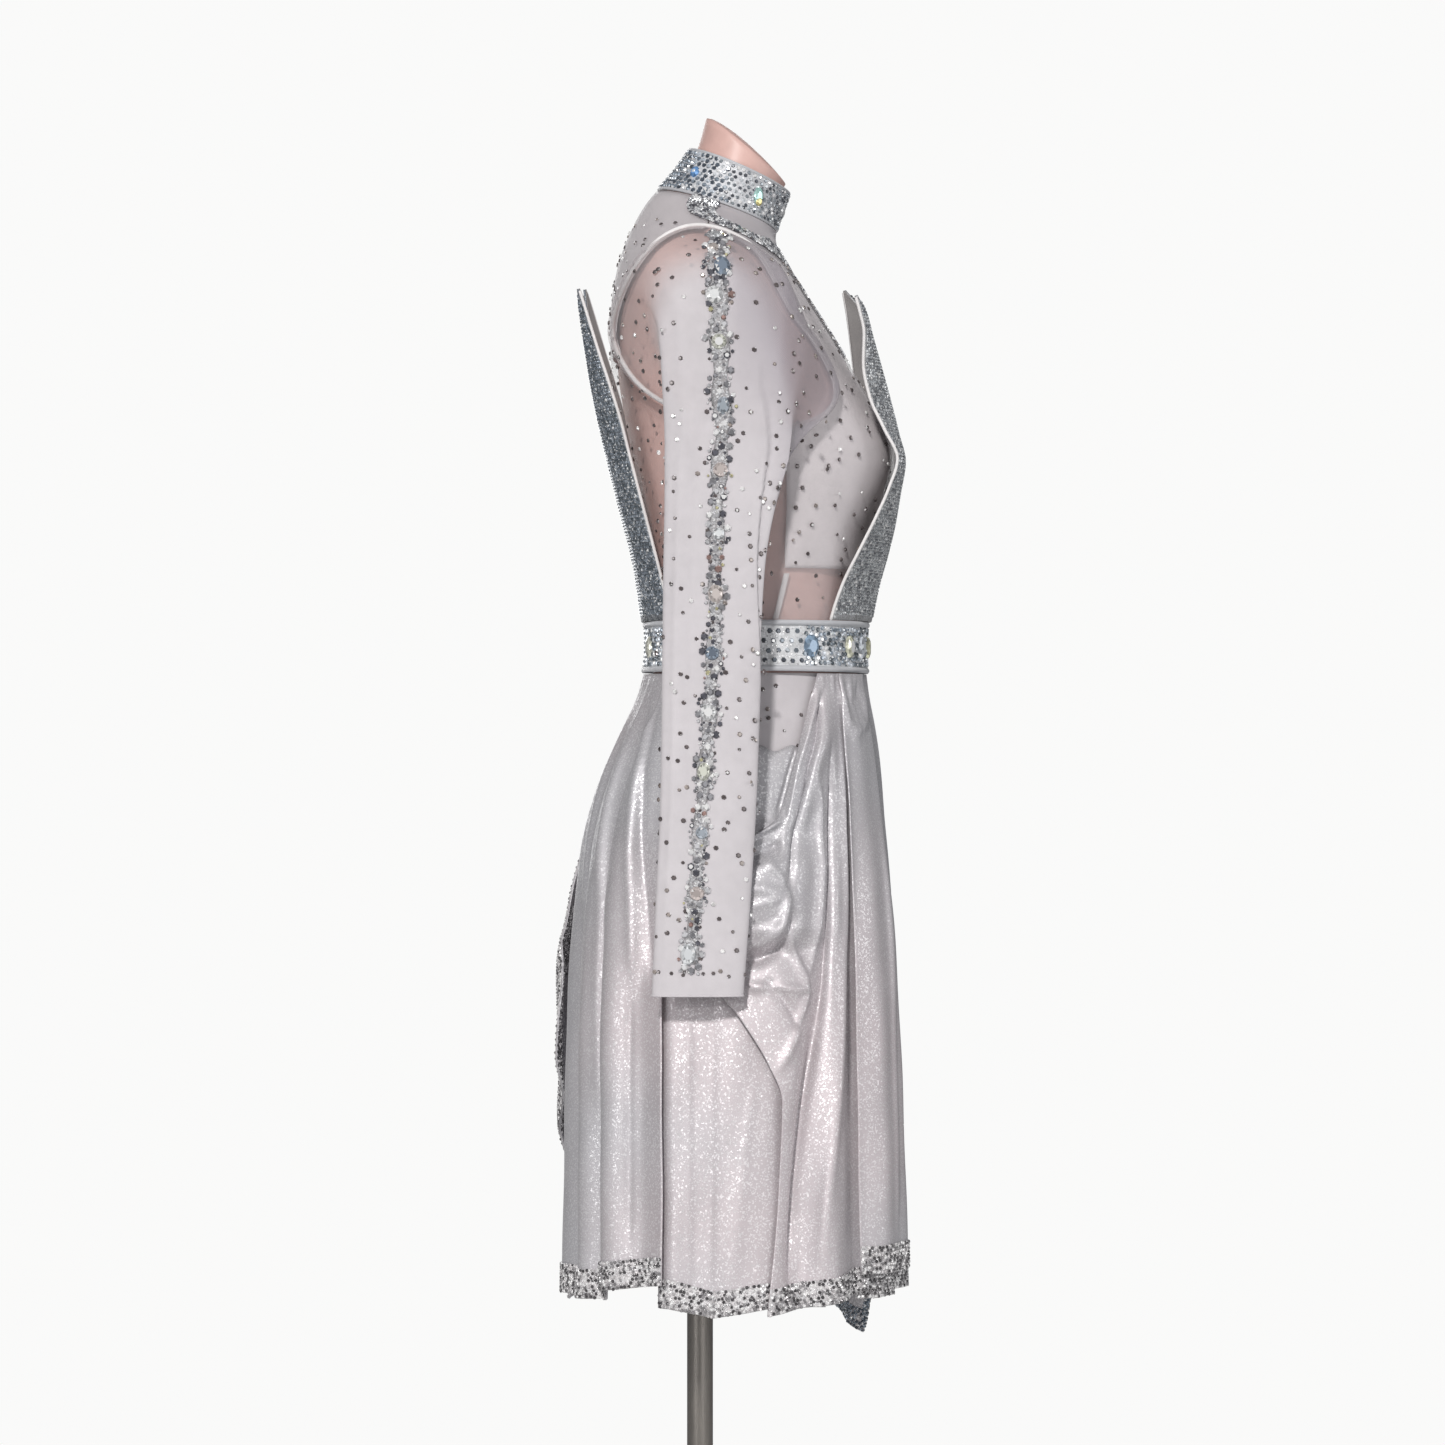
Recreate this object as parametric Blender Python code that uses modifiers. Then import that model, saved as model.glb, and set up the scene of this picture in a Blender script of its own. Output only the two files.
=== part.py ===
"""A latin dance dress on a limbless dress form.

Metres, +Z up. The origin is on the pole's axis, on the underside of the base plate.
The dress faces -Y, and the wearer's right side is -X. An angle round the body starts at
the front (0), passes the wearer's right (90) and the back (180), and ends at the left (-90).
"""

import math
from collections import namedtuple

import bmesh
import bpy
import numpy as np

MM = 0.001

# Stand
POLE_RADIUS = 11 * MM
BASE_RADIUS = 185 * MM
BASE_THICKNESS = 6 * MM
HUB_RADIUS = 27 * MM
HUB_HEIGHT = 22 * MM
SOCKET_RADIUS = 30 * MM
SOCKET_HEIGHT = 14 * MM

# Walls and the gaps between them
SEAM_GAP = 0.3 * MM
FORM_INSET = 2.4 * MM
LINING_OFFSET = 1.3 * MM
MESH_OFFSET = 3.3 * MM
CLOTH_WALL = 1.0 * MM
SATIN_WALL = 1.2 * MM
TRIM_WALL = 2.0 * MM
LAPEL_WALL = 2.0 * MM

# Heights of the dress, measured on the wearer's side
WAISTBAND_TOP = 1062 * MM
WAISTBAND_BOTTOM = 1018 * MM
COLLAR_TOP = 1445 * MM
COLLAR_BOTTOM = 1410 * MM
CUP_BOTTOM = 1112 * MM
YOKE_BOTTOM = 1290 * MM
FRONT_LINING_TOP = 1386 * MM
HIP_YOKE_BOTTOM = 905 * MM
HEM_BAND = 22 * MM

# Armhole edges: the bound edge, the bodice outside it and the sleeve's edge over both
BINDING_RADIUS = 1.5 * MM
ARMHOLE_SEAM = 4.6 * MM
SLEEVE_LAP = 3.0 * MM
BODY_CLEARANCE = 6.5 * MM

# The bust of a general figure
BUST_X = 72 * MM
BUST_Z = 1198 * MM
BUST_RISE = 17 * MM
BUST_SPREAD = 46 * MM

BodyRow = namedtuple("BodyRow", "height front back half_width squareness tilt")

# Level sections of the form. Tilt is the rise of a section per metre towards the back.
BODY_ROWS = [
    BodyRow(0.762, -0.085, 0.010, 0.050, 2.0, 0.0),
    BodyRow(0.768, -0.116, 0.036, 0.092, 2.0, 0.0),
    BodyRow(0.785, -0.136, 0.055, 0.122, 2.1, 0.0),
    BodyRow(0.815, -0.144, 0.070, 0.140, 2.2, 0.0),
    BodyRow(0.860, -0.147, 0.079, 0.150, 2.3, 0.0),
    BodyRow(0.905, -0.146, 0.077, 0.151, 2.3, 0.0),
    BodyRow(0.950, -0.142, 0.063, 0.144, 2.3, 0.0),
    BodyRow(1.000, -0.137, 0.046, 0.130, 2.2, 0.0),
    BodyRow(1.040, -0.135, 0.040, 0.122, 2.2, 0.0),
    BodyRow(1.080, -0.138, 0.042, 0.124, 2.2, 0.0),
    BodyRow(1.120, -0.142, 0.047, 0.130, 2.2, 0.0),
    BodyRow(1.160, -0.147, 0.053, 0.137, 2.2, 0.0),
    BodyRow(1.200, -0.149, 0.060, 0.142, 2.2, 0.0),
    BodyRow(1.240, -0.142, 0.067, 0.146, 2.2, 0.0),
    BodyRow(1.275, -0.125, 0.072, 0.152, 2.2, 0.0),
    BodyRow(1.310, -0.104, 0.073, 0.160, 2.2, 0.0),
    BodyRow(1.338, -0.086, 0.071, 0.163, 2.2, 0.0),
    BodyRow(1.360, -0.074, 0.066, 0.155, 2.2, 0.05),
    BodyRow(1.376, -0.067, 0.059, 0.132, 2.2, 0.12),
    BodyRow(1.390, -0.063, 0.051, 0.103, 2.1, 0.20),
    BodyRow(1.402, -0.061, 0.042, 0.077, 2.0, 0.28),
    BodyRow(1.412, -0.062, 0.032, 0.060, 2.0, 0.34),
    BodyRow(1.428, -0.067, 0.018, 0.053, 2.0, 0.38),
    BodyRow(1.446, -0.073, 0.005, 0.049, 2.0, 0.45),
    BodyRow(1.462, -0.075, -0.003, 0.046, 2.0, 0.78),
]

ArmholeRow = namedtuple("ArmholeRow", "turn y z")

# The bound edge of the armhole seen from the side. Turn 0 is the front, 90 the top, 180 the back.
ARMHOLE_ROWS = [
    ArmholeRow(0, -0.085, 1.293),
    ArmholeRow(14, -0.070, 1.311),
    ArmholeRow(30, -0.056, 1.336),
    ArmholeRow(48, -0.041, 1.362),
    ArmholeRow(68, -0.020, 1.378),
    ArmholeRow(90, 0.003, 1.384),
    ArmholeRow(115, 0.025, 1.374),
    ArmholeRow(140, 0.046, 1.348),
    ArmholeRow(160, 0.060, 1.322),
    ArmholeRow(180, 0.063, 1.297),
    ArmholeRow(200, 0.048, 1.266),
    ArmholeRow(222, 0.022, 1.243),
    ArmholeRow(248, -0.018, 1.226),
    ArmholeRow(280, -0.064, 1.223),
    ArmholeRow(312, -0.095, 1.234),
    ArmholeRow(336, -0.103, 1.257),
    ArmholeRow(348, -0.096, 1.276),
]

LapelRow = namedtuple("LapelRow", "height inner_x inner_y outer_x outer_y")

# Edges of the near front lapel, from the waistband to its point. Inner is the centre front side.
FRONT_LAPEL_ROWS = [
    LapelRow(1.0619, 0.013, -0.1470, 0.100, -0.1080),
    LapelRow(1.094, 0.019, -0.1530, 0.105, -0.1200),
    LapelRow(1.118, 0.025, -0.1590, 0.108, -0.1320),
    LapelRow(1.146, 0.032, -0.1660, 0.110, -0.1460),
    LapelRow(1.171, 0.039, -0.1710, 0.110, -0.1570),
    LapelRow(1.195, 0.046, -0.1735, 0.109, -0.1640),
    LapelRow(1.220, 0.055, -0.1700, 0.109, -0.1530),
    LapelRow(1.247, 0.065, -0.1630, 0.110, -0.1410),
    LapelRow(1.274, 0.077, -0.1560, 0.112, -0.1360),
    LapelRow(1.298, 0.089, -0.1500, 0.112, -0.1365),
    LapelRow(1.317, 0.101, -0.1430, 0.111, -0.1370),
    LapelRow(1.330, 0.1075, -0.1325, 0.1095, -0.1315),
]

# Edges of the near back lapel. Inner is the centre back side.
BACK_LAPEL_ROWS = [
    LapelRow(1.0619, 0.013, 0.0500, 0.085, 0.0240),
    LapelRow(1.085, 0.017, 0.0530, 0.090, 0.0290),
    LapelRow(1.113, 0.022, 0.0580, 0.093, 0.0360),
    LapelRow(1.155, 0.031, 0.0690, 0.094, 0.0470),
    LapelRow(1.197, 0.041, 0.0790, 0.093, 0.0580),
    LapelRow(1.228, 0.050, 0.0855, 0.092, 0.0660),
    LapelRow(1.260, 0.060, 0.0915, 0.092, 0.0760),
    LapelRow(1.287, 0.071, 0.0965, 0.092, 0.0850),
    LapelRow(1.316, 0.083, 0.1000, 0.092, 0.0940),
    LapelRow(1.337, 0.0895, 0.1010, 0.0915, 0.1005),
]

SleeveRow = namedtuple("SleeveRow", "height centre_x front back half_depth")

# Level sections of the hanging sleeve, flattened and empty. Half depth is across the body.
SLEEVE_ROWS = [
    SleeveRow(1.330, 0.168, -0.100, 0.036, 0.013),
    SleeveRow(1.250, 0.170, -0.096, 0.030, 0.012),
    SleeveRow(1.205, 0.172, -0.078, 0.028, 0.011),
    SleeveRow(1.165, 0.175, -0.064, 0.028, 0.010),
    SleeveRow(1.100, 0.181, -0.055, 0.029, 0.010),
    SleeveRow(1.000, 0.190, -0.050, 0.030, 0.010),
    SleeveRow(0.920, 0.1965, -0.047, 0.031, 0.010),
    SleeveRow(0.850, 0.200, -0.043, 0.034, 0.010),
    SleeveRow(0.756, 0.202, -0.036, 0.038, 0.010),
]

SkirtRow = namedtuple("SkirtRow", "height front back half_width")

# Level sections of the skirt without its folds
SKIRT_ROWS = [
    SkirtRow(1.0180, -0.1402, 0.0472, 0.1300),
    SkirtRow(1.000, -0.1425, 0.0520, 0.1355),
    SkirtRow(0.970, -0.1475, 0.0640, 0.1450),
    SkirtRow(0.930, -0.1515, 0.0780, 0.1540),
    SkirtRow(0.895, -0.1540, 0.0870, 0.1590),
    SkirtRow(0.868, -0.1560, 0.0930, 0.1630),
    SkirtRow(0.809, -0.1590, 0.1010, 0.1710),
    SkirtRow(0.741, -0.1620, 0.1060, 0.1790),
    SkirtRow(0.680, -0.1645, 0.1080, 0.1850),
    SkirtRow(0.613, -0.1665, 0.1090, 0.1900),
    SkirtRow(0.528, -0.1690, 0.1110, 0.1950),
    SkirtRow(0.440, -0.1720, 0.1140, 0.1990),
]

FoldRow = namedtuple("FoldRow", "waist_angle hem_angle rise half_angle top")

# Folds of the skirt, ridges up and troughs down. Each fades in below its top.
FOLD_ROWS = [
    FoldRow(5, 3, 0.007, 6.0, 1.00),
    FoldRow(16, 16, -0.006, 5.0, 1.00),
    FoldRow(27, 27, 0.006, 5.0, 1.00),
    FoldRow(37, 38, 0.007, 5.5, 1.01),
    FoldRow(49, 48, -0.006, 4.5, 1.00),
    FoldRow(56, 60, 0.009, 6.5, 1.00),
    FoldRow(58, 70, -0.009, 5.0, 0.97),
    FoldRow(74, 81, 0.003, 5.0, 0.80),
    FoldRow(90, 91, 0.005, 5.0, 0.95),
    FoldRow(99, 100, -0.005, 5.0, 0.96),
    FoldRow(110, 109, 0.006, 5.0, 1.00),
    FoldRow(121, 121, -0.006, 5.5, 1.00),
    FoldRow(134, 134, 0.008, 6.0, 1.00),
    FoldRow(144, 142, -0.007, 4.5, 1.00),
    FoldRow(154, 151, 0.009, 6.0, 1.00),
    FoldRow(166, 165, -0.008, 5.5, 1.00),
    FoldRow(177, 178, 0.009, 6.5, 1.00),
    FoldRow(-171, -169, -0.008, 5.5, 1.00),
    FoldRow(-159, -157, 0.009, 6.0, 1.00),
    FoldRow(-147, -145, -0.008, 5.5, 1.00),
    FoldRow(-135, -133, 0.007, 6.0, 1.00),
    FoldRow(-122, -122, -0.006, 5.5, 1.00),
    FoldRow(-110, -110, 0.006, 5.0, 1.00),
    FoldRow(-99, -99, -0.005, 5.0, 0.96),
    FoldRow(-88, -89, 0.005, 5.0, 0.95),
    FoldRow(-60, -71, -0.009, 5.0, 0.97),
    FoldRow(-56, -60, 0.009, 6.5, 1.00),
    FoldRow(-46, -49, -0.006, 4.5, 1.00),
    FoldRow(-36, -37, 0.008, 5.5, 1.01),
    FoldRow(-25, -26, -0.005, 5.0, 1.00),
    FoldRow(-12, -11, 0.005, 5.0, 1.00),
]

SKIRT_SQUARENESS = 2.2

DrapeRow = namedtuple("DrapeRow", "height edge_angle")

# The free edge of the hip drape, down from the gathers at the waistband to the hem
DRAPE_EDGE_ROWS = [
    DrapeRow(1.0180, 60.0),
    DrapeRow(1.000, 63.0),
    DrapeRow(0.975, 67.5),
    DrapeRow(0.948, 71.0),
    DrapeRow(0.925, 73.5),
    DrapeRow(0.900, 77.0),
    DrapeRow(0.880, 88.0),
    DrapeRow(0.855, 97.0),
    DrapeRow(0.820, 101.0),
    DrapeRow(0.780, 98.0),
    DrapeRow(0.738, 88.5),
    DrapeRow(0.700, 80.5),
    DrapeRow(0.670, 76.5),
    DrapeRow(0.600, 77.5),
    DrapeRow(0.500, 81.5),
]

# The pouch that the drape makes on the hip, and the fold down to it
POUCH_ANGLE = 82.0
POUCH_SPREAD = 17.0
POUCH_TOP = 0.892
POUCH_LIP = 0.800
POUCH_RISE = 17 * MM
SWAG_RISE = 7 * MM

PanelRow = namedtuple("PanelRow", "name layer start_angle end_angle top hem_at_start hem_at_end dip dip_angle")

# Skirt panels. The layer counts outwards, and the dip is how far a corner hangs below the hem.
PANEL_ROWS = [
    PanelRow("skirt_front", 0, -30, 45, WAISTBAND_BOTTOM, 0.497, 0.505, 0.0, 0),
    PanelRow("skirt_front_overlap", 2.3, 26, 47.5, WAISTBAND_BOTTOM, 0.526, 0.526, 0.0, 0),
    PanelRow("skirt_side_right", 0, 62, 114.5, 0.956, 0.503, 0.502, 0.007, 96),
    PanelRow("skirt_back_right", 1, 112, 140, WAISTBAND_BOTTOM, 0.521, 0.511, 0.0, 0),
    PanelRow("skirt_back", 0, 136, 205, WAISTBAND_BOTTOM, 0.504, 0.489, 0.0, 0),
    PanelRow("skirt_back_left", 1, 202, 248, WAISTBAND_BOTTOM, 0.477, 0.505, 0.0, 0),
    PanelRow("skirt_side_left", 0, -114.5, -62, 0.956, 0.502, 0.498, 0.007, -96),
    PanelRow("skirt_left_front", 2.6, -52, -26, WAISTBAND_BOTTOM, 0.505, 0.495, 0.045, -38),
]

# Large oval stones on the waistband and the collar: their angles round the body
WAISTBAND_STONE_ANGLES = [8, 23, 37, 64, 160, -160, -64, -37, -23, -8]
COLLAR_STONE_ANGLES = [20, 62, 118, -118, -62, -20]
STONE_HALF_WIDTH = 7.5 * MM
STONE_HALF_HEIGHT = 10.5 * MM
STONE_RISE = 3.5 * MM

# The chain of stones down each sleeve
CHAIN_STONES = 14
CHAIN_HALF_WIDTH = 9.5 * MM
CHAIN_RISE = 4.5 * MM

YokeRow = namedtuple("YokeRow", "angle height half_width")

# The line of stones from the collar over the shoulder to the centre front
YOKE_LINE_ROWS = [
    YokeRow(93, 1.4060, 9.0 * MM),
    YokeRow(92, 1.4000, 9.5 * MM),
    YokeRow(86, 1.3930, 8.0 * MM),
    YokeRow(74, 1.3880, 5.0 * MM),
    YokeRow(58, 1.3860, 4.5 * MM),
    YokeRow(40, 1.3820, 4.5 * MM),
    YokeRow(22, 1.3760, 4.5 * MM),
    YokeRow(7, 1.3680, 4.5 * MM),
]
CENTRE_LINE_TOP = 1360 * MM
CENTRE_LINE_BOTTOM = 1285 * MM
CENTRE_LINE_HALF_WIDTH = 5 * MM


def clear_scene():
    for item in list(bpy.data.objects):
        bpy.data.objects.remove(item, do_unlink=True)


def new_collection(name):
    collection = bpy.data.collections.new(name)
    bpy.context.scene.collection.children.link(collection)
    return collection


def new_material(name, colour, roughness, metallic=0.0):
    material = bpy.data.materials.new(name)
    material.use_nodes = True
    shader = material.node_tree.nodes["Principled BSDF"]
    shader.inputs["Base Color"].default_value = (*colour, 1.0)
    shader.inputs["Roughness"].default_value = roughness
    shader.inputs["Metallic"].default_value = metallic
    material.diffuse_color = (*colour, 1.0)
    return material


def smooth_curve(places, values):
    """A function that passes smoothly through a short table and never overshoots it."""
    places = np.asarray(places, float)
    values = np.asarray(values, float)
    order = np.argsort(places)
    places, values = places[order], values[order]
    steps = np.diff(places)
    slopes = np.diff(values) / steps
    tangents = np.zeros(len(places))
    tangents[0], tangents[-1] = slopes[0], slopes[-1]
    for i in range(1, len(places) - 1):
        before, after = slopes[i - 1], slopes[i]
        if before * after > 0:
            weight_before = 2 * steps[i] + steps[i - 1]
            weight_after = steps[i] + 2 * steps[i - 1]
            tangents[i] = (weight_before + weight_after) / (weight_before / before + weight_after / after)

    def value_at(place):
        place = np.clip(place, places[0], places[-1])
        index = np.clip(np.searchsorted(places, place) - 1, 0, len(steps) - 1)
        width = steps[index]
        t = (place - places[index]) / width
        rest = 1 - t
        return (
            (1 + 2 * t) * rest**2 * values[index]
            + t * rest**2 * width * tangents[index]
            + t**2 * (3 - 2 * t) * values[index + 1]
            - t**2 * rest * width * tangents[index + 1]
        )

    return value_at


def curves_of(rows):
    """One smooth curve for each column of a table, against its first column."""
    fields = rows[0]._fields
    heights = [row[0] for row in rows]
    return {field: smooth_curve(heights, [getattr(row, field) for row in rows]) for field in fields[1:]}


def smooth_step(low, high, value):
    t = np.clip((np.asarray(value, float) - low) / (high - low), 0, 1)
    return t * t * (3 - 2 * t)


BODY = curves_of(BODY_ROWS)
SLEEVE = curves_of(SLEEVE_ROWS)
SKIRT = curves_of(SKIRT_ROWS)
DRAPE_EDGE = curves_of(DRAPE_EDGE_ROWS)["edge_angle"]


def body_points(angle, height):
    """Points of the figure at these angles in degrees and heights at the side."""
    angle = np.radians(np.asarray(angle, float))
    height = np.asarray(height, float)
    front, back = BODY["front"](height), BODY["back"](height)
    power = 2 / BODY["squareness"](height)
    middle, depth = (front + back) / 2, (back - front) / 2
    across, along = np.sin(angle), np.cos(angle)
    x = -BODY["half_width"](height) * np.sign(across) * np.abs(across) ** power
    y = middle - depth * np.sign(along) * np.abs(along) ** power
    z = height + BODY["tilt"](height) * (y - middle)
    bust = np.exp(-(((np.abs(x) - BUST_X) / BUST_SPREAD) ** 2) - ((z - BUST_Z) / BUST_SPREAD) ** 2)
    y = y - BUST_RISE * bust * smooth_step(0, 0.5, along)
    return np.stack([x, y, z], axis=-1)


def unit(vectors):
    return vectors / np.maximum(np.linalg.norm(vectors, axis=-1, keepdims=True), 1e-12)


def body_normals(angle, height):
    angle = np.asarray(angle, float)
    height = np.asarray(height, float)
    small_angle, small_height = 0.2, 0.4 * MM
    round_it = body_points(angle + small_angle, height) - body_points(angle - small_angle, height)
    up_it = body_points(angle, height + small_height) - body_points(angle, height - small_height)
    return unit(np.cross(up_it, round_it))


def on_body(angle, height, offset):
    angle, height = np.broadcast_arrays(np.asarray(angle, float), np.asarray(height, float))
    return body_points(angle, height) + body_normals(angle, height) * offset


def grid_normals(points, ring=False):
    """Normals of a grid of points, rows down and columns round."""
    down = np.gradient(points, axis=0)
    if ring:
        along = np.roll(points, -1, axis=1) - np.roll(points, 1, axis=1)
    else:
        along = np.gradient(points, axis=1)
    return unit(np.cross(along, down))


def link(collection, name, mesh, material, smooth=True):
    thing = bpy.data.objects.new(name, mesh)
    collection.objects.link(thing)
    mesh.materials.append(material)
    if smooth:
        mesh.shade_smooth()
    return thing


def grid_faces(rows, columns, ring=False, start=0, mirrored=False):
    """Triangles of a grid of points. Mirrored splits the squares of its two halves in opposite ways."""
    faces = []
    for i in range(rows - 1):
        for j in range(columns if ring else columns - 1):
            k = (j + 1) % columns
            here, there = start + i * columns, start + (i + 1) * columns
            if mirrored and j >= columns // 2:
                faces.append((here + j, here + k, there + j))
                faces.append((here + k, there + k, there + j))
            else:
                faces.append((here + j, here + k, there + k))
                faces.append((here + j, there + k, there + j))
    return faces


def face_outwards(mesh):
    shape = bmesh.new()
    shape.from_mesh(mesh)
    bmesh.ops.recalc_face_normals(shape, faces=shape.faces)
    shape.to_mesh(mesh)
    shape.free()


def cloth(collection, name, points, wall, material, ring=False, mirrored=False):
    """A sheet of cloth: an open surface through a grid of points, with its thickness added."""
    rows, columns = points.shape[:2]
    mesh = bpy.data.meshes.new(name)
    mesh.from_pydata(points.reshape(-1, 3).tolist(), [], grid_faces(rows, columns, ring, mirrored=mirrored))
    thing = link(collection, name, mesh, material)
    solidify = thing.modifiers.new("thickness", "SOLIDIFY")
    solidify.thickness = wall
    solidify.offset = 0
    return thing


def wall_between(collection, name, inner, outer, material, ring=False):
    """A wall between a plain inner grid and an outer grid of the same size."""
    rows, columns = inner.shape[:2]
    count = rows * columns
    faces = grid_faces(rows, columns, ring) + grid_faces(rows, columns, ring, start=count)
    for j in range(columns if ring else columns - 1):
        k = (j + 1) % columns
        last = (rows - 1) * columns
        faces.append((j, k, count + k, count + j))
        faces.append((last + k, last + j, count + last + j, count + last + k))
    if not ring:
        for i in range(rows - 1):
            low, high = i * columns, (i + 1) * columns
            faces.append((high, low, count + low, count + high))
            low, high = low + columns - 1, high + columns - 1
            faces.append((low, high, count + high, count + low))
    mesh = bpy.data.meshes.new(name)
    mesh.from_pydata(np.concatenate([inner, outer]).reshape(-1, 3).tolist(), [], faces)
    face_outwards(mesh)
    return link(collection, name, mesh, material)


def closed_loft(collection, name, rings, material):
    """A solid through rings of points from the bottom up, closed at each end by a point."""
    count, columns = rings.shape[:2]
    points = rings.reshape(-1, 3).tolist()
    faces = grid_faces(count, columns, ring=True)
    bottom, top = len(points), len(points) + 1
    points.append(rings[0].mean(axis=0).tolist())
    points.append(rings[-1].mean(axis=0).tolist())
    last = (count - 1) * columns
    for j in range(columns):
        k = (j + 1) % columns
        faces.append((bottom, j, k))
        faces.append((top, last + k, last + j))
    mesh = bpy.data.meshes.new(name)
    mesh.from_pydata(points, [], faces)
    face_outwards(mesh)
    return link(collection, name, mesh, material)


def tube(collection, name, points, radius, material, cyclic=False):
    """A cord, tape edge or pole: a curve with a round bevel."""
    curve = bpy.data.curves.new(name, "CURVE")
    curve.dimensions = "3D"
    spline = curve.splines.new("POLY")
    spline.points.add(len(points) - 1)
    for place, point in zip(spline.points, points):
        place.co = (*point, 1)
    spline.use_cyclic_u = cyclic
    curve.bevel_depth = radius
    curve.bevel_resolution = 0
    curve.use_fill_caps = not cyclic
    curve.materials.append(material)
    thing = bpy.data.objects.new(name, curve)
    collection.objects.link(thing)
    return thing


def turned(collection, name, profile, material, steps=24):
    """A round solid: a profile of (radius, height) from top to bottom, turned about Z."""
    mesh = bpy.data.meshes.new(name)
    points = [(radius, 0, height) for radius, height in profile]
    mesh.from_pydata(points, [(i, i + 1) for i in range(len(points) - 1)], [])
    thing = bpy.data.objects.new(name, mesh)
    collection.objects.link(thing)
    mesh.materials.append(material)
    screw = thing.modifiers.new("turn", "SCREW")
    screw.steps = steps
    screw.render_steps = steps
    screw.use_merge_vertices = True
    screw.merge_threshold = 0.00005
    return thing


def place_on_body(y, z):
    """The angle and height of the figure's surface at a point seen from its side."""
    height = z
    for _ in range(8):
        middle = (BODY["front"](height) + BODY["back"](height)) / 2
        height = z - BODY["tilt"](height) * (y - middle)
    depth = (BODY["back"](height) - BODY["front"](height)) / 2
    share = np.clip((middle - y) / depth, -1, 1)
    along = np.sign(share) * np.abs(share) ** (BODY["squareness"](height) / 2)
    return np.degrees(np.arccos(along)), height


def armhole_place(turn, widen=0.0):
    """Side angle and height on the body at a turn round the armhole."""
    turn = np.mod(turn, 360)
    rows = ARMHOLE_ROWS[-3:] + ARMHOLE_ROWS + ARMHOLE_ROWS[:3]
    turns = [row.turn for row in rows]
    turns[:3] = [value - 360 for value in turns[:3]]
    turns[-3:] = [value + 360 for value in turns[-3:]]
    y = np.interp(turn, turns, [row.y for row in rows])
    z = np.interp(turn, turns, [row.z for row in rows])
    y = y - widen * np.cos(np.radians(turn))
    z = z + widen * np.sin(np.radians(turn))
    return place_on_body(y, z)


def push_clear(points, clearance):
    """Points moved level, away from the figure's middle, until they are clear of it."""
    x, y, z = points[..., 0], points[..., 1], points[..., 2]
    needed = np.zeros(x.shape)
    radius = np.ones(x.shape)
    for drop in (0, 5 * MM):
        front, back = BODY["front"](z - drop), BODY["back"](z - drop)
        power = BODY["squareness"](z - drop)
        middle, depth = (front + back) / 2, (back - front) / 2
        share = (np.abs(x) / BODY["half_width"](z - drop)) ** power + (np.abs(y - middle) / depth) ** power
        radius = np.hypot(x, y - middle)
        needed = np.maximum(needed, radius / share ** (1 / power) + clearance)
    soft = 3 * MM
    pushed = (radius + needed + np.sqrt((radius - needed) ** 2 + soft**2)) / 2
    middle = (BODY["front"](z) + BODY["back"](z)) / 2
    scale = pushed / radius
    return np.stack([x * scale, middle + (y - middle) * scale, z], axis=-1)


def edge_angles(heights, front):
    """How far a front or back panel of the bodice reaches round at each height."""
    turns = np.linspace(-88, 90, 90) if front else np.linspace(90, 272, 90)
    angles, places = armhole_place(turns, ARMHOLE_SEAM)
    order = np.argsort(places)
    seam = np.full(len(heights), 90.0)
    inside = (heights > places.min()) & (heights < places.max())
    seam[inside] = np.interp(heights[inside], places[order], angles[order])
    above = heights >= places.max()
    seam[above] = angles[order][-1]
    half_seam = 0.35
    return seam - half_seam if front else seam + half_seam


def bodice_heights():
    """Rows of the bodice from the collar down: close together at the armhole's ends."""
    _, high = armhole_place(90.0, ARMHOLE_SEAM)
    _, low = armhole_place(270.0, ARMHOLE_SEAM)
    over = np.linspace(COLLAR_BOTTOM - 0.8 * MM, high + 4 * MM, 3)
    turn = np.linspace(0, math.pi, 11)
    beside = (high + low) / 2 + (high - low) / 2 * 0.998 * np.cos(turn)
    under = np.linspace(low - 7 * MM, WAISTBAND_TOP + SEAM_GAP, 5)
    return np.concatenate([over, beside, under])


def bodice_grid(front, columns):
    """Angles and heights of the bodice's front or back, rows down from the collar."""
    heights = bodice_heights()
    edges = edge_angles(heights, front)
    across = np.linspace(-1, 1, columns)
    if front:
        angles = edges[:, None] * across[None, :]
    else:
        angles = 180 + (180 - edges[:, None]) * across[None, :]
    return angles, np.repeat(heights[:, None], columns, axis=1)


def rows_between(angles, heights, low, high):
    keep = (heights[:, 0] >= low - 1e-6) & (heights[:, 0] <= high + 1e-6)
    return angles[keep], heights[keep]


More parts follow.
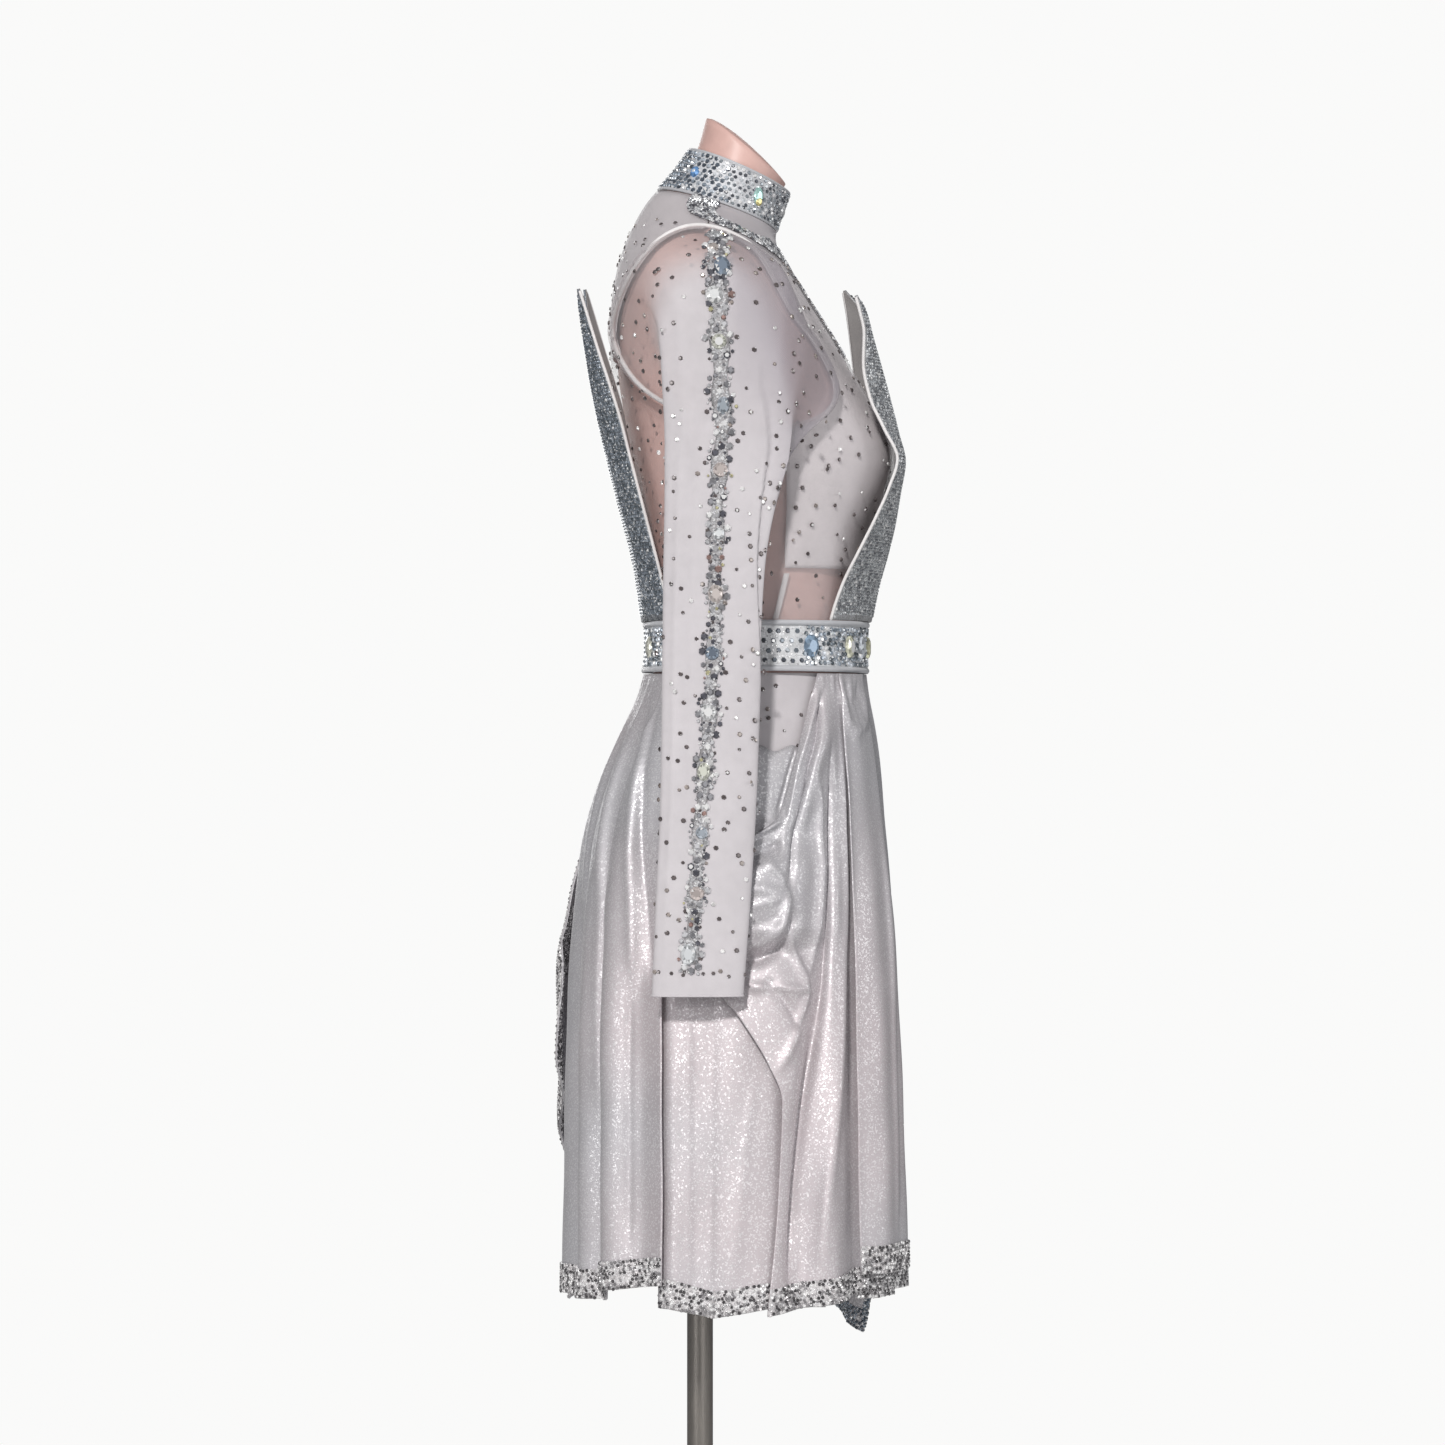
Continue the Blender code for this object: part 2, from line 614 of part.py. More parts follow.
def build_form(collection, skin, steel):
    columns = 28
    angles = np.linspace(0, 360, columns, endpoint=False)
    heights = np.concatenate([
        [BODY_ROWS[0].height, BODY_ROWS[1].height, BODY_ROWS[2].height],
        np.linspace(BODY_ROWS[3].height, 1.300, 9),
        [row.height for row in BODY_ROWS if row.height > 1.305],
    ])
    rings = on_body(angles[None, :], heights[:, None], -FORM_INSET)
    cap = rings[-1]
    middle = cap.mean(axis=0)
    dome = [middle + (cap - middle) * share + np.array([0, 0.35, 1]) * rise for share, rise in CAP_RINGS]
    closed_loft(collection, "form_torso", np.concatenate([rings, np.array(dome)]), skin)
    seat = float(rings[0][:, 2].min()) - SEAM_GAP
    socket_bottom = seat - SOCKET_HEIGHT
    rim = 2 * MM
    turned(collection, "form_socket", [
        (0, seat),
        (SOCKET_RADIUS - rim, seat),
        (SOCKET_RADIUS, seat - rim),
        (SOCKET_RADIUS, socket_bottom + rim),
        (SOCKET_RADIUS - rim, socket_bottom),
        (0, socket_bottom),
    ], steel)
    hub_top = BASE_THICKNESS + HUB_HEIGHT
    pole_top = socket_bottom - SEAM_GAP
    turned(collection, "stand_pole", [
        (0, pole_top),
        (POLE_RADIUS, pole_top),
        (POLE_RADIUS, hub_top + SEAM_GAP),
        (0, hub_top + SEAM_GAP),
    ], steel, steps=24)
    turned(collection, "stand_base", [
        (0, hub_top),
        (HUB_RADIUS - 3 * rim, hub_top),
        (HUB_RADIUS - rim, hub_top - rim),
        (HUB_RADIUS, BASE_THICKNESS + rim),
        (HUB_RADIUS + 2 * rim, BASE_THICKNESS),
        (BASE_RADIUS - rim, BASE_THICKNESS),
        (BASE_RADIUS, BASE_THICKNESS - rim),
        (BASE_RADIUS, 0),
        (0, 0),
    ], steel, steps=30)


# The neck cap's rings: share of its edge, and how far they rise
CAP_RINGS = [(0.93, 2.0 * MM), (0.70, 6.0 * MM), (0.35, 9.0 * MM)]


def build_bodice(collection, mesh_cloth, lining, tape):
    columns = 15
    for name, lining_name, front, low, high in (
        ("bodice_front", "lining_front", True, CUP_BOTTOM - 8 * MM, FRONT_LINING_TOP),
        ("bodice_back", "lining_back", False, YOKE_BOTTOM - 8 * MM, COLLAR_BOTTOM),
    ):
        angles, heights = bodice_grid(front, columns)
        points = on_body(angles, heights, MESH_OFFSET)
        cloth(collection, name, points, CLOTH_WALL, mesh_cloth, mirrored=True)
        angles, heights = rows_between(angles, heights, low, high)
        points = on_body(angles, heights, LINING_OFFSET)
        cloth(collection, lining_name, points, CLOTH_WALL, lining, mirrored=True)
    for side, name in ((1, "side_tape_right"), (-1, "side_tape_left")):
        heights = np.linspace(CUP_BOTTOM - 12 * MM, WAISTBAND_TOP + SEAM_GAP, 5)
        lean = np.linspace(77, 82, 5)
        angles = side * (lean[:, None] + np.array([-1.4, 1.4])[None, ::side])
        cloth(collection, name, on_body(angles, heights[:, None], LINING_OFFSET - SEAM_GAP), CLOTH_WALL, tape)


def build_bindings(collection, tape):
    turns = np.linspace(0, 360, 26, endpoint=False)
    angles, heights = armhole_place(turns)
    offset = BINDING_RADIUS + SEAM_GAP
    for side, name in ((1, "armhole_binding_right"), (-1, "armhole_binding_left")):
        points = on_body(side * angles, heights, offset)
        tube(collection, name, points.tolist(), BINDING_RADIUS, tape, cyclic=True)


def build_collar(collection, stones):
    centre = (COLLAR_BOTTOM + COLLAR_TOP) / 2
    stone_wall(collection, "collar", (COLLAR_BOTTOM, centre, COLLAR_TOP), COLLAR_STONE_ANGLES, 52 * MM, 14,
               2.0 * MM, 4.2 * MM, 0.75, stones)


def build_waistband(collection, stones):
    centre = (WAISTBAND_BOTTOM + WAISTBAND_TOP) / 2
    stone_wall(collection, "waistband", (WAISTBAND_BOTTOM, centre, WAISTBAND_TOP), WAISTBAND_STONE_ANGLES,
               108 * MM, 18, 4.6 * MM, 7.8 * MM, 1.0, stones)


def stone_wall(collection, name, band, stone_angles, radius, plain, inner, outer, size, material):
    """A ring round the body with large oval stones raised in its outer points."""
    low, centre, high = band
    tall = STONE_HALF_HEIGHT * size
    heights = np.array([low, centre - 0.9 * tall, centre, centre + 0.9 * tall, high])
    half_angle = math.degrees(STONE_HALF_WIDTH * size / radius)
    near = [angle + half_angle * share for angle in stone_angles for share in (-1, -0.5, 0.5, 1)]
    even = [
        angle for angle in np.linspace(-180, 180, plain, endpoint=False)
        if min(abs((angle - stone + 180) % 360 - 180) for stone in stone_angles) > half_angle * 1.5
    ]
    angles = np.array(sorted((angle + 180) % 360 - 180 for angle in near + even))
    base = on_body(angles[None, :], heights[:, None], inner)
    raised = np.zeros((len(heights), len(angles)))
    for stone in stone_angles:
        across = ((angles - stone + 180) % 360 - 180) / half_angle
        up = (heights - centre) / tall
        share = 1 - across[None, :] ** 2 - up[:, None] ** 2
        raised = np.maximum(raised, STONE_RISE * size * np.sqrt(np.clip(share, 0, 1)))
    normals = body_normals(angles[None, :] + 0 * heights[:, None], heights[:, None] + 0 * angles[None, :])
    shell = base + normals * (outer - inner + raised)[:, :, None]
    wall_between(collection, name, base[::-1], shell[::-1], material, ring=True)


def sleeve_points(turn, share, side):
    """A point of the sleeve. Turn 0 is the front fold, 90 the outside; share runs from armhole to cuff."""
    turn, share = np.broadcast_arrays(np.asarray(turn, float), np.asarray(share, float))
    ring_turn = np.interp(turn, [0, 90, 180, 270, 360], [-15, 80, 150, 270, 345])
    angles, heights = armhole_place(ring_turn, SLEEVE_LAP)
    start = on_body(angles, heights, SLEEVE_EDGE_OFFSET)
    away = unit(body_normals(angles, heights) * [1, 1, 0] + [0, 0, -0.25])
    join = np.interp(turn, [0, 60, 120, 180, 250, 300, 360], [1.165, 1.235, 1.270, 1.290, 1.175, 1.165, 1.165])
    cap_share = 0.34
    t = np.clip(share / cap_share, 0, 1)[..., None]
    height = np.where(share < cap_share, join, join + (SLEEVE_ROWS[-1].height - join)
                      * (share - cap_share) / (1 - cap_share))
    tube_point = sleeve_section(turn, height)
    reach = np.interp(turn, [0, 90, 180, 270, 360], [0.030, 0.058, 0.026, 0.012, 0.030])[..., None]
    drop = np.interp(turn, [0, 90, 180, 270, 360], [0.045, 0.110, 0.040, 0.030, 0.045])[..., None]
    leave = start + away * reach
    arrive = tube_point + np.array([0, 0, 1]) * drop
    cap = (1 - t) ** 3 * start + 3 * (1 - t) ** 2 * t * leave + 3 * (1 - t) * t**2 * arrive + t**3 * tube_point
    points = np.where(share[..., None] < cap_share, cap, tube_point)
    mirror = np.array([-1, 1, 1])
    clear = push_clear(points * mirror, BODY_CLEARANCE) * mirror
    points = points + (clear - points) * smooth_step(0, 0.05, share)[..., None]
    return points * [side, 1, 1]


def sleeve_section(turn, height):
    """A level section of the hanging sleeve: a flat oval, blunt at its folds."""
    turn = np.radians(turn)
    front, back = SLEEVE["front"](height), SLEEVE["back"](height)
    middle, width = (front + back) / 2, (back - front) / 2
    across = np.sign(np.sin(turn)) * np.abs(np.sin(turn)) ** 0.8
    x = -SLEEVE["centre_x"](height) - SLEEVE["half_depth"](height) * across
    return np.stack([x, middle - width * np.cos(turn), height], axis=-1)


SLEEVE_EDGE_OFFSET = MESH_OFFSET + CLOTH_WALL + 4 * SEAM_GAP
SLEEVE_COLUMNS = 18
SLEEVE_SHARES = [0, 0.025, 0.06, 0.10, 0.15, 0.20, 0.26, 0.34, 0.45, 0.57, 0.68, 0.79, 0.90, 1.0]


def build_sleeves(collection, mesh_cloth, stones):
    turns = np.linspace(0, 360, SLEEVE_COLUMNS, endpoint=False)
    shares = np.array(SLEEVE_SHARES)
    for side, tag in ((1, "right"), (-1, "left")):
        points = sleeve_points(turns[None, :], shares[:, None], side)
        if side < 0:
            points = points[:, ::-1]
        cloth(collection, "sleeve_" + tag, points, CLOTH_WALL, mesh_cloth, ring=True)
        build_chain(collection, "sleeve_stones_" + tag, side, stones)


def build_chain(collection, name, side, stones):
    """The chain of large stones down the middle of the sleeve's outside."""
    rows = CHAIN_STONES * 2 + 1
    shares = np.linspace(0.035, 0.965, rows)
    middle_turn = np.linspace(84, 97, rows)
    lies = CLOTH_WALL / 2 + SEAM_GAP + 0.9 * MM
    spread = np.array([-1, 0, 1])
    centre = sleeve_points(middle_turn, shares, side)
    forward = sleeve_points(middle_turn - 4, shares, side)
    across = unit(forward - centre)
    down = np.gradient(centre, axis=0)
    out = -unit(np.cross(across, down)) * side
    bulge = np.where(np.arange(rows) % 2 == 1, 1.0, 0.45)
    width = CHAIN_HALF_WIDTH * (0.45 + 0.55 * bulge)
    inner = centre[:, None] + across[:, None] * (spread[None, :, None] * width[:, None, None])
    dome = np.sqrt(1 - (spread * 0.86) ** 2)
    rise = lies + CHAIN_RISE * bulge[:, None] * dome[None, :]
    outer = inner + out[:, None] * rise[:, :, None]
    inner = inner + out[:, None] * lies
    wall_between(collection, name, inner, outer, stones)


def build_lapels(collection, stones, piping):
    for rows, place, tip_rise in ((FRONT_LAPEL_ROWS, "front", 0.024), (BACK_LAPEL_ROWS, "back", 0.016)):
        table = curves_of(rows)
        low, high = rows[0].height, rows[-1].height
        for side, tag in ((1, "right"), (-1, "left")):
            lift = tip_rise if side < 0 else 0
            share = 1 - np.linspace(0, 1, 12) ** 1.15
            heights = low + SEAM_GAP + (high - low - SEAM_GAP) * share
            points = lapel_points(table, heights, np.linspace(0, 1, 5), place == "front")
            points = push_clear(points, LAPEL_CLEARANCE)
            points[..., 2] += lift * smooth_step(low, high, points[..., 2])
            points *= [-side, 1, 1]
            if (place == "front") == (side > 0):
                points = points[:, ::-1]
            cloth(collection, f"lapel_{place}_{tag}", points, LAPEL_WALL, stones)
            edge = points[:, 0] if (place == "front") == (side > 0) else points[:, -1]
            neighbour = points[:, 1] if (place == "front") == (side > 0) else points[:, -2]
            edge = edge + unit(edge - neighbour) * (PIPING_RADIUS + 2 * SEAM_GAP)
            tube(collection, f"piping_{place}_{tag}", edge[1:].tolist(), PIPING_RADIUS, piping)


PIPING_RADIUS = 1.3 * MM
LAPEL_BULGE = 5 * MM
LAPEL_CLEARANCE = 6.2 * MM


def lapel_points(table, heights, across, front):
    """A stiff lapel between its two edges, with a slight crown across."""
    inner = np.stack([table["inner_x"](heights), table["inner_y"](heights), heights], axis=-1)
    outer = np.stack([table["outer_x"](heights), table["outer_y"](heights), heights], axis=-1)
    across = across[None, :, None]
    points = inner[:, None] * (1 - across) + outer[:, None] * across
    crown = LAPEL_BULGE * 4 * across[..., 0] * (1 - across[..., 0])
    narrow = np.linalg.norm(outer - inner, axis=1) / (80 * MM)
    points[..., 1] += (-1 if front else 1) * crown * narrow[:, None]
    return points


def fold_rise(angle, height):
    """How far the skirt's folds stand out or in, from gathers at the waist to wide folds at the hem."""
    angle = (np.asarray(angle, float) + 180) % 360 - 180
    down = smooth_step(1.0, 0.5, height)
    total = np.zeros(np.broadcast(angle, height).shape)
    for fold in FOLD_ROWS:
        middle = fold.waist_angle + (fold.hem_angle - fold.waist_angle) * down
        away = (angle - middle + 180) % 360 - 180
        grown = smooth_step(fold.top + 0.01, fold.top - 0.42, height) * 0.75 + 0.25 * smooth_step(
            fold.top + 0.01, fold.top - 0.06, height)
        total = total + fold.rise * grown * np.exp(-((away / fold.half_angle) ** 2))
    return total


def drape_rise(angle, height):
    """The hip drape: a pouch that hangs over its lip, and swags that rise from it to the waistband."""
    side = np.abs((np.asarray(angle, float) + 180) % 360 - 180)
    across = np.exp(-(((side - POUCH_ANGLE) / POUCH_SPREAD) ** 2))
    under_top = smooth_step(POUCH_TOP, POUCH_TOP - 0.035, height)
    over_lip = smooth_step(POUCH_LIP - 0.012, POUCH_LIP + 0.012, height)
    pouch = POUCH_RISE * across * under_top * over_lip
    run = np.clip((1.0 - height) / 0.13, 0, 1)
    swag_middle = 55 + 19 * run
    swag = SWAG_RISE * np.exp(-(((side - swag_middle) / 5.0) ** 2)) * smooth_step(1.0, 0.95, height)
    swag = swag * smooth_step(0.855, 0.90, height)
    below = 0.006 * np.exp(-(((side - 74) / 12.0) ** 2)) * smooth_step(0.80, 0.76, height)
    below = below * smooth_step(0.56, 0.70, height)
    return pouch + swag + below


def layer_lift(layer, height):
    """Clearance between the skirt's layers: close at the waistband, looser at the hem."""
    return layer * (2.0 * MM + 4.4 * MM * smooth_step(1.0, 0.72, height))


def skirt_points(angle, height, layer, draped=False):
    angle, height = np.broadcast_arrays(np.asarray(angle, float), np.asarray(height, float))
    front, back = SKIRT["front"](height), SKIRT["back"](height)
    middle, depth = (front + back) / 2, (back - front) / 2
    half_width = SKIRT["half_width"](height)
    out = fold_rise(angle, height) + layer_lift(layer, height)
    if draped:
        out = out + drape_rise(angle, height)
    across, along = np.sin(np.radians(angle)), np.cos(np.radians(angle))
    power = 2 / SKIRT_SQUARENESS
    x = -(half_width + out) * np.sign(across) * np.abs(across) ** power
    y = middle - (depth + out) * np.sign(along) * np.abs(along) ** power
    return np.stack([x, y, height], axis=-1)


def fold_columns():
    """Angles that every skirt layer shares: each fold's crest, points between them and the panels' edges."""
    crests = sorted(fold.hem_angle for fold in FOLD_ROWS)
    angles = set()
    for low, high in zip(crests, crests[1:] + [crests[0] + 360]):
        steps = 3 if high - low > 13 else 2
        angles.update(low + (high - low) * i / steps for i in range(steps))
    edges = [edge for panel in PANEL_ROWS for edge in (panel.start_angle, panel.end_angle)]
    for edge in edges:
        near = [angle for angle in angles if abs((angle - edge + 180) % 360 - 180) < 2.2]
        angles.difference_update(near)
    return sorted({(angle + 180) % 360 for angle in angles | set(edges)})


def columns_between(start, end):
    """The shared angles from start to end, without a jump where they pass the back."""
    found = [angle - 180 + turn for angle in fold_columns() for turn in (0, 360)]
    return np.array(sorted(angle for angle in found if start - 1e-6 <= angle <= end + 1e-6))


PANEL_ROWS_DOWN = 8
DRAPE_ROWS_DOWN = 14


def hem_shares(rows, length):
    """Shares of the way down a panel, the last steps as tall as the hem band."""
    band = HEM_BAND / length
    return np.concatenate([np.linspace(0, 1 - band, rows - 1), [1.0]])


def panel_points(panel):
    """A panel's grid of points, rows down from its top."""
    angles = columns_between(panel.start_angle, panel.end_angle)
    across = np.linspace(0, 1, len(angles))
    hem = panel.hem_at_start + (panel.hem_at_end - panel.hem_at_start) * across
    if panel.dip:
        hem = hem - panel.dip * np.clip(1 - np.abs(angles - panel.dip_angle) / 14, 0, 1)
    top = np.full(len(angles), panel.top)
    if panel.top < WAISTBAND_BOTTOM:
        side = np.abs((angles + 180) % 360 - 180)
        top = top + (WAISTBAND_BOTTOM - panel.top) * smooth_step(96, 112, side)
    top = np.minimum(top, WAISTBAND_BOTTOM - 2 * SEAM_GAP)
    shares = hem_shares(PANEL_ROWS_DOWN, 0.51)
    heights = top[None, :] + (hem - top)[None, :] * shares[:, None]
    return skirt_points(angles[None, :], heights, panel.layer)


def drape_points(side):
    """The draped gore in front of the hip, from the gathers to the hem."""
    columns = 10
    front_angle = 43.0
    hem = np.interp(np.linspace(0, 1, columns), [0, 0.5, 1], [0.512, 0.505, 0.4975])
    top = WAISTBAND_BOTTOM - 2 * SEAM_GAP
    shares = hem_shares(DRAPE_ROWS_DOWN, 0.51)
    heights = top + (hem - top)[None, :] * shares[:, None]
    edge = DRAPE_EDGE(heights[:, -1])
    across = np.linspace(0, 1, columns)
    angles = front_angle + (edge[:, None] - front_angle) * across[None, :]
    points = skirt_points(side * angles, heights, 1, draped=True)
    return points if side > 0 else points[:, ::-1]


def hem_band(collection, name, points, stones):
    """The stone band on a panel's hem, made from the panel's own points moved out."""
    rows = points[-2:]
    normals = grid_normals(points)[-2:]
    inner = SATIN_WALL / 2 + 2 * SEAM_GAP
    wall_between(collection, name, rows + normals * inner, rows + normals * (inner + TRIM_WALL), stones)


def build_skirt(collection, satin, stones, mesh_cloth):
    for panel in PANEL_ROWS:
        points = panel_points(panel)
        cloth(collection, panel.name, points, SATIN_WALL, satin)
        hem_band(collection, panel.name.replace("skirt", "hem"), points, stones)
    for side, tag in ((1, "right"), (-1, "left")):
        points = drape_points(side)
        cloth(collection, "skirt_drape_" + tag, points, SATIN_WALL, satin)
        hem_band(collection, "hem_drape_" + tag, points, stones)
    build_cascade(collection, satin, stones)
    angles = np.linspace(0, 360, 28, endpoint=False)
    heights = np.linspace(WAISTBAND_BOTTOM - SEAM_GAP, HIP_YOKE_BOTTOM, 3)
    points = on_body(angles[None, :], heights[:, None], LINING_OFFSET)
    cloth(collection, "hip_yoke", points, CLOTH_WALL, mesh_cloth, ring=True)


CascadeRow = namedtuple("CascadeRow", "height angle swing")

# The free edge of the left back cascade, and how far it swings out from the skirt
CASCADE_ROWS = [
    CascadeRow(1.0170, -158, 0.000),
    CascadeRow(0.900, -163, 0.002),
    CascadeRow(0.808, -168, 0.008),
    CascadeRow(0.720, -172, 0.015),
    CascadeRow(0.690, -172, 0.016),
    CascadeRow(0.645, -170, 0.011),
    CascadeRow(0.600, -166, 0.005),
    CascadeRow(0.560, -160, 0.004),
]
CASCADE_LAYER = 2.7


def build_cascade(collection, satin, stones):
    """A free panel at the left back, whose stone-trimmed edge swings clear of the skirt."""
    table = curves_of(CASCADE_ROWS)
    heights = np.linspace(CASCADE_ROWS[0].height, CASCADE_ROWS[-1].height, 15)
    edge = table["angle"](heights)
    swing = table["swing"](heights)
    spread = np.interp(heights, [0.56, 0.75, 1.017], [9.0, 26.0, 14.0])
    across = np.array([0, 0.28, 0.52, 0.76, 1.0])
    angles = edge[:, None] + spread[:, None] * across[None, :]
    points = skirt_points(angles, heights[:, None], CASCADE_LAYER)
    out = unit(points * [1, 1, 0] - [0, -30 * MM, 0])
    points = points + out * (swing[:, None] * (1 - across[None, :]) ** 1.5)[:, :, None]
    points = points - [0, 0, 1] * np.array(2 * SEAM_GAP)
    cloth(collection, "skirt_cascade", points, SATIN_WALL, satin)
    rows = points[2:, :2]
    normals = grid_normals(points)[2:, :2]
    inner = SATIN_WALL / 2 + 2 * SEAM_GAP
    wall_between(collection, "cascade_band", rows + normals * inner, rows + normals * (inner + TRIM_WALL), stones)


def build_yoke_lines(collection, stones):
    """Narrow lines of stones on the mesh: over each shoulder to the centre front, and down it."""
    table = YOKE_LINE_ROWS
    spots = np.linspace(0, len(table) - 1, 11)
    base = MESH_OFFSET + CLOTH_WALL / 2 + SEAM_GAP + 0.6 * MM
    for side, tag in ((1, "right"), (-1, "left")):
        angle = side * smooth_curve(range(len(table)), [row.angle for row in table])(spots)
        height = smooth_curve(range(len(table)), [row.height for row in table])(spots)
        half = smooth_curve(range(len(table)), [row.half_width for row in table])(spots)
        centre = on_body(angle, height, base)
        out = body_normals(angle, height)
        along = unit(np.gradient(centre, axis=0))
        across = unit(np.cross(out, along))
        spread = np.array([-1, -0.33, 0.33, 1])
        inner = centre[:, None] + across[:, None] * (half[:, None] * spread[None, :])[:, :, None]
        crown = np.array([1.2, 2.2, 2.2, 1.2]) * MM
        outer = inner + out[:, None] * crown[None, :, None]
        wall_between(collection, "yoke_line_" + tag, inner, outer, stones)
    heights = np.linspace(CENTRE_LINE_TOP, CENTRE_LINE_BOTTOM, 7)
    angles = np.degrees(CENTRE_LINE_HALF_WIDTH / (110 * MM)) * np.array([1, 0, -1])
    inner = on_body(angles[None, :], heights[:, None], base)
    outer = on_body(angles[None, :], heights[:, None], base + 2 * MM)
    wall_between(collection, "centre_line", inner[:, ::-1], outer[:, ::-1], stones)


def main():
    clear_scene()
    collection = new_collection("latin_dance_dress")
    mesh_cloth = new_material("stretch mesh", (0.62, 0.57, 0.61), 0.6)
    satin = new_material("silver satin", (0.60, 0.57, 0.60), 0.35)
    lining = new_material("pale lining", (0.82, 0.77, 0.78), 0.6)
    tape = new_material("pale tape", (0.86, 0.84, 0.85), 0.6)
    stones = new_material("glass stones", (0.42, 0.46, 0.52), 0.2, 0.6)
    skin = new_material("pink lacquer", (0.74, 0.44, 0.38), 0.25)
    steel = new_material("brushed steel", (0.45, 0.43, 0.41), 0.35, 1.0)
    build_form(collection, skin, steel)
    build_bodice(collection, mesh_cloth, lining, tape)
    build_bindings(collection, tape)
    build_collar(collection, stones)
    build_waistband(collection, stones)
    build_sleeves(collection, mesh_cloth, stones)
    build_lapels(collection, stones, tape)
    build_yoke_lines(collection, stones)
    build_skirt(collection, satin, stones, mesh_cloth)


main()
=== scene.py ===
"""A latin dance dress on a limbless dress form, built piece by piece over its fixed frame.

Metres, +Z up. The dress faces -Y, and the wearer's right side is -X. An angle round the body
starts at the front (0), passes the wearer's right (90) and the back (180), and ends at the
left (-90).
"""

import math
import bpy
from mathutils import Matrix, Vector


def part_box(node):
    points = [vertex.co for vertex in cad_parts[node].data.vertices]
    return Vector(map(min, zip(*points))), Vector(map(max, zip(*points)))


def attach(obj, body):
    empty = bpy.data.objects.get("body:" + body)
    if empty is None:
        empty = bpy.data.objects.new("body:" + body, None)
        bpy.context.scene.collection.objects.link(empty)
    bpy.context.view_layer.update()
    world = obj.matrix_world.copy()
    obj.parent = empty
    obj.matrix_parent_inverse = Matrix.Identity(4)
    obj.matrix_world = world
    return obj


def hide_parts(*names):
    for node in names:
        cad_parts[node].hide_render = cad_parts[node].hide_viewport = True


bl_info = {
    "name": "Latin Dance Dress",
    "version": (1, 0, 0),
    "blender": (4, 5, 0),
    "location": "View3D > Sidebar > Dance Dress",
    "description": "Builds a stone-trimmed latin dance dress on its dress form",
    "category": "Add Mesh",
}

from collections import namedtuple

import bpy
import numpy as np
from bpy.props import FloatProperty, FloatVectorProperty, PointerProperty
from mathutils import Vector

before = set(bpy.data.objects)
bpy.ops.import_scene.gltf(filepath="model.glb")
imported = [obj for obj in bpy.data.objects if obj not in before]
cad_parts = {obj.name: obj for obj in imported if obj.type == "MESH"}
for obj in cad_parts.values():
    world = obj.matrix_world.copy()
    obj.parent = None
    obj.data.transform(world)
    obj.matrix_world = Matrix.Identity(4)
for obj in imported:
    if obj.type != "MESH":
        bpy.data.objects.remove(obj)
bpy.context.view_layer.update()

MM = 0.001
BODY_NAME = "root"

# Stand
POLE_RADIUS = 11 * MM
BASE_THICKNESS = 6 * MM
HUB_RADIUS = 27 * MM
HUB_HEIGHT = 22 * MM
# Walls and the gaps between them
SEAM_GAP = 0.3 * MM
FORM_INSET = 2.4 * MM
LINING_OFFSET = 1.3 * MM
MESH_OFFSET = 3.3 * MM
CLOTH_WALL = 1.0 * MM
# Heights of the dress, measured on the wearer's side
WAISTBAND_TOP = 1062 * MM
WAISTBAND_BOTTOM = 1018 * MM
COLLAR_TOP = 1445 * MM
COLLAR_BOTTOM = 1410 * MM
CUP_BOTTOM = 1112 * MM
YOKE_BOTTOM = 1290 * MM
FRONT_LINING_TOP = 1386 * MM
HIP_YOKE_BOTTOM = 905 * MM
HEM_BAND = 22 * MM
# Armhole edges: the bound edge, the bodice outside it and the sleeve's edge over both
BINDING_RADIUS = 1.5 * MM
ARMHOLE_SEAM = 4.6 * MM
SLEEVE_LAP = 3.0 * MM
BODY_CLEARANCE = 6.5 * MM
SLEEVE_EDGE_OFFSET = MESH_OFFSET + CLOTH_WALL + 4 * SEAM_GAP
# The bust of a general figure
BUST_X = 72 * MM
BUST_Z = 1198 * MM
BUST_RISE = 17 * MM
BUST_SPREAD = 46 * MM
PIPING_RADIUS = 1.3 * MM
LAPEL_BULGE = 5 * MM
LAPEL_CLEARANCE = 5.5 * MM

BodyRow = namedtuple("BodyRow", "height front back half_width squareness tilt")

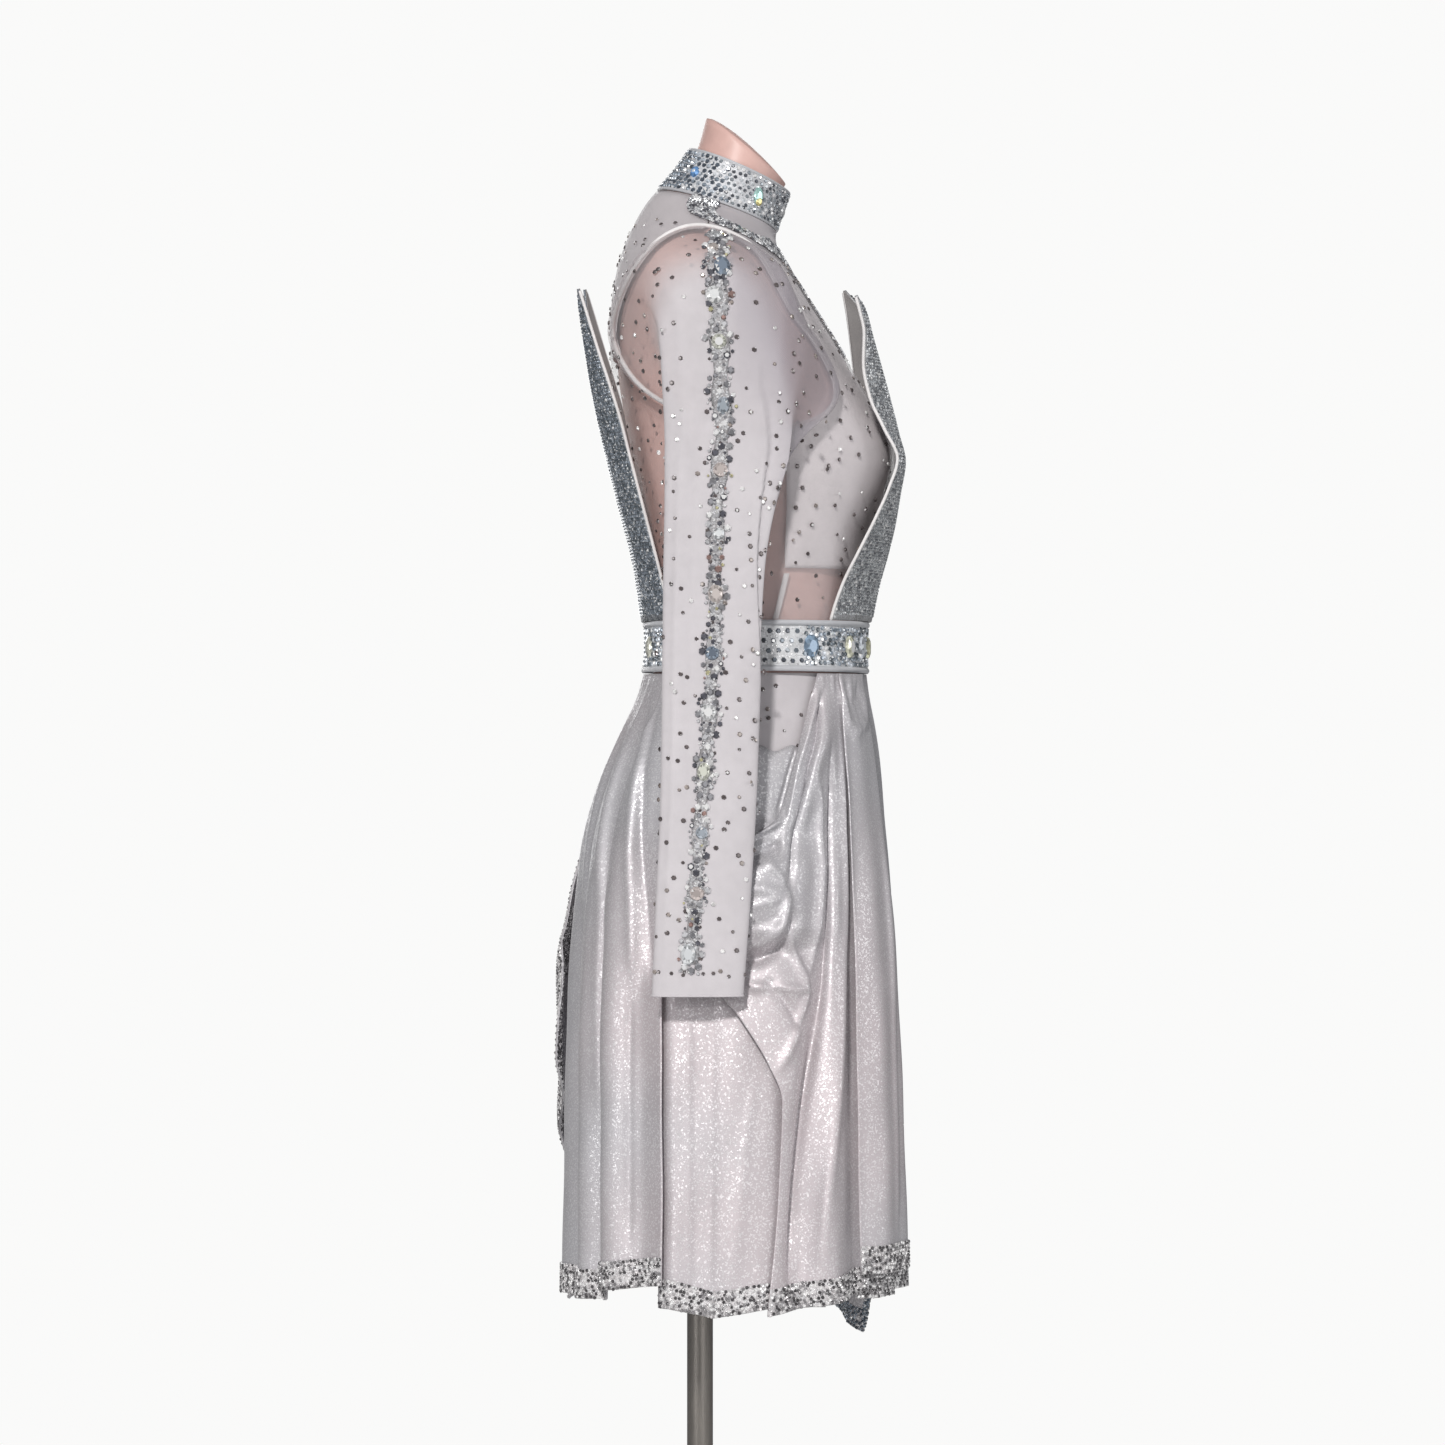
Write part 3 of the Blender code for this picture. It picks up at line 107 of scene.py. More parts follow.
# Level sections of the form. Tilt is the rise of a section per metre towards the back.
BODY_ROWS = [
    BodyRow(0.762, -0.085, 0.010, 0.050, 2.0, 0.0),
    BodyRow(0.768, -0.116, 0.036, 0.092, 2.0, 0.0),
    BodyRow(0.785, -0.136, 0.055, 0.122, 2.1, 0.0),
    BodyRow(0.815, -0.144, 0.070, 0.140, 2.2, 0.0),
    BodyRow(0.860, -0.147, 0.079, 0.150, 2.3, 0.0),
    BodyRow(0.905, -0.146, 0.077, 0.151, 2.3, 0.0),
    BodyRow(0.950, -0.142, 0.063, 0.144, 2.3, 0.0),
    BodyRow(1.000, -0.137, 0.046, 0.130, 2.2, 0.0),
    BodyRow(1.040, -0.135, 0.040, 0.122, 2.2, 0.0),
    BodyRow(1.080, -0.138, 0.042, 0.124, 2.2, 0.0),
    BodyRow(1.120, -0.142, 0.047, 0.130, 2.2, 0.0),
    BodyRow(1.160, -0.147, 0.053, 0.137, 2.2, 0.0),
    BodyRow(1.200, -0.149, 0.060, 0.142, 2.2, 0.0),
    BodyRow(1.240, -0.142, 0.067, 0.146, 2.2, 0.0),
    BodyRow(1.275, -0.125, 0.072, 0.152, 2.2, 0.0),
    BodyRow(1.310, -0.104, 0.073, 0.160, 2.2, 0.0),
    BodyRow(1.338, -0.086, 0.071, 0.163, 2.2, 0.0),
    BodyRow(1.360, -0.074, 0.066, 0.155, 2.2, 0.05),
    BodyRow(1.376, -0.067, 0.059, 0.132, 2.2, 0.12),
    BodyRow(1.390, -0.063, 0.051, 0.103, 2.1, 0.20),
    BodyRow(1.402, -0.061, 0.042, 0.077, 2.0, 0.28),
    BodyRow(1.412, -0.062, 0.032, 0.060, 2.0, 0.34),
    BodyRow(1.428, -0.067, 0.018, 0.053, 2.0, 0.38),
    BodyRow(1.446, -0.073, 0.005, 0.049, 2.0, 0.45),
    BodyRow(1.462, -0.075, -0.003, 0.046, 2.0, 0.78),
]

ArmholeRow = namedtuple("ArmholeRow", "turn y z")

# The bound edge of the armhole seen from the side. Turn 0 is the front, 90 the top, 180 the back.
ARMHOLE_ROWS = [
    ArmholeRow(0, -0.085, 1.293),
    ArmholeRow(14, -0.070, 1.311),
    ArmholeRow(30, -0.056, 1.336),
    ArmholeRow(48, -0.041, 1.3605),
    ArmholeRow(68, -0.020, 1.3735),
    ArmholeRow(90, 0.003, 1.3780),
    ArmholeRow(115, 0.025, 1.3695),
    ArmholeRow(140, 0.046, 1.348),
    ArmholeRow(160, 0.060, 1.322),
    ArmholeRow(180, 0.063, 1.297),
    ArmholeRow(200, 0.048, 1.266),
    ArmholeRow(222, 0.022, 1.243),
    ArmholeRow(248, -0.018, 1.226),
    ArmholeRow(280, -0.064, 1.223),
    ArmholeRow(312, -0.095, 1.234),
    ArmholeRow(336, -0.103, 1.257),
    ArmholeRow(348, -0.096, 1.276),
]

LapelRow = namedtuple("LapelRow", "height inner_x inner_y outer_x outer_y")

# Edges of the near front lapel, from the waistband to its point. Inner is the centre front side.
FRONT_LAPEL_ROWS = [
    LapelRow(1.0619, 0.013, -0.1437, 0.100, -0.1080),
    LapelRow(1.094, 0.019, -0.1505, 0.105, -0.1200),
    LapelRow(1.118, 0.025, -0.1573, 0.108, -0.1320),
    LapelRow(1.146, 0.032, -0.1635, 0.110, -0.1460),
    LapelRow(1.171, 0.039, -0.1662, 0.110, -0.1570),
    LapelRow(1.195, 0.046, -0.1685, 0.109, -0.1640),
    LapelRow(1.220, 0.055, -0.1650, 0.109, -0.1530),
    LapelRow(1.247, 0.065, -0.1580, 0.110, -0.1410),
    LapelRow(1.274, 0.077, -0.1500, 0.112, -0.1360),
    LapelRow(1.298, 0.089, -0.1427, 0.112, -0.1365),
    LapelRow(1.317, 0.101, -0.1370, 0.111, -0.1330),
    LapelRow(1.330, 0.1080, -0.1300, 0.1095, -0.1295),
]

# The far front lapel stands wider and straighter near its point
FAR_FRONT_LAPEL_ROWS = FRONT_LAPEL_ROWS[:5] + [
    LapelRow(1.195, 0.046, -0.1685, 0.109, -0.1600),
    LapelRow(1.220, 0.055, -0.1650, 0.109, -0.1470),
    LapelRow(1.247, 0.065, -0.1580, 0.110, -0.1370),
    LapelRow(1.274, 0.077, -0.1510, 0.112, -0.1335),
    LapelRow(1.298, 0.089, -0.1460, 0.112, -0.1305),
    LapelRow(1.312, 0.100, -0.1405, 0.1115, -0.1285),
    LapelRow(1.330, 0.1085, -0.1260, 0.1095, -0.1252),
]

# Edges of the near back lapel. Inner is the centre back side.
BACK_LAPEL_ROWS = [
    LapelRow(1.0619, 0.013, 0.0480, 0.085, 0.0240),
    LapelRow(1.085, 0.017, 0.0510, 0.090, 0.0290),
    LapelRow(1.113, 0.022, 0.0557, 0.093, 0.0360),
    LapelRow(1.155, 0.031, 0.0665, 0.094, 0.0470),
    LapelRow(1.197, 0.041, 0.0768, 0.093, 0.0580),
    LapelRow(1.228, 0.050, 0.0840, 0.092, 0.0660),
    LapelRow(1.260, 0.060, 0.0903, 0.092, 0.0760),
    LapelRow(1.287, 0.071, 0.0945, 0.092, 0.0850),
    LapelRow(1.316, 0.083, 0.0985, 0.092, 0.0940),
    LapelRow(1.337, 0.0895, 0.1010, 0.0915, 0.1005),
]

SleeveRow = namedtuple("SleeveRow", "height centre_x front back half_depth")

# Level sections of the hanging sleeve, flattened and empty. Half depth is across the body.
SLEEVE_ROWS = [
    SleeveRow(1.330, 0.168, -0.100, 0.036, 0.013),
    SleeveRow(1.250, 0.170, -0.096, 0.030, 0.012),
    SleeveRow(1.205, 0.172, -0.084, 0.028, 0.011),
    SleeveRow(1.165, 0.175, -0.067, 0.028, 0.010),
    SleeveRow(1.100, 0.181, -0.055, 0.029, 0.010),
    SleeveRow(1.000, 0.190, -0.050, 0.030, 0.010),
    SleeveRow(0.920, 0.1965, -0.047, 0.031, 0.010),
    SleeveRow(0.850, 0.200, -0.043, 0.034, 0.010),
    SleeveRow(0.756, 0.202, -0.036, 0.038, 0.010),
]

SkirtRow = namedtuple("SkirtRow", "height front back half_width")

# Level sections of the skirt without its folds
SKIRT_ROWS = [
    SkirtRow(1.0180, -0.1402, 0.0472, 0.1300),
    SkirtRow(1.000, -0.1425, 0.0520, 0.1355),
    SkirtRow(0.970, -0.1475, 0.0640, 0.1450),
    SkirtRow(0.930, -0.1515, 0.0810, 0.1540),
    SkirtRow(0.895, -0.1540, 0.0915, 0.1590),
    SkirtRow(0.868, -0.1560, 0.0970, 0.1630),
    SkirtRow(0.809, -0.1590, 0.1025, 0.1710),
    SkirtRow(0.741, -0.1605, 0.1055, 0.1790),
    SkirtRow(0.680, -0.1625, 0.1060, 0.1850),
    SkirtRow(0.613, -0.1642, 0.1060, 0.1900),
    SkirtRow(0.528, -0.1665, 0.1070, 0.1950),
    SkirtRow(0.440, -0.1690, 0.1100, 0.1990),
]

FoldRow = namedtuple("FoldRow", "waist_angle hem_angle rise half_angle top")

# Folds of the skirt, ridges up and troughs down. Each fades in below its top.
FOLD_ROWS = [
    FoldRow(5, 3, 0.007, 6.0, 1.00),
    FoldRow(16, 16, -0.006, 5.0, 1.00),
    FoldRow(27, 27, 0.006, 5.0, 1.00),
    FoldRow(37, 38, 0.007, 5.5, 1.01),
    FoldRow(49, 48, -0.006, 4.5, 1.00),
    FoldRow(56, 60, 0.009, 6.5, 1.00),
    FoldRow(58, 70, -0.009, 5.0, 0.97),
    FoldRow(74, 81, 0.002, 5.0, 0.80),
    FoldRow(90, 91, 0.002, 6.0, 0.95),
    FoldRow(99, 100, -0.002, 6.0, 0.96),
    FoldRow(110, 109, 0.005, 4.5, 1.00),
    FoldRow(121, 121, -0.006, 5.5, 1.00),
    FoldRow(134, 134, 0.008, 6.0, 1.00),
    FoldRow(144, 142, -0.007, 4.5, 1.00),
    FoldRow(154, 151, 0.009, 6.0, 1.00),
    FoldRow(166, 165, -0.008, 5.5, 1.00),
    FoldRow(177, 178, 0.009, 6.5, 1.00),
    FoldRow(-171, -169, -0.008, 5.5, 1.00),
    FoldRow(-159, -157, 0.009, 6.0, 1.00),
    FoldRow(-147, -145, -0.008, 5.5, 1.00),
    FoldRow(-135, -133, 0.007, 6.0, 1.00),
    FoldRow(-122, -122, -0.006, 5.5, 1.00),
    FoldRow(-110, -110, 0.006, 5.0, 1.00),
    FoldRow(-99, -99, -0.005, 5.0, 0.96),
    FoldRow(-88, -89, 0.005, 5.0, 0.95),
    FoldRow(-60, -71, -0.009, 5.0, 0.97),
    FoldRow(-56, -60, 0.009, 6.5, 1.00),
    FoldRow(-46, -49, -0.006, 4.5, 1.00),
    FoldRow(-36, -37, 0.008, 5.5, 1.01),
    FoldRow(-25, -26, -0.005, 5.0, 1.00),
    FoldRow(-12, -11, 0.005, 5.0, 1.00),
]
SKIRT_SQUARENESS = 2.2

DrapeRow = namedtuple("DrapeRow", "height edge_angle")

# The free edge of the hip drape, down from the gathers at the waistband to the hem
DRAPE_EDGE_ROWS = [
    DrapeRow(1.0180, 60.0),
    DrapeRow(1.000, 63.0),
    DrapeRow(0.975, 67.5),
    DrapeRow(0.948, 71.0),
    DrapeRow(0.925, 73.5),
    DrapeRow(0.900, 77.0),
    DrapeRow(0.880, 88.0),
    DrapeRow(0.855, 97.0),
    DrapeRow(0.820, 101.0),
    DrapeRow(0.780, 98.0),
    DrapeRow(0.738, 88.5),
    DrapeRow(0.700, 80.5),
    DrapeRow(0.670, 76.5),
    DrapeRow(0.600, 77.5),
    DrapeRow(0.500, 81.5),
]

# The pouch that the drape makes on the hip, and the fold down to it
POUCH_ANGLE = 82.0
POUCH_SPREAD = 17.0
POUCH_TOP = 0.892
POUCH_LIP = 0.800
POUCH_RISE = 17 * MM
SWAG_RISE = 7 * MM

PanelRow = namedtuple(
    "PanelRow", "name layer start_angle end_angle top hem_at_start hem_at_end dip dip_angle"
)

# Skirt panels. The layer counts outwards, and the dip is how far a corner hangs below the hem.
PANEL_ROWS = [
    PanelRow("skirt_front", 0, -30, 45, WAISTBAND_BOTTOM, 0.497, 0.505, 0.0, 0),
    PanelRow("skirt_front_overlap", 2.3, 26, 47.5, WAISTBAND_BOTTOM, 0.526, 0.526, 0.0, 0),
    PanelRow("skirt_side_right", 0, 62, 114.5, 0.956, 0.503, 0.502, 0.007, 96),
    PanelRow("skirt_back_right", 1, 112, 140, WAISTBAND_BOTTOM, 0.521, 0.511, 0.0, 0),
    PanelRow("skirt_back", 0, 136, 205, WAISTBAND_BOTTOM, 0.504, 0.489, 0.0, 0),
    PanelRow("skirt_back_left", 1, 202, 248, WAISTBAND_BOTTOM, 0.477, 0.505, 0.0, 0),
    PanelRow("skirt_side_left", 0, -114.5, -62, 0.956, 0.502, 0.498, 0.007, -96),
    PanelRow("skirt_left_front", 2.6, -64, -26, WAISTBAND_BOTTOM, 0.505, 0.495, 0.045, -38),
]

# Large oval stones on the waistband and the collar: their angles round the body
WAISTBAND_STONE_ANGLES = [8, 23, 37, 64, 160, -160, -64, -37, -23, -8]
COLLAR_STONE_ANGLES = [14, 58, 128, -128, -58, -14]

# The chain of stones down each sleeve
CHAIN_STONES = 14
CHAIN_HALF_WIDTH = 9.5 * MM

YokeRow = namedtuple("YokeRow", "angle height half_width")

# The line of stones from the collar over the shoulder to the centre front
YOKE_LINE_ROWS = [
    YokeRow(100, 1.4105, 11.5 * MM),
    YokeRow(100, 1.4060, 12.5 * MM),
    YokeRow(99, 1.4010, 12.5 * MM),
    YokeRow(95, 1.3960, 11.5 * MM),
    YokeRow(87, 1.3925, 9.5 * MM),
    YokeRow(77, 1.3895, 9.0 * MM),
    YokeRow(64, 1.3860, 9.2 * MM),
    YokeRow(45, 1.3795, 9.6 * MM),
    YokeRow(22.3, 1.3750, 9.4 * MM),
    YokeRow(6, 1.3700, 9.0 * MM),
]
CENTRE_LINE_TOP = 1368 * MM
CENTRE_LINE_BOTTOM = 1285 * MM
CENTRE_LINE_HALF_WIDTH = 10 * MM

# The neck cap's rings: share of its edge, and how far they rise
CAP_RINGS = [(0.93, 2.0 * MM), (0.70, 6.0 * MM), (0.35, 9.0 * MM)]

CascadeRow = namedtuple("CascadeRow", "height angle swing")

# The free edge of the left back cascade, and how far it swings out from the skirt
CASCADE_ROWS = [
    CascadeRow(1.0170, -153, 0.000),
    CascadeRow(0.900, -155, 0.000),
    CascadeRow(0.830, -160, 0.000),
    CascadeRow(0.770, -167, 0.003),
    CascadeRow(0.720, -171, 0.006),
    CascadeRow(0.690, -171.5, 0.0065),
    CascadeRow(0.655, -167, 0.003),
    CascadeRow(0.615, -157, 0.000),
    CascadeRow(0.560, -150, 0.000),
]
CASCADE_LAYER = 2.7


def node_radius(node):
    """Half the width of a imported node."""
    low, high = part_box(node)
    return (high[0] - low[0]) / 2


def size_setting(name, description, default):
    return FloatProperty(name=name, description=description, default=default, min=0.0, unit="LENGTH",
                         precision=4)


def colour_setting(name, description, default):
    return FloatVectorProperty(name=name, description=description, default=default, size=3, min=0.0,
                               max=1.0, subtype="COLOR")


class DressSizes(bpy.types.PropertyGroup):
    """Sizes that a maker of the dress would change."""

    base_radius: size_setting("Base radius", "Radius of the round base plate", node_radius("stand_base"))
    pole_radius: size_setting("Pole radius", "Radius of the steel pole", node_radius("stand_pole"))
    satin_wall: size_setting("Satin thickness", "Thickness of the skirt's satin", 1.0 * MM)
    lapel_wall: size_setting("Lapel thickness", "Thickness of the stiffened lapels", 1.8 * MM)
    hem_stone: size_setting("Hem stone", "Width of the stones on the hem bands", 3.2 * MM)
    lapel_stone: size_setting("Lapel stone", "Width of the stones that cover the lapels", 3.0 * MM)
    waistband_stone: size_setting("Waistband stone", "Width of the stones on the waistband", 5.4 * MM)
    collar_stone: size_setting("Collar stone", "Width of the stones on the collar", 4.4 * MM)
    scattered_stone: size_setting("Scattered stone", "Width of the single stones on the mesh", 4.2 * MM)
    scattered_spacing: size_setting("Stone spacing", "Distance between the single stones", 21 * MM)
    chain_stone: size_setting("Chain stone", "Width of the large stones down each sleeve", 14 * MM)
    crease_depth: FloatProperty(
        name="Crease depth", description="Depth of the skirt's creases against the usual one", default=1.0,
        min=0.0, max=2.0, subtype="FACTOR",
    )


class DressColours(bpy.types.PropertyGroup):
    """Colours of the cloths, the stones and the form."""

    satin: colour_setting("Satin", "Silver satin of the skirt", (0.47, 0.465, 0.49))
    satin_warm: colour_setting("Warm satin", "Rosier places in the satin", (0.54, 0.485, 0.505))
    stretch_mesh: colour_setting("Mesh", "Stretch mesh of the bodice and the sleeves", (0.59, 0.562, 0.585))
    lining: colour_setting("Lining", "Pale lining of the bodice", (0.86, 0.81, 0.82))
    tape: colour_setting("Tape", "Pale tape and piping", (0.82, 0.80, 0.80))
    border: colour_setting("Border", "Plain satin borders of the waistband", (0.52, 0.53, 0.56))
    form: colour_setting("Form", "Lacquered cover of the dress form", (0.66, 0.43, 0.385))
    steel: colour_setting("Steel", "Brushed steel of the stand", (0.42, 0.39, 0.36))
    floor: colour_setting("Floor", "Plain studio floor", (0.86, 0.86, 0.85))


def smooth_curve(places, values):
    """A function that passes smoothly through a short table and never overshoots it."""
    places = np.asarray(places, float)
    values = np.asarray(values, float)
    order = np.argsort(places)
    places, values = places[order], values[order]
    steps = np.diff(places)
    slopes = np.diff(values) / steps
    tangents = np.zeros(len(places))
    tangents[0], tangents[-1] = slopes[0], slopes[-1]
    for i in range(1, len(places) - 1):
        before, after = slopes[i - 1], slopes[i]
        if before * after > 0:
            weight_before = 2 * steps[i] + steps[i - 1]
            weight_after = steps[i] + 2 * steps[i - 1]
            tangents[i] = (weight_before + weight_after) / (weight_before / before + weight_after / after)

    return lambda place: curve_value(places, values, tangents, np.clip(place, places[0], places[-1]))


def curve_value(places, values, tangents, place):
    """The value of a cubic curve through a table of values and their slopes."""
    index = np.clip(np.searchsorted(places, place, side="right") - 1, 0, len(places) - 2)
    width = places[index + 1] - places[index]
    t = (place - places[index]) / width
    rest = 1 - t
    return (
        (1 + 2 * t) * rest**2 * values[index]
        + t * rest**2 * width * tangents[index]
        + t**2 * (3 - 2 * t) * values[index + 1]
        - t**2 * rest * width * tangents[index + 1]
    )


def loop_curve(turns, values):
    """A smooth function of a turn in degrees that closes on itself."""
    places = np.array([turns[-1] - 360, *turns, turns[0] + 360], float)
    values = np.array([values[-1], *values, values[0]], float)
    slopes = np.diff(values) / np.diff(places)
    tangents = np.zeros(len(places))
    tangents[1:-1] = (slopes[:-1] + slopes[1:]) / 2
    tangents[0], tangents[-1] = tangents[-2], tangents[1]
    return lambda turn: curve_value(places, values, tangents, np.mod(turn - places[1], 360) + places[1])


def curves_of(rows):
    """One smooth curve for each column of a table, against its first column."""
    fields = rows[0]._fields
    heights = [row[0] for row in rows]
    return {field: smooth_curve(heights, [getattr(row, field) for row in rows]) for field in fields[1:]}


def smooth_step(low, high, value):
    """A smooth rise from 0 at low to 1 at high, or a fall where low is the higher one."""
    t = np.clip((np.asarray(value, float) - low) / (high - low), 0, 1)
    return t * t * (3 - 2 * t)


def wrapped(angle):
    """The same angle between -180 and 180 degrees."""
    return (np.asarray(angle, float) + 180) % 360 - 180


BODY = curves_of(BODY_ROWS)
SLEEVE = curves_of(SLEEVE_ROWS)
SKIRT = curves_of(SKIRT_ROWS)
DRAPE_EDGE = curves_of(DRAPE_EDGE_ROWS)["edge_angle"]
ARMHOLE_TURNS, ARMHOLE_YS, ARMHOLE_ZS = zip(*ARMHOLE_ROWS)
ARMHOLE_Y = loop_curve(ARMHOLE_TURNS, ARMHOLE_YS)
ARMHOLE_Z = loop_curve(ARMHOLE_TURNS, ARMHOLE_ZS)


def body_points(angle, height):
    """Points of the figure at these angles in degrees and heights at the side."""
    angle = np.radians(np.asarray(angle, float))
    height = np.asarray(height, float)
    front, back = BODY["front"](height), BODY["back"](height)
    power = 2 / BODY["squareness"](height)
    middle, depth = (front + back) / 2, (back - front) / 2
    across, along = np.sin(angle), np.cos(angle)
    x = -BODY["half_width"](height) * np.sign(across) * np.abs(across) ** power
    y = middle - depth * np.sign(along) * np.abs(along) ** power
    z = height + BODY["tilt"](height) * (y - middle)
    bust = np.exp(-(((np.abs(x) - BUST_X) / BUST_SPREAD) ** 2) - ((z - BUST_Z) / BUST_SPREAD) ** 2)
    y = y - BUST_RISE * bust * smooth_step(0, 0.5, along)
    return np.stack([x, y, z], axis=-1)


def unit(vectors):
    return vectors / np.maximum(np.linalg.norm(vectors, axis=-1, keepdims=True), 1e-12)


def body_normals(angle, height):
    angle = np.asarray(angle, float)
    height = np.asarray(height, float)
    small_angle, small_height = 0.2, 0.4 * MM
    round_it = body_points(angle + small_angle, height) - body_points(angle - small_angle, height)
    up_it = body_points(angle, height + small_height) - body_points(angle, height - small_height)
    return unit(np.cross(up_it, round_it))


def on_body(angle, height, offset):
    angle, height = np.broadcast_arrays(np.asarray(angle, float), np.asarray(height, float))
    return body_points(angle, height) + body_normals(angle, height) * np.asarray(offset, float)[..., None]


def grid_normals(points, ring=False):
    """Normals of a grid of points, rows down and columns round."""
    down = np.gradient(points, axis=0)
    if ring:
        along = np.roll(points, -1, axis=1) - np.roll(points, 1, axis=1)
    else:
        along = np.gradient(points, axis=1)
    return unit(np.cross(along, down))


def place_on_body(y, z):
    """The angle and height of the figure's surface at a point seen from its side."""
    height = z
    for _ in range(8):
        middle = (BODY["front"](height) + BODY["back"](height)) / 2
        height = z - BODY["tilt"](height) * (y - middle)
    depth = (BODY["back"](height) - BODY["front"](height)) / 2
    share = np.clip((middle - y) / depth, -1, 1)
    along = np.sign(share) * np.abs(share) ** (BODY["squareness"](height) / 2)
    return np.degrees(np.arccos(along)), height


def armhole_place(turn, widen=0.0):
    """Side angle and height on the body at a turn round the armhole."""
    turn = np.asarray(turn, float)
    y = ARMHOLE_Y(turn) - widen * np.cos(np.radians(turn))
    z = ARMHOLE_Z(turn) + widen * np.sin(np.radians(turn))
    return place_on_body(y, z)


def push_clear(points, clearance):
    """Points moved level, away from the figure's middle, until they are clear of it."""
    x, y, z = points[..., 0], points[..., 1], points[..., 2]
    needed = np.zeros(x.shape)
    radius = np.ones(x.shape)
    for drop in (0, 5 * MM):
        front, back = BODY["front"](z - drop), BODY["back"](z - drop)
        power = BODY["squareness"](z - drop)
        middle, depth = (front + back) / 2, (back - front) / 2
        share = (np.abs(x) / BODY["half_width"](z - drop)) ** power + (np.abs(y - middle) / depth) ** power
        radius = np.hypot(x, y - middle)
        needed = np.maximum(needed, radius / share ** (1 / power) + clearance)
    soft = 3 * MM
    pushed = (radius + needed + np.sqrt((radius - needed) ** 2 + soft**2)) / 2
    middle = (BODY["front"](z) + BODY["back"](z)) / 2
    scale = pushed / radius
    return np.stack([x * scale, middle + (y - middle) * scale, z], axis=-1)


# The lowest turn of the armhole's edge
ARMHOLE_FOOT = 270.0


def armhole_top():
    """The turn at which the bodice's armhole reaches highest on the body."""
    turns = np.linspace(60, 120, 121)
    return float(turns[np.argmax(armhole_place(turns, ARMHOLE_SEAM)[1])])


def edge_angles(heights, front):
    """How far a front or back panel of the bodice reaches round at each height."""
    turns = np.linspace(-88, armhole_top(), 90) if front else np.linspace(armhole_top(), 272, 90)
    angles, places = armhole_place(turns, ARMHOLE_SEAM)
    order = np.argsort(places)
    seam = np.full(len(heights), 90.0)
    inside = (heights > places.min()) & (heights < places.max())
    seam[inside] = np.interp(heights[inside], places[order], angles[order])
    above = heights >= places.max()
    seam[above] = angles[order][-1]
    half_seam = 0.35
    return seam - half_seam if front else seam + half_seam


def bodice_heights():
    """Rows of the bodice from the collar down: close together at the armhole's ends."""
    _, high = armhole_place(armhole_top(), ARMHOLE_SEAM)
    _, low = armhole_place(ARMHOLE_FOOT, ARMHOLE_SEAM)
    over = np.linspace(COLLAR_BOTTOM - 0.8 * MM, high + 4 * MM, 8)
    turn = np.linspace(0, math.pi, 44)
    beside = (high + low) / 2 + (high - low) / 2 * 0.998 * np.cos(turn)
    under = np.linspace(low - 4 * MM, WAISTBAND_TOP + SEAM_GAP, 44)
    return np.concatenate([over, beside, under])


def bodice_grid(front, columns):
    """Angles and heights of the bodice's front or back, rows down from the collar."""
    heights = bodice_heights()
    edges = edge_angles(heights, front)
    across = np.linspace(-1, 1, columns)
    if front:
        angles = edges[:, None] * across[None, :]
    else:
        angles = 180 + (180 - edges[:, None]) * across[None, :]
    return angles, np.repeat(heights[:, None], columns, axis=1)


def rows_between(angles, heights, low, high):
    keep = (heights[:, 0] >= low - 1e-6) & (heights[:, 0] <= high + 1e-6)
    return angles[keep], heights[keep]


# The share of the sleeve's length in which its cap bends down into the hanging tube
CAP_SHARE = 0.34
QUARTERS = [0, 90, 180, 270, 360]


def sleeve_points(turn, share, side):
    """Points of the sleeve. Turn 0 is the front fold and 90 the outside. Share runs from armhole to cuff."""
    turn, share = np.broadcast_arrays(np.asarray(turn, float), np.asarray(share, float))
    ring_turn = np.interp(turn, QUARTERS, [-15, 80, 150, 270, 345])
    angles, heights = armhole_place(ring_turn, SLEEVE_LAP)
    start = on_body(angles, heights, SLEEVE_EDGE_OFFSET)
    away = unit(body_normals(angles, heights) * [1, 1, 0] + [0, 0, -0.25])
    join = np.interp(turn, [0, 60, 120, 180, 250, 300, 360],
                     [1.165, 1.235, 1.270, 1.290, 1.175, 1.165, 1.165])
    below = (SLEEVE_ROWS[-1].height - join) * (share - CAP_SHARE) / (1 - CAP_SHARE)
    height = np.where(share < CAP_SHARE, join, join + below)
    tube_point = sleeve_section(turn, height)
    reach = np.interp(turn, QUARTERS, [0.030, 0.058, 0.026, 0.012, 0.030])[..., None]
    drop = np.interp(turn, QUARTERS, [0.045, 0.110, 0.040, 0.030, 0.045])[..., None]
    leave = start + away * reach
    arrive = tube_point + np.array([0, 0, 1]) * drop
    t = np.clip(share / CAP_SHARE, 0, 1)[..., None]
    rest = 1 - t
    cap = rest**3 * start + 3 * rest**2 * t * leave + 3 * rest * t**2 * arrive + t**3 * tube_point
    points = np.where(share[..., None] < CAP_SHARE, cap, tube_point)
    mirror = np.array([-1, 1, 1])
    clear = push_clear(points * mirror, BODY_CLEARANCE) * mirror
    points = points + (clear - points) * smooth_step(0, 0.05, share)[..., None]
    return points * [side, 1, 1]


def sleeve_section(turn, height):
    """A level section of the hanging sleeve: a flat oval, blunt at its folds."""
    turn = np.radians(turn)
    front, back = SLEEVE["front"](height), SLEEVE["back"](height)
    middle, width = (front + back) / 2, (back - front) / 2
    across = np.sign(np.sin(turn)) * np.abs(np.sin(turn)) ** 0.8
    x = -SLEEVE["centre_x"](height) - SLEEVE["half_depth"](height) * across
    return np.stack([x, middle - width * np.cos(turn), height], axis=-1)


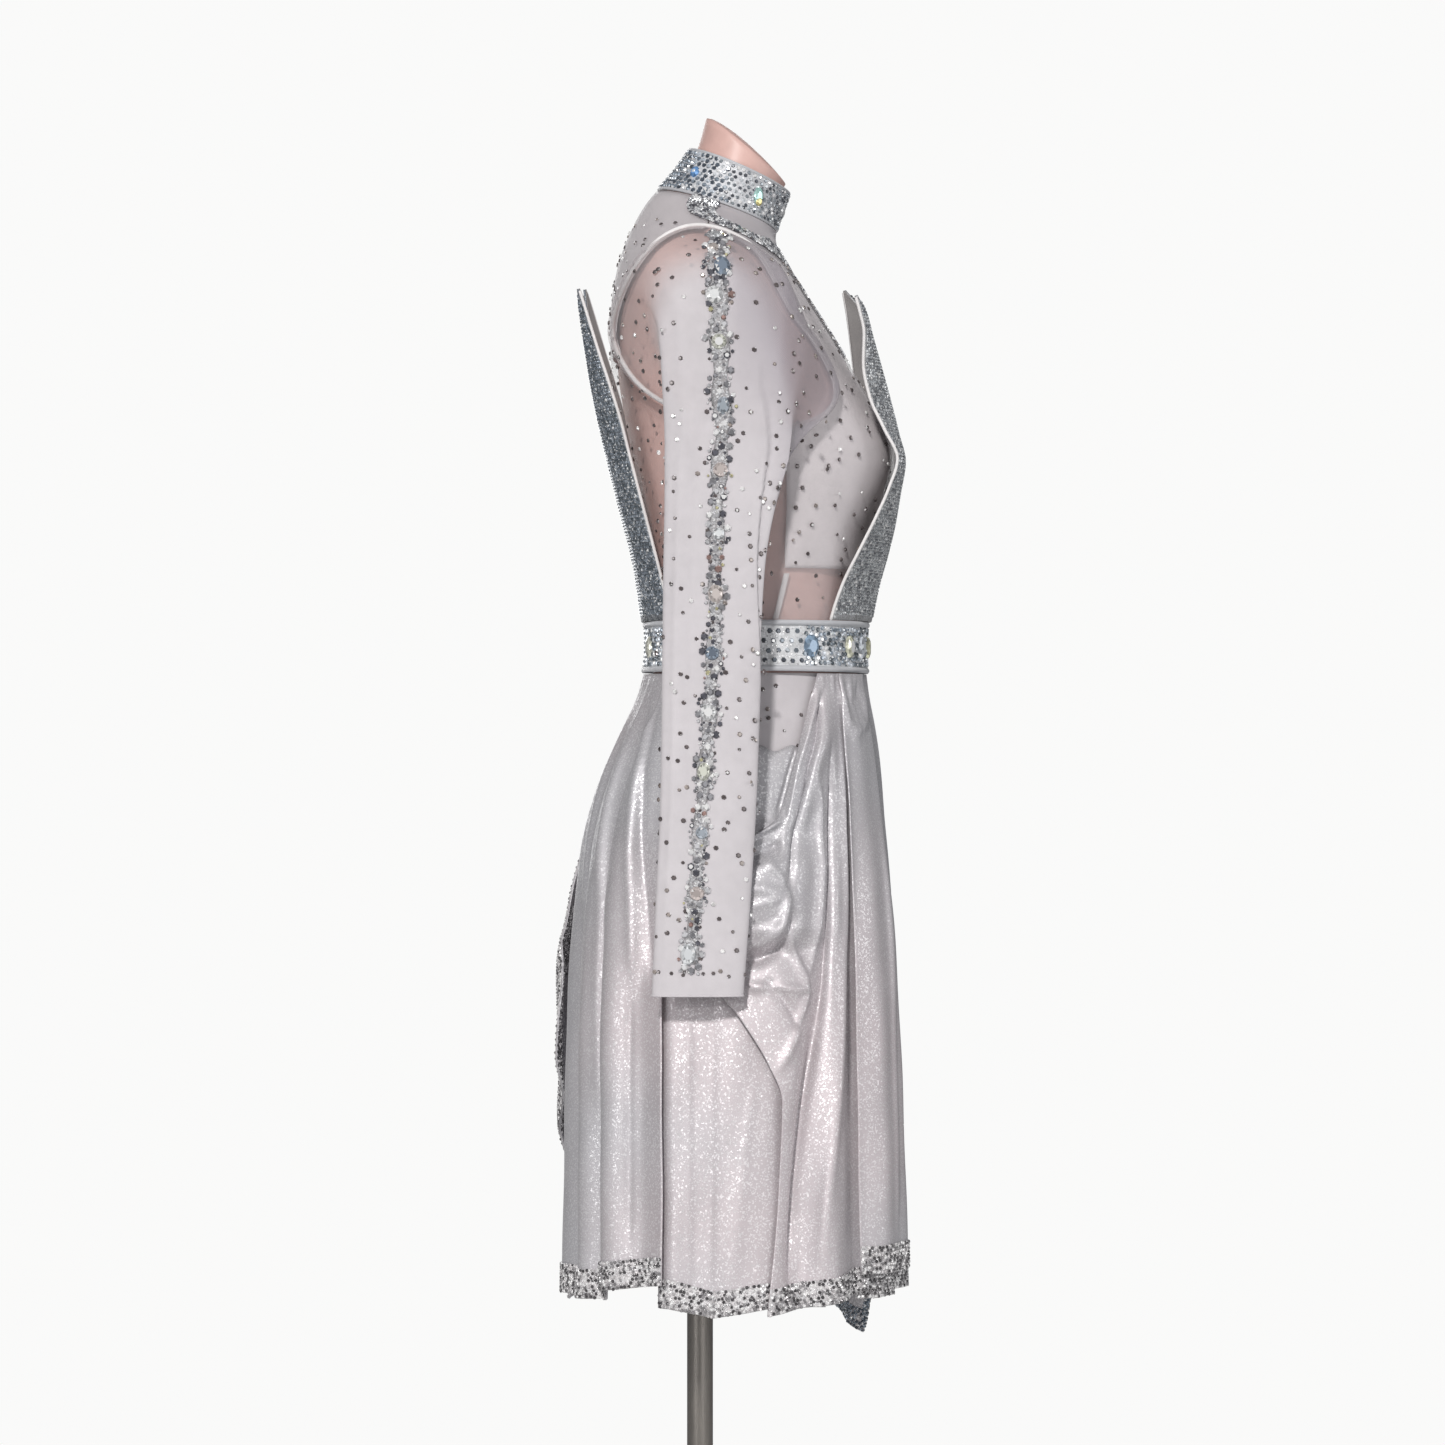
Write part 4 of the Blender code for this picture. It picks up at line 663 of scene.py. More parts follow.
def lapel_points(table, heights, across, front):
    """A stiff lapel between its two edges, with a slight crown across."""
    inner = np.stack([table["inner_x"](heights), table["inner_y"](heights), heights], axis=-1)
    outer = np.stack([table["outer_x"](heights), table["outer_y"](heights), heights], axis=-1)
    across = across[None, :, None]
    points = inner[:, None] * (1 - across) + outer[:, None] * across
    crown = LAPEL_BULGE * 4 * across[..., 0] * (1 - across[..., 0])
    narrow = np.linalg.norm(outer - inner, axis=1) / (80 * MM)
    points[..., 1] += (-1 if front else 1) * crown * narrow[:, None]
    return points


def fold_rise(angle, height):
    """How far the skirt's folds stand out or in, from gathers at the waist to wide folds at the hem."""
    angle = wrapped(angle)
    down = smooth_step(1.0, 0.5, height)
    total = np.zeros(np.broadcast(angle, height).shape)
    for fold in FOLD_ROWS:
        middle = fold.waist_angle + (fold.hem_angle - fold.waist_angle) * down
        away = wrapped(angle - middle)
        slowly = smooth_step(fold.top + 0.01, fold.top - 0.42, height)
        at_once = smooth_step(fold.top + 0.01, fold.top - 0.06, height)
        grown = slowly * 0.75 + 0.25 * at_once
        total = total + fold.rise * grown * np.exp(-((away / fold.half_angle) ** 2))
    return total


def drape_rise(angle, height):
    """The hip drape: a pouch that hangs over its lip, and swags that rise from it to the waistband."""
    side = np.abs(wrapped(angle))
    across = np.exp(-(((side - POUCH_ANGLE) / POUCH_SPREAD) ** 2))
    under_top = smooth_step(POUCH_TOP, POUCH_TOP - 0.035, height)
    over_lip = smooth_step(POUCH_LIP - 0.012, POUCH_LIP + 0.012, height)
    pouch = POUCH_RISE * across * under_top * over_lip
    run = np.clip((1.0 - height) / 0.13, 0, 1)
    swag_middle = 55 + 19 * run
    swag = SWAG_RISE * np.exp(-(((side - swag_middle) / 5.0) ** 2)) * smooth_step(1.0, 0.95, height)
    swag = swag * smooth_step(0.855, 0.90, height)
    below = 0.006 * np.exp(-(((side - 74) / 12.0) ** 2)) * smooth_step(0.80, 0.76, height)
    below = below * smooth_step(0.56, 0.70, height)
    return pouch + swag + below


def layer_lift(layer, height):
    """Clearance between the skirt's layers: close at the waistband, looser at the hem."""
    return layer * (2.0 * MM + 4.4 * MM * smooth_step(1.0, 0.72, height))


def skirt_points(angle, height, layer, draped=False):
    angle, height = np.broadcast_arrays(np.asarray(angle, float), np.asarray(height, float))
    front, back = SKIRT["front"](height), SKIRT["back"](height)
    middle, depth = (front + back) / 2, (back - front) / 2
    half_width = SKIRT["half_width"](height)
    out = fold_rise(angle, height) + layer_lift(layer, height)
    if draped:
        out = out + drape_rise(angle, height)
    across, along = np.sin(np.radians(angle)), np.cos(np.radians(angle))
    power = 2 / SKIRT_SQUARENESS
    x = -(half_width + out) * np.sign(across) * np.abs(across) ** power
    y = middle - (depth + out) * np.sign(along) * np.abs(along) ** power
    return np.stack([x, y, height], axis=-1)


# Kinds of sockets in the node groups
FLOAT = "NodeSocketFloat"
VECTOR = "NodeSocketVector"
COLOUR = "NodeSocketColor"


def start_group(name, inputs, outputs):
    """A new node group with its sockets, and the outputs of its input node.

    A socket is given by its name and kind, and an input also by its default and its limits.
    """
    group = bpy.data.node_groups.new(name, "ShaderNodeTree")
    for label, kind, *values in inputs:
        socket = group.interface.new_socket(name=label, in_out="INPUT", socket_type=kind)
        for field, value in zip(("default_value", "min_value", "max_value"), values):
            setattr(socket, field, value)
    for label, kind in outputs:
        group.interface.new_socket(name=label, in_out="OUTPUT", socket_type=kind)
    return group, put_node(group, "NodeGroupInput").outputs


def put_node(tree, kind, inputs=None, **settings):
    """A node with its settings. Inputs are by name or number, each a value or another node's output."""
    node = tree.nodes.new(kind)
    for key, value in settings.items():
        setattr(node, key, value)
    for key, value in (inputs or {}).items():
        socket = node.inputs[key]
        if isinstance(value, bpy.types.NodeSocket):
            tree.links.new(value, socket)
        else:
            socket.default_value = value
    return node


def sum_node(tree, operation, first, second=0.0, third=None):
    """The output of one Math node."""
    inputs = {0: first, 1: second}
    if third is not None:
        inputs[2] = third
    return put_node(tree, "ShaderNodeMath", inputs, operation=operation).outputs[0]


def vector_node(tree, operation, first, second=(0, 0, 0)):
    """The output of one Vector Math node."""
    return put_node(tree, "ShaderNodeVectorMath", {0: first, 1: second}, operation=operation).outputs[0]


def noise_node(tree, place, scale, detail):
    inputs = {"Vector": place, "Scale": scale, "Detail": detail}
    return put_node(tree, "ShaderNodeTexNoise", inputs).outputs["Fac"]


def step_node(tree, value, low, high):
    """A smooth step from 0 at low to 1 at high."""
    return put_node(tree, "ShaderNodeMapRange", {"Value": value, "From Min": low, "From Max": high},
                    interpolation_type="SMOOTHSTEP", clamp=True).outputs["Result"]


def mix_colours(tree, share, first, second):
    return put_node(tree, "ShaderNodeMix", {0: share, 6: first, 7: second}, data_type="RGBA").outputs[2]


def woven_threads():
    """Group: the height of a plain weave, over and under."""
    group = bpy.data.node_groups.get("woven threads")
    if group:
        return group
    group, given = start_group("woven threads", [("Place", VECTOR), ("Thread", FLOAT, 0.0006, 0.00005)],
                               [("Height", FLOAT)])
    apart = put_node(group, "ShaderNodeSeparateXYZ", {0: given["Place"]}).outputs
    turn = sum_node(group, "DIVIDE", math.pi, given["Thread"])
    waves = [sum_node(group, "SINE", sum_node(group, "MULTIPLY", apart[axis], turn)) for axis in "XY"]
    height = sum_node(group, "MULTIPLY_ADD", sum_node(group, "MULTIPLY", *waves), 0.5, 0.5)
    put_node(group, "NodeGroupOutput", {"Height": height})
    return group


# The height in the net at which its cover is just as given. Threads above it cover more.
EVEN_THREAD = 0.58


def knitted_net():
    """Group: a fine knitted net, with the cover of its threads and their height."""
    group = bpy.data.node_groups.get("knitted net")
    if group:
        return group
    group, given = start_group(
        "knitted net",
        [("Place", VECTOR), ("Hole", FLOAT, 0.0009, 0.0001), ("Cover", FLOAT, 0.7, 0.0, 1.0)],
        [("Alpha", FLOAT), ("Height", FLOAT)],
    )
    apart = put_node(group, "ShaderNodeSeparateXYZ", {0: given["Place"]}).outputs
    turn = sum_node(group, "DIVIDE", math.pi, given["Hole"])
    waves = []
    for lean in ("ADD", "SUBTRACT"):
        way = sum_node(group, lean, apart["X"], apart["Y"])
        wave = sum_node(group, "SINE", sum_node(group, "MULTIPLY", way, turn))
        waves.append(sum_node(group, "ABSOLUTE", wave))
    thread = sum_node(group, "SUBTRACT", 1.0, sum_node(group, "MINIMUM", *waves))
    spread = sum_node(group, "SUBTRACT", 1.0, given["Cover"])
    uneven = sum_node(group, "SUBTRACT", thread, EVEN_THREAD)
    alpha = sum_node(group, "MULTIPLY_ADD", uneven, spread, given["Cover"])
    put_node(group, "NodeGroupOutput", {"Alpha": alpha, "Height": thread})
    return group


def cloth_shade():
    """Group: a slow change of colour over cloth, with small creases in its height."""
    group = bpy.data.node_groups.get("cloth shade")
    if group:
        return group
    group, given = start_group(
        "cloth shade",
        [("Place", VECTOR), ("Colour", COLOUR, (0.5, 0.5, 0.5, 1)),
         ("Other colour", COLOUR, (0.6, 0.5, 0.5, 1)), ("Patch", FLOAT, 0.12, 0.001),
         ("Rough", FLOAT, 0.5, 0.0, 1.0)],
        [("Colour", COLOUR), ("Roughness", FLOAT), ("Height", FLOAT)],
    )
    often = sum_node(group, "DIVIDE", 1.0, given["Patch"])
    slow = noise_node(group, given["Place"], often, 2.0)
    quick = noise_node(group, given["Place"], sum_node(group, "MULTIPLY", often, 9.0), 3.0)
    share = step_node(group, slow, 0.35, 0.68)
    colour = mix_colours(group, share, given["Colour"], given["Other colour"])
    fleck = sum_node(group, "MULTIPLY_ADD", quick, 0.16, 0.92)
    shaded = vector_node(group, "MULTIPLY", colour, fleck)
    uneven = sum_node(group, "MULTIPLY_ADD", quick, 0.16, -0.08)
    rough = sum_node(group, "ADD", given["Rough"], uneven)
    height = sum_node(group, "MULTIPLY_ADD", slow, 0.7, sum_node(group, "MULTIPLY", quick, 0.3))
    put_node(group, "NodeGroupOutput", {"Colour": shaded, "Roughness": rough, "Height": height})
    return group


def fine_glitter():
    """Group: points of glitter, each tilted its own way."""
    group = bpy.data.node_groups.get("fine glitter")
    if group:
        return group
    group, given = start_group(
        "fine glitter",
        [("Place", VECTOR), ("Grain", FLOAT, 0.001, 0.0001), ("Share", FLOAT, 0.2, 0.0, 1.0),
         ("Tilt", FLOAT, 0.4, 0.0, 2.0)],
        [("Glint", FLOAT), ("Normal", VECTOR)],
    )
    often = sum_node(group, "DIVIDE", 1.0, given["Grain"])
    cells = put_node(group, "ShaderNodeTexVoronoi", {"Vector": given["Place"], "Scale": often})
    grain = cells.outputs["Color"]
    apart = put_node(group, "ShaderNodeSeparateColor", {0: grain}).outputs
    limit = sum_node(group, "SUBTRACT", 1.0, given["Share"])
    glint = sum_node(group, "GREATER_THAN", apart["Red"], limit)
    centred = vector_node(group, "SUBTRACT", grain, (0.5, 0.5, 0.5))
    amount = sum_node(group, "MULTIPLY", glint, given["Tilt"])
    lean = put_node(group, "ShaderNodeVectorMath", {0: centred, "Scale": amount}, operation="SCALE")
    surface = put_node(group, "ShaderNodeNewGeometry").outputs["Normal"]
    normal = vector_node(group, "NORMALIZE", vector_node(group, "ADD", surface, lean.outputs[0]))
    put_node(group, "NodeGroupOutput", {"Glint": glint, "Normal": normal})
    return group


def use_group(tree, group, **inputs):
    """The outputs of a group placed in a material. Underscores stand for spaces in its sockets' names."""
    inputs = {key.replace("_", " "): value for key, value in inputs.items()}
    return put_node(tree, "ShaderNodeGroup", inputs, node_tree=group).outputs


def opaque(colour, factor=1.0, more=0.0):
    """A colour with its alpha, made lighter or darker."""
    return (*(min(1.0, value * factor + more) for value in colour), 1.0)


def start_material(name, **values):
    """A new material and its shader, with the values that are the same all over."""
    material = bpy.data.materials.new(name)
    material.use_nodes = True
    tree = material.node_tree
    shader = tree.nodes["Principled BSDF"]
    for key, value in values.items():
        shader.inputs[key.replace("_", " ")].default_value = value
    return material, tree, shader


def join_shader(tree, shader, colour, roughness, relief):
    """Links what varies over a material to its shader."""
    for name, output in (("Base Color", colour), ("Roughness", roughness), ("Normal", relief)):
        tree.links.new(output, shader.inputs[name])


def solid_place(tree):
    """The place on the object, in metres."""
    return put_node(tree, "ShaderNodeTexCoord").outputs["Object"]


def thread_place(tree):
    """The cloth's own place along its threads, in metres."""
    return put_node(tree, "ShaderNodeUVMap", uv_map="threads").outputs["UV"]


def bump_node(tree, height, strength, distance, normal=None):
    inputs = {"Height": height, "Strength": strength, "Distance": distance}
    if normal is not None:
        inputs["Normal"] = normal
    return put_node(tree, "ShaderNodeBump", inputs).outputs["Normal"]


def satin_material(colours):
    """Silver satin: woven, softly shining, with a fine glitter and rosier places."""
    name = "silver satin"
    if name in bpy.data.materials:
        return bpy.data.materials[name]
    material, tree, shader = start_material(name, Metallic=0.34, Sheen_Weight=0.12, Sheen_Roughness=0.4,
                                            Specular_IOR_Level=0.5)
    solid = solid_place(tree)
    shade = use_group(tree, cloth_shade(), Place=solid, Colour=opaque(colours.satin),
                      Other_colour=opaque(colours.satin_warm), Patch=0.34, Rough=0.54)
    glitter = use_group(tree, fine_glitter(), Place=solid, Grain=0.0011, Share=0.26, Tilt=0.22)
    weave = use_group(tree, woven_threads(), Place=thread_place(tree), Thread=0.00035)
    # The glitter's grains are mixed towards white: partly their own lighter colour, partly a painted glint
    bright = mix_colours(tree, sum_node(tree, "MULTIPLY", glitter["Glint"], 0.32), shade["Colour"],
                         (0.95, 0.95, 0.96, 1))
    rough = sum_node(tree, "MULTIPLY_ADD", glitter["Glint"], -0.20, shade["Roughness"])
    relief = bump_node(tree, weave["Height"], 0.10, 0.0002, glitter["Normal"])
    relief = bump_node(tree, shade["Height"], 0.05, 0.004, relief)
    join_shader(tree, shader, bright, rough, relief)
    return material


# Painted shade: the mesh is painted this much greyer over the front of the shoulder and the upper chest
PAINTED_SHADE_TONE = (0.66, 0.64, 0.68)


def mesh_material(name, colours, cover=None):
    """Sheer stretch mesh. Cover is how much of it is thread. Without one it is painted on the piece, together
    with a painted shade.
    """
    if name in bpy.data.materials:
        return bpy.data.materials[name]
    material, tree, shader = start_material(name, Sheen_Weight=0.20, Sheen_Roughness=0.5,
                                            Specular_IOR_Level=0.35)
    shade = use_group(tree, cloth_shade(), Place=solid_place(tree), Colour=opaque(colours.stretch_mesh),
                      Other_colour=opaque(colours.stretch_mesh, 1.04), Patch=0.10, Rough=0.58)
    colour = shade["Colour"]
    if cover is None:
        paint = put_node(tree, "ShaderNodeVertexColor", layer_name="cover").outputs["Color"]
        parts = put_node(tree, "ShaderNodeSeparateColor", {"Color": paint}).outputs
        cover = parts["Red"]
        # Painted shade: the mesh is greyed by the share painted in the green of its cover
        shaded_tone = [value * share for value, share in zip(colours.stretch_mesh, PAINTED_SHADE_TONE)]
        colour = mix_colours(tree, parts["Green"], colour, opaque(shaded_tone))
    net = use_group(tree, knitted_net(), Place=thread_place(tree), Hole=0.0011, Cover=cover)
    tree.links.new(net["Alpha"], shader.inputs["Alpha"])
    relief = bump_node(tree, net["Height"], 0.20, 0.0002)
    relief = bump_node(tree, shade["Height"], 0.12, 0.004, relief)
    join_shader(tree, shader, colour, shade["Roughness"], relief)
    return material


def plain_cloth_material(name, colour, thread, roughness, sheen=0.15):
    """A matt or satin cloth of one colour: lining, tape or border."""
    if name in bpy.data.materials:
        return bpy.data.materials[name]
    material, tree, shader = start_material(name, Sheen_Weight=sheen, Specular_IOR_Level=0.4)
    shade = use_group(tree, cloth_shade(), Place=solid_place(tree), Colour=opaque(colour),
                      Other_colour=opaque(colour, 0.9), Patch=0.05, Rough=roughness)
    weave = use_group(tree, woven_threads(), Place=thread_place(tree), Thread=thread)
    relief = bump_node(tree, weave["Height"], 0.30, 0.0003)
    relief = bump_node(tree, shade["Height"], 0.15, 0.002, relief)
    join_shader(tree, shader, shade["Colour"], shade["Roughness"], relief)
    return material


def lining_material(colours):
    return plain_cloth_material("pale lining", colours.lining, 0.0007, 0.70)


def tape_material(colours):
    return plain_cloth_material("pale tape", colours.tape, 0.0005, 0.55)


def border_material(colours):
    return plain_cloth_material("border satin", colours.border, 0.0004, 0.38, 0.3)


def backing_material(name, colour):
    """Cloth between the set stones, with its own glitter."""
    if name in bpy.data.materials:
        return bpy.data.materials[name]
    material, tree, shader = start_material(name, Metallic=0.2, Specular_IOR_Level=0.6)
    solid = solid_place(tree)
    shade = use_group(tree, cloth_shade(), Place=solid, Colour=opaque(colour),
                      Other_colour=opaque(colour, 0.7), Patch=0.02, Rough=0.45)
    glitter = use_group(tree, fine_glitter(), Place=solid, Grain=0.0013, Share=0.4, Tilt=0.8)
    weave = use_group(tree, woven_threads(), Place=thread_place(tree), Thread=0.0006)
    # The glitter's grains are mixed towards white: partly their own lighter colour, partly a painted glint
    bright = mix_colours(tree, sum_node(tree, "MULTIPLY", glitter["Glint"], 0.4), shade["Colour"],
                         (0.85, 0.87, 0.90, 1))
    relief = bump_node(tree, weave["Height"], 0.3, 0.0003, glitter["Normal"])
    join_shader(tree, shader, bright, shade["Roughness"], relief)
    return material


def stone_material():
    """Cut stones: each facet's tone is its stone's own colour with painted reflections and painted glints on
    it.
    """
    name = "cut stones"
    if name in bpy.data.materials:
        return bpy.data.materials[name]
    material, tree, shader = start_material(name, Metallic=0.35, Specular_IOR_Level=0.8, Coat_Weight=0.6,
                                            Coat_Roughness=0.04)
    tone = put_node(tree, "ShaderNodeVertexColor", layer_name="facet").outputs["Color"]
    smear = noise_node(tree, solid_place(tree), 900.0, 1.0)
    rough = sum_node(tree, "MULTIPLY_ADD", smear, 0.14, 0.06)
    join_shader(tree, shader, tone, rough, bump_node(tree, smear, 0.05, 0.0002))
    return material


def form_material(colours):
    """Smooth lacquered cover, with a faint mottle and orange peel."""
    name = "pink lacquer"
    if name in bpy.data.materials:
        return bpy.data.materials[name]
    material, tree, shader = start_material(name, Coat_Weight=0.15, Coat_Roughness=0.38,
                                            Specular_IOR_Level=0.4)
    solid = solid_place(tree)
    shade = use_group(tree, cloth_shade(), Place=solid, Colour=opaque(colours.form),
                      Other_colour=opaque(colours.form, 1.06, 0.01), Patch=0.07, Rough=0.46)
    peel = noise_node(tree, solid, 420.0, 2.0)
    join_shader(tree, shader, shade["Colour"], shade["Roughness"], bump_node(tree, peel, 0.10, 0.0004))
    return material


def steel_material(name, colours, stretch):
    """Brushed steel. Stretch sets which way the brushing runs."""
    if name in bpy.data.materials:
        return bpy.data.materials[name]
    material, tree, shader = start_material(name, Metallic=1.0)
    solid = solid_place(tree)
    brushing = noise_node(tree, vector_node(tree, "MULTIPLY", solid, stretch), 60.0, 5.0)
    cloud = noise_node(tree, solid, 14.0, 2.0)
    colour = mix_colours(tree, brushing, opaque(colours.steel, 0.72), opaque(colours.steel))
    clouded = sum_node(tree, "MULTIPLY_ADD", cloud, 0.12, 0.16)
    rough = sum_node(tree, "MULTIPLY_ADD", brushing, 0.22, clouded)
    join_shader(tree, shader, colour, rough, bump_node(tree, brushing, 0.12, 0.0003))
    return material


def floor_material(colours):
    name = "studio floor"
    if name in bpy.data.materials:
        return bpy.data.materials[name]
    material, tree, shader = start_material(name, Specular_IOR_Level=0.2)
    shade = use_group(tree, cloth_shade(), Place=solid_place(tree), Colour=opaque(colours.floor),
                      Other_colour=opaque(colours.floor), Patch=0.5, Rough=0.8)
    tree.links.new(shade["Colour"], shader.inputs["Base Color"])
    tree.links.new(shade["Roughness"], shader.inputs["Roughness"])
    return material


def finish_mesh(name, mesh, materials, smooth=True):
    """An object for a finished mesh, linked to the scene, riding on the dress form."""
    for material in materials:
        mesh.materials.append(material)
    if smooth:
        mesh.shade_smooth()
    else:
        mesh.shade_flat()
    piece = bpy.data.objects.new(name, mesh)
    bpy.context.scene.collection.objects.link(piece)
    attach(piece, BODY_NAME)
    return piece


def grid_quads(rows, columns, ring=False, start=0):
    """Faces of a grid of points, rows down and columns round."""
    across = columns if ring else columns - 1
    row, column = np.meshgrid(np.arange(rows - 1), np.arange(across), indexing="ij")
    beside = (column + 1) % columns
    here, under = row * columns, (row + 1) * columns
    faces = np.stack([here + column, here + beside, under + beside, under + column], axis=-1)
    return faces.reshape(-1, 4) + start


def thread_places(points, ring=False):
    """Each point's place on the cloth in metres, along the weft and the warp, as the cloth lay flat."""
    if ring:
        points = np.concatenate([points, points[:, :1]], axis=1)
    along = np.linalg.norm(np.diff(points, axis=1), axis=2).cumsum(axis=1)
    along = np.concatenate([np.zeros((len(points), 1)), along], axis=1)
    along = along - along[:, [along.shape[1] // 2]]
    down = np.linalg.norm(np.diff(points, axis=0), axis=2).cumsum(axis=0)
    down = np.concatenate([np.zeros((1, points.shape[1])), down], axis=0)
    return np.stack([along, -down], axis=-1)


def grid_mesh(name, points, ring=False, threads=None):
    """A mesh through a grid of points, with the lie of its threads."""
    rows, columns = points.shape[:2]
    faces = grid_quads(rows, columns, ring)
    mesh = bpy.data.meshes.new(name)
    mesh.from_pydata(points.reshape(-1, 3).tolist(), [], faces.tolist())
    if threads is None:
        threads = thread_places(points, ring)
    across = columns if ring else columns - 1
    row, column = np.meshgrid(np.arange(rows - 1), np.arange(across), indexing="ij")
    corners = [(row, column), (row, column + 1), (row + 1, column + 1), (row + 1, column)]
    lie = np.stack([threads[place] for place in corners], axis=2).reshape(-1, 2)
    layer = mesh.uv_layers.new(name="threads")
    layer.data.foreach_set("uv", lie.ravel().astype(np.float32))
    return mesh


def cloth_piece(name, points, material, ring=False, wall=0.0, threads=None):
    """A sheet of cloth on a grid of points. A wall above nothing gives it that thickness."""
    piece = finish_mesh(name, grid_mesh(name, points, ring, threads), [material])
    if wall > 0:
        solidify = piece.modifiers.new("thickness", "SOLIDIFY")
        solidify.thickness = wall
        solidify.offset = 0
    return piece


def paint_cover(piece, cover, painted_shade):
    """Paints how closely a piece's net covers and how much painted shade it gets, from each point of its
    grid.
    """
    mesh = piece.data
    corners = np.empty(len(mesh.loops), np.int32)
    mesh.loops.foreach_get("vertex_index", corners)
    value = cover.ravel()[corners]
    paint = mesh.color_attributes.new("cover", "FLOAT_COLOR", "CORNER")
    colour = np.stack([value, painted_shade.ravel()[corners], 0 * value, np.ones_like(value)], axis=1)
    paint.data.foreach_set("color", colour.ravel().astype(np.float32))


def cord_piece(name, path, out, radius, material, cyclic=False, sides=10):
    """A piping, binding or rolled edge: a round tube along a path, closed to a point at its ends."""
    path, out = np.asarray(path, float), np.asarray(out, float)
    if cyclic:
        ahead = unit(np.roll(path, -1, axis=0) - np.roll(path, 1, axis=0))
    else:
        ahead = unit(np.gradient(path, axis=0))
    across = unit(np.cross(ahead, out))
    out = unit(np.cross(across, ahead))
    turn = np.linspace(0, 2 * math.pi, sides, endpoint=False)
    reach = np.full(len(path), radius)
    if cyclic:
        path, out, across, reach = (np.concatenate([part, part[:1]]) for part in (path, out, across, reach))
    else:
        tip, point = 0.6 * radius, [0.02 * radius]
        path = np.concatenate([[path[0] - ahead[0] * tip], path, [path[-1] + ahead[-1] * tip]])
        out, across = (np.concatenate([part[:1], part, part[-1:]]) for part in (out, across))
        reach = np.concatenate([point, reach, point])
    ring = (out[:, None] * np.cos(turn)[None, :, None] + across[:, None] * np.sin(turn)[None, :, None])
    points = path[:, None] + ring * reach[:, None, None]
    return finish_mesh(name, grid_mesh(name, points, ring=True), [material])


def turned_mesh(name, profile, steps=96):
    """A round mesh: a profile of (radius, height) turned about Z. The profile starts and ends on the axis."""
    turn = np.linspace(0, 2 * math.pi, steps, endpoint=False)
    inner = profile[1:-1]
    rings = np.array([[(radius * math.cos(t), radius * math.sin(t), height) for t in turn]
                      for radius, height in inner])
    faces = grid_quads(len(inner), steps, ring=True).tolist()
    points = rings.reshape(-1, 3).tolist()
    first, last = len(points), len(points) + 1
    points.append((0, 0, profile[0][1]))
    points.append((0, 0, profile[-1][1]))
    end = (len(inner) - 1) * steps
    for j in range(steps):
        k = (j + 1) % steps
        faces.append((first, k, j))
        faces.append((last, end + j, end + k))
    mesh = bpy.data.meshes.new(name)
    mesh.from_pydata(points, [], faces)
    return mesh


Spots = namedtuple("Spots", "centre out along")
Cut = namedtuple("Cut", "points faces")


def cut_of(sides, rings):
    """A flat-backed cut stone one unit in radius: rings of (radius, height), each turned half a step."""
    points, faces = [], []
    for number, (radius, height) in enumerate(rings):
        turn = (np.arange(sides) + 0.5 * (number % 2)) * 2 * math.pi / sides
        level = np.full(sides, height)
        points.append(np.stack([radius * np.cos(turn), radius * np.sin(turn), level], axis=1))
    for number in range(len(rings) - 1):
        low, high = number * sides, (number + 1) * sides
        for j in range(sides):
            k = (j + 1) % sides
            if number % 2 == 0:
                faces.append((low + j, low + k, high + j))
                faces.append((low + k, high + k, high + j))
            else:
                faces.append((low + j, low + k, high + k))
                faces.append((low + j, high + k, high + j))
    faces.append(tuple((len(rings) - 1) * sides + j for j in range(sides)))
    return Cut(np.concatenate(points), faces)


SMALL_CUT = cut_of(6, [(1.0, -0.05), (0.56, 0.50)])
LARGE_CUT = cut_of(12, [(1.0, -0.05), (0.84, 0.28), (0.50, 0.46)])

# The share of the facets painted white as glints
GLINT_SHARE = 0.05

# Shades of the stones, as (colour, share of the stones)
DARK_STONES = [((0.09, 0.11, 0.14), 0.44), ((0.22, 0.26, 0.31), 0.36), ((0.48, 0.53, 0.59), 0.15),
               ((0.90, 0.92, 0.95), 0.05)]
HEM_STONES = [((0.09, 0.085, 0.09), 0.30), ((0.30, 0.29, 0.30), 0.22), ((0.66, 0.64, 0.65), 0.24),
              ((0.98, 0.96, 0.97), 0.24)]
FRONT_LAPEL_STONES = [((0.20, 0.21, 0.23), 0.34), ((0.38, 0.40, 0.42), 0.40), ((0.58, 0.60, 0.62), 0.22),
                      ((0.90, 0.91, 0.92), 0.04)]
BACK_LAPEL_STONES = [((0.08, 0.10, 0.12), 0.36), ((0.18, 0.21, 0.25), 0.42), ((0.34, 0.38, 0.43), 0.19),
                     ((0.80, 0.83, 0.86), 0.03)]
# Single stones on the net: mostly dark, and the white share is painted highlight
NET_STONES = [((0.13, 0.11, 0.11), 0.66), ((0.33, 0.29, 0.27), 0.16), ((0.90, 0.89, 0.88), 0.18)]


def pick_shades(count, shades, random):
    """A colour for each stone, drawn from a table of shades."""
    share = np.array([row[1] for row in shades])
    chosen = random.choice(len(shades), count, p=share / share.sum())
    return np.array([row[0] for row in shades])[chosen]


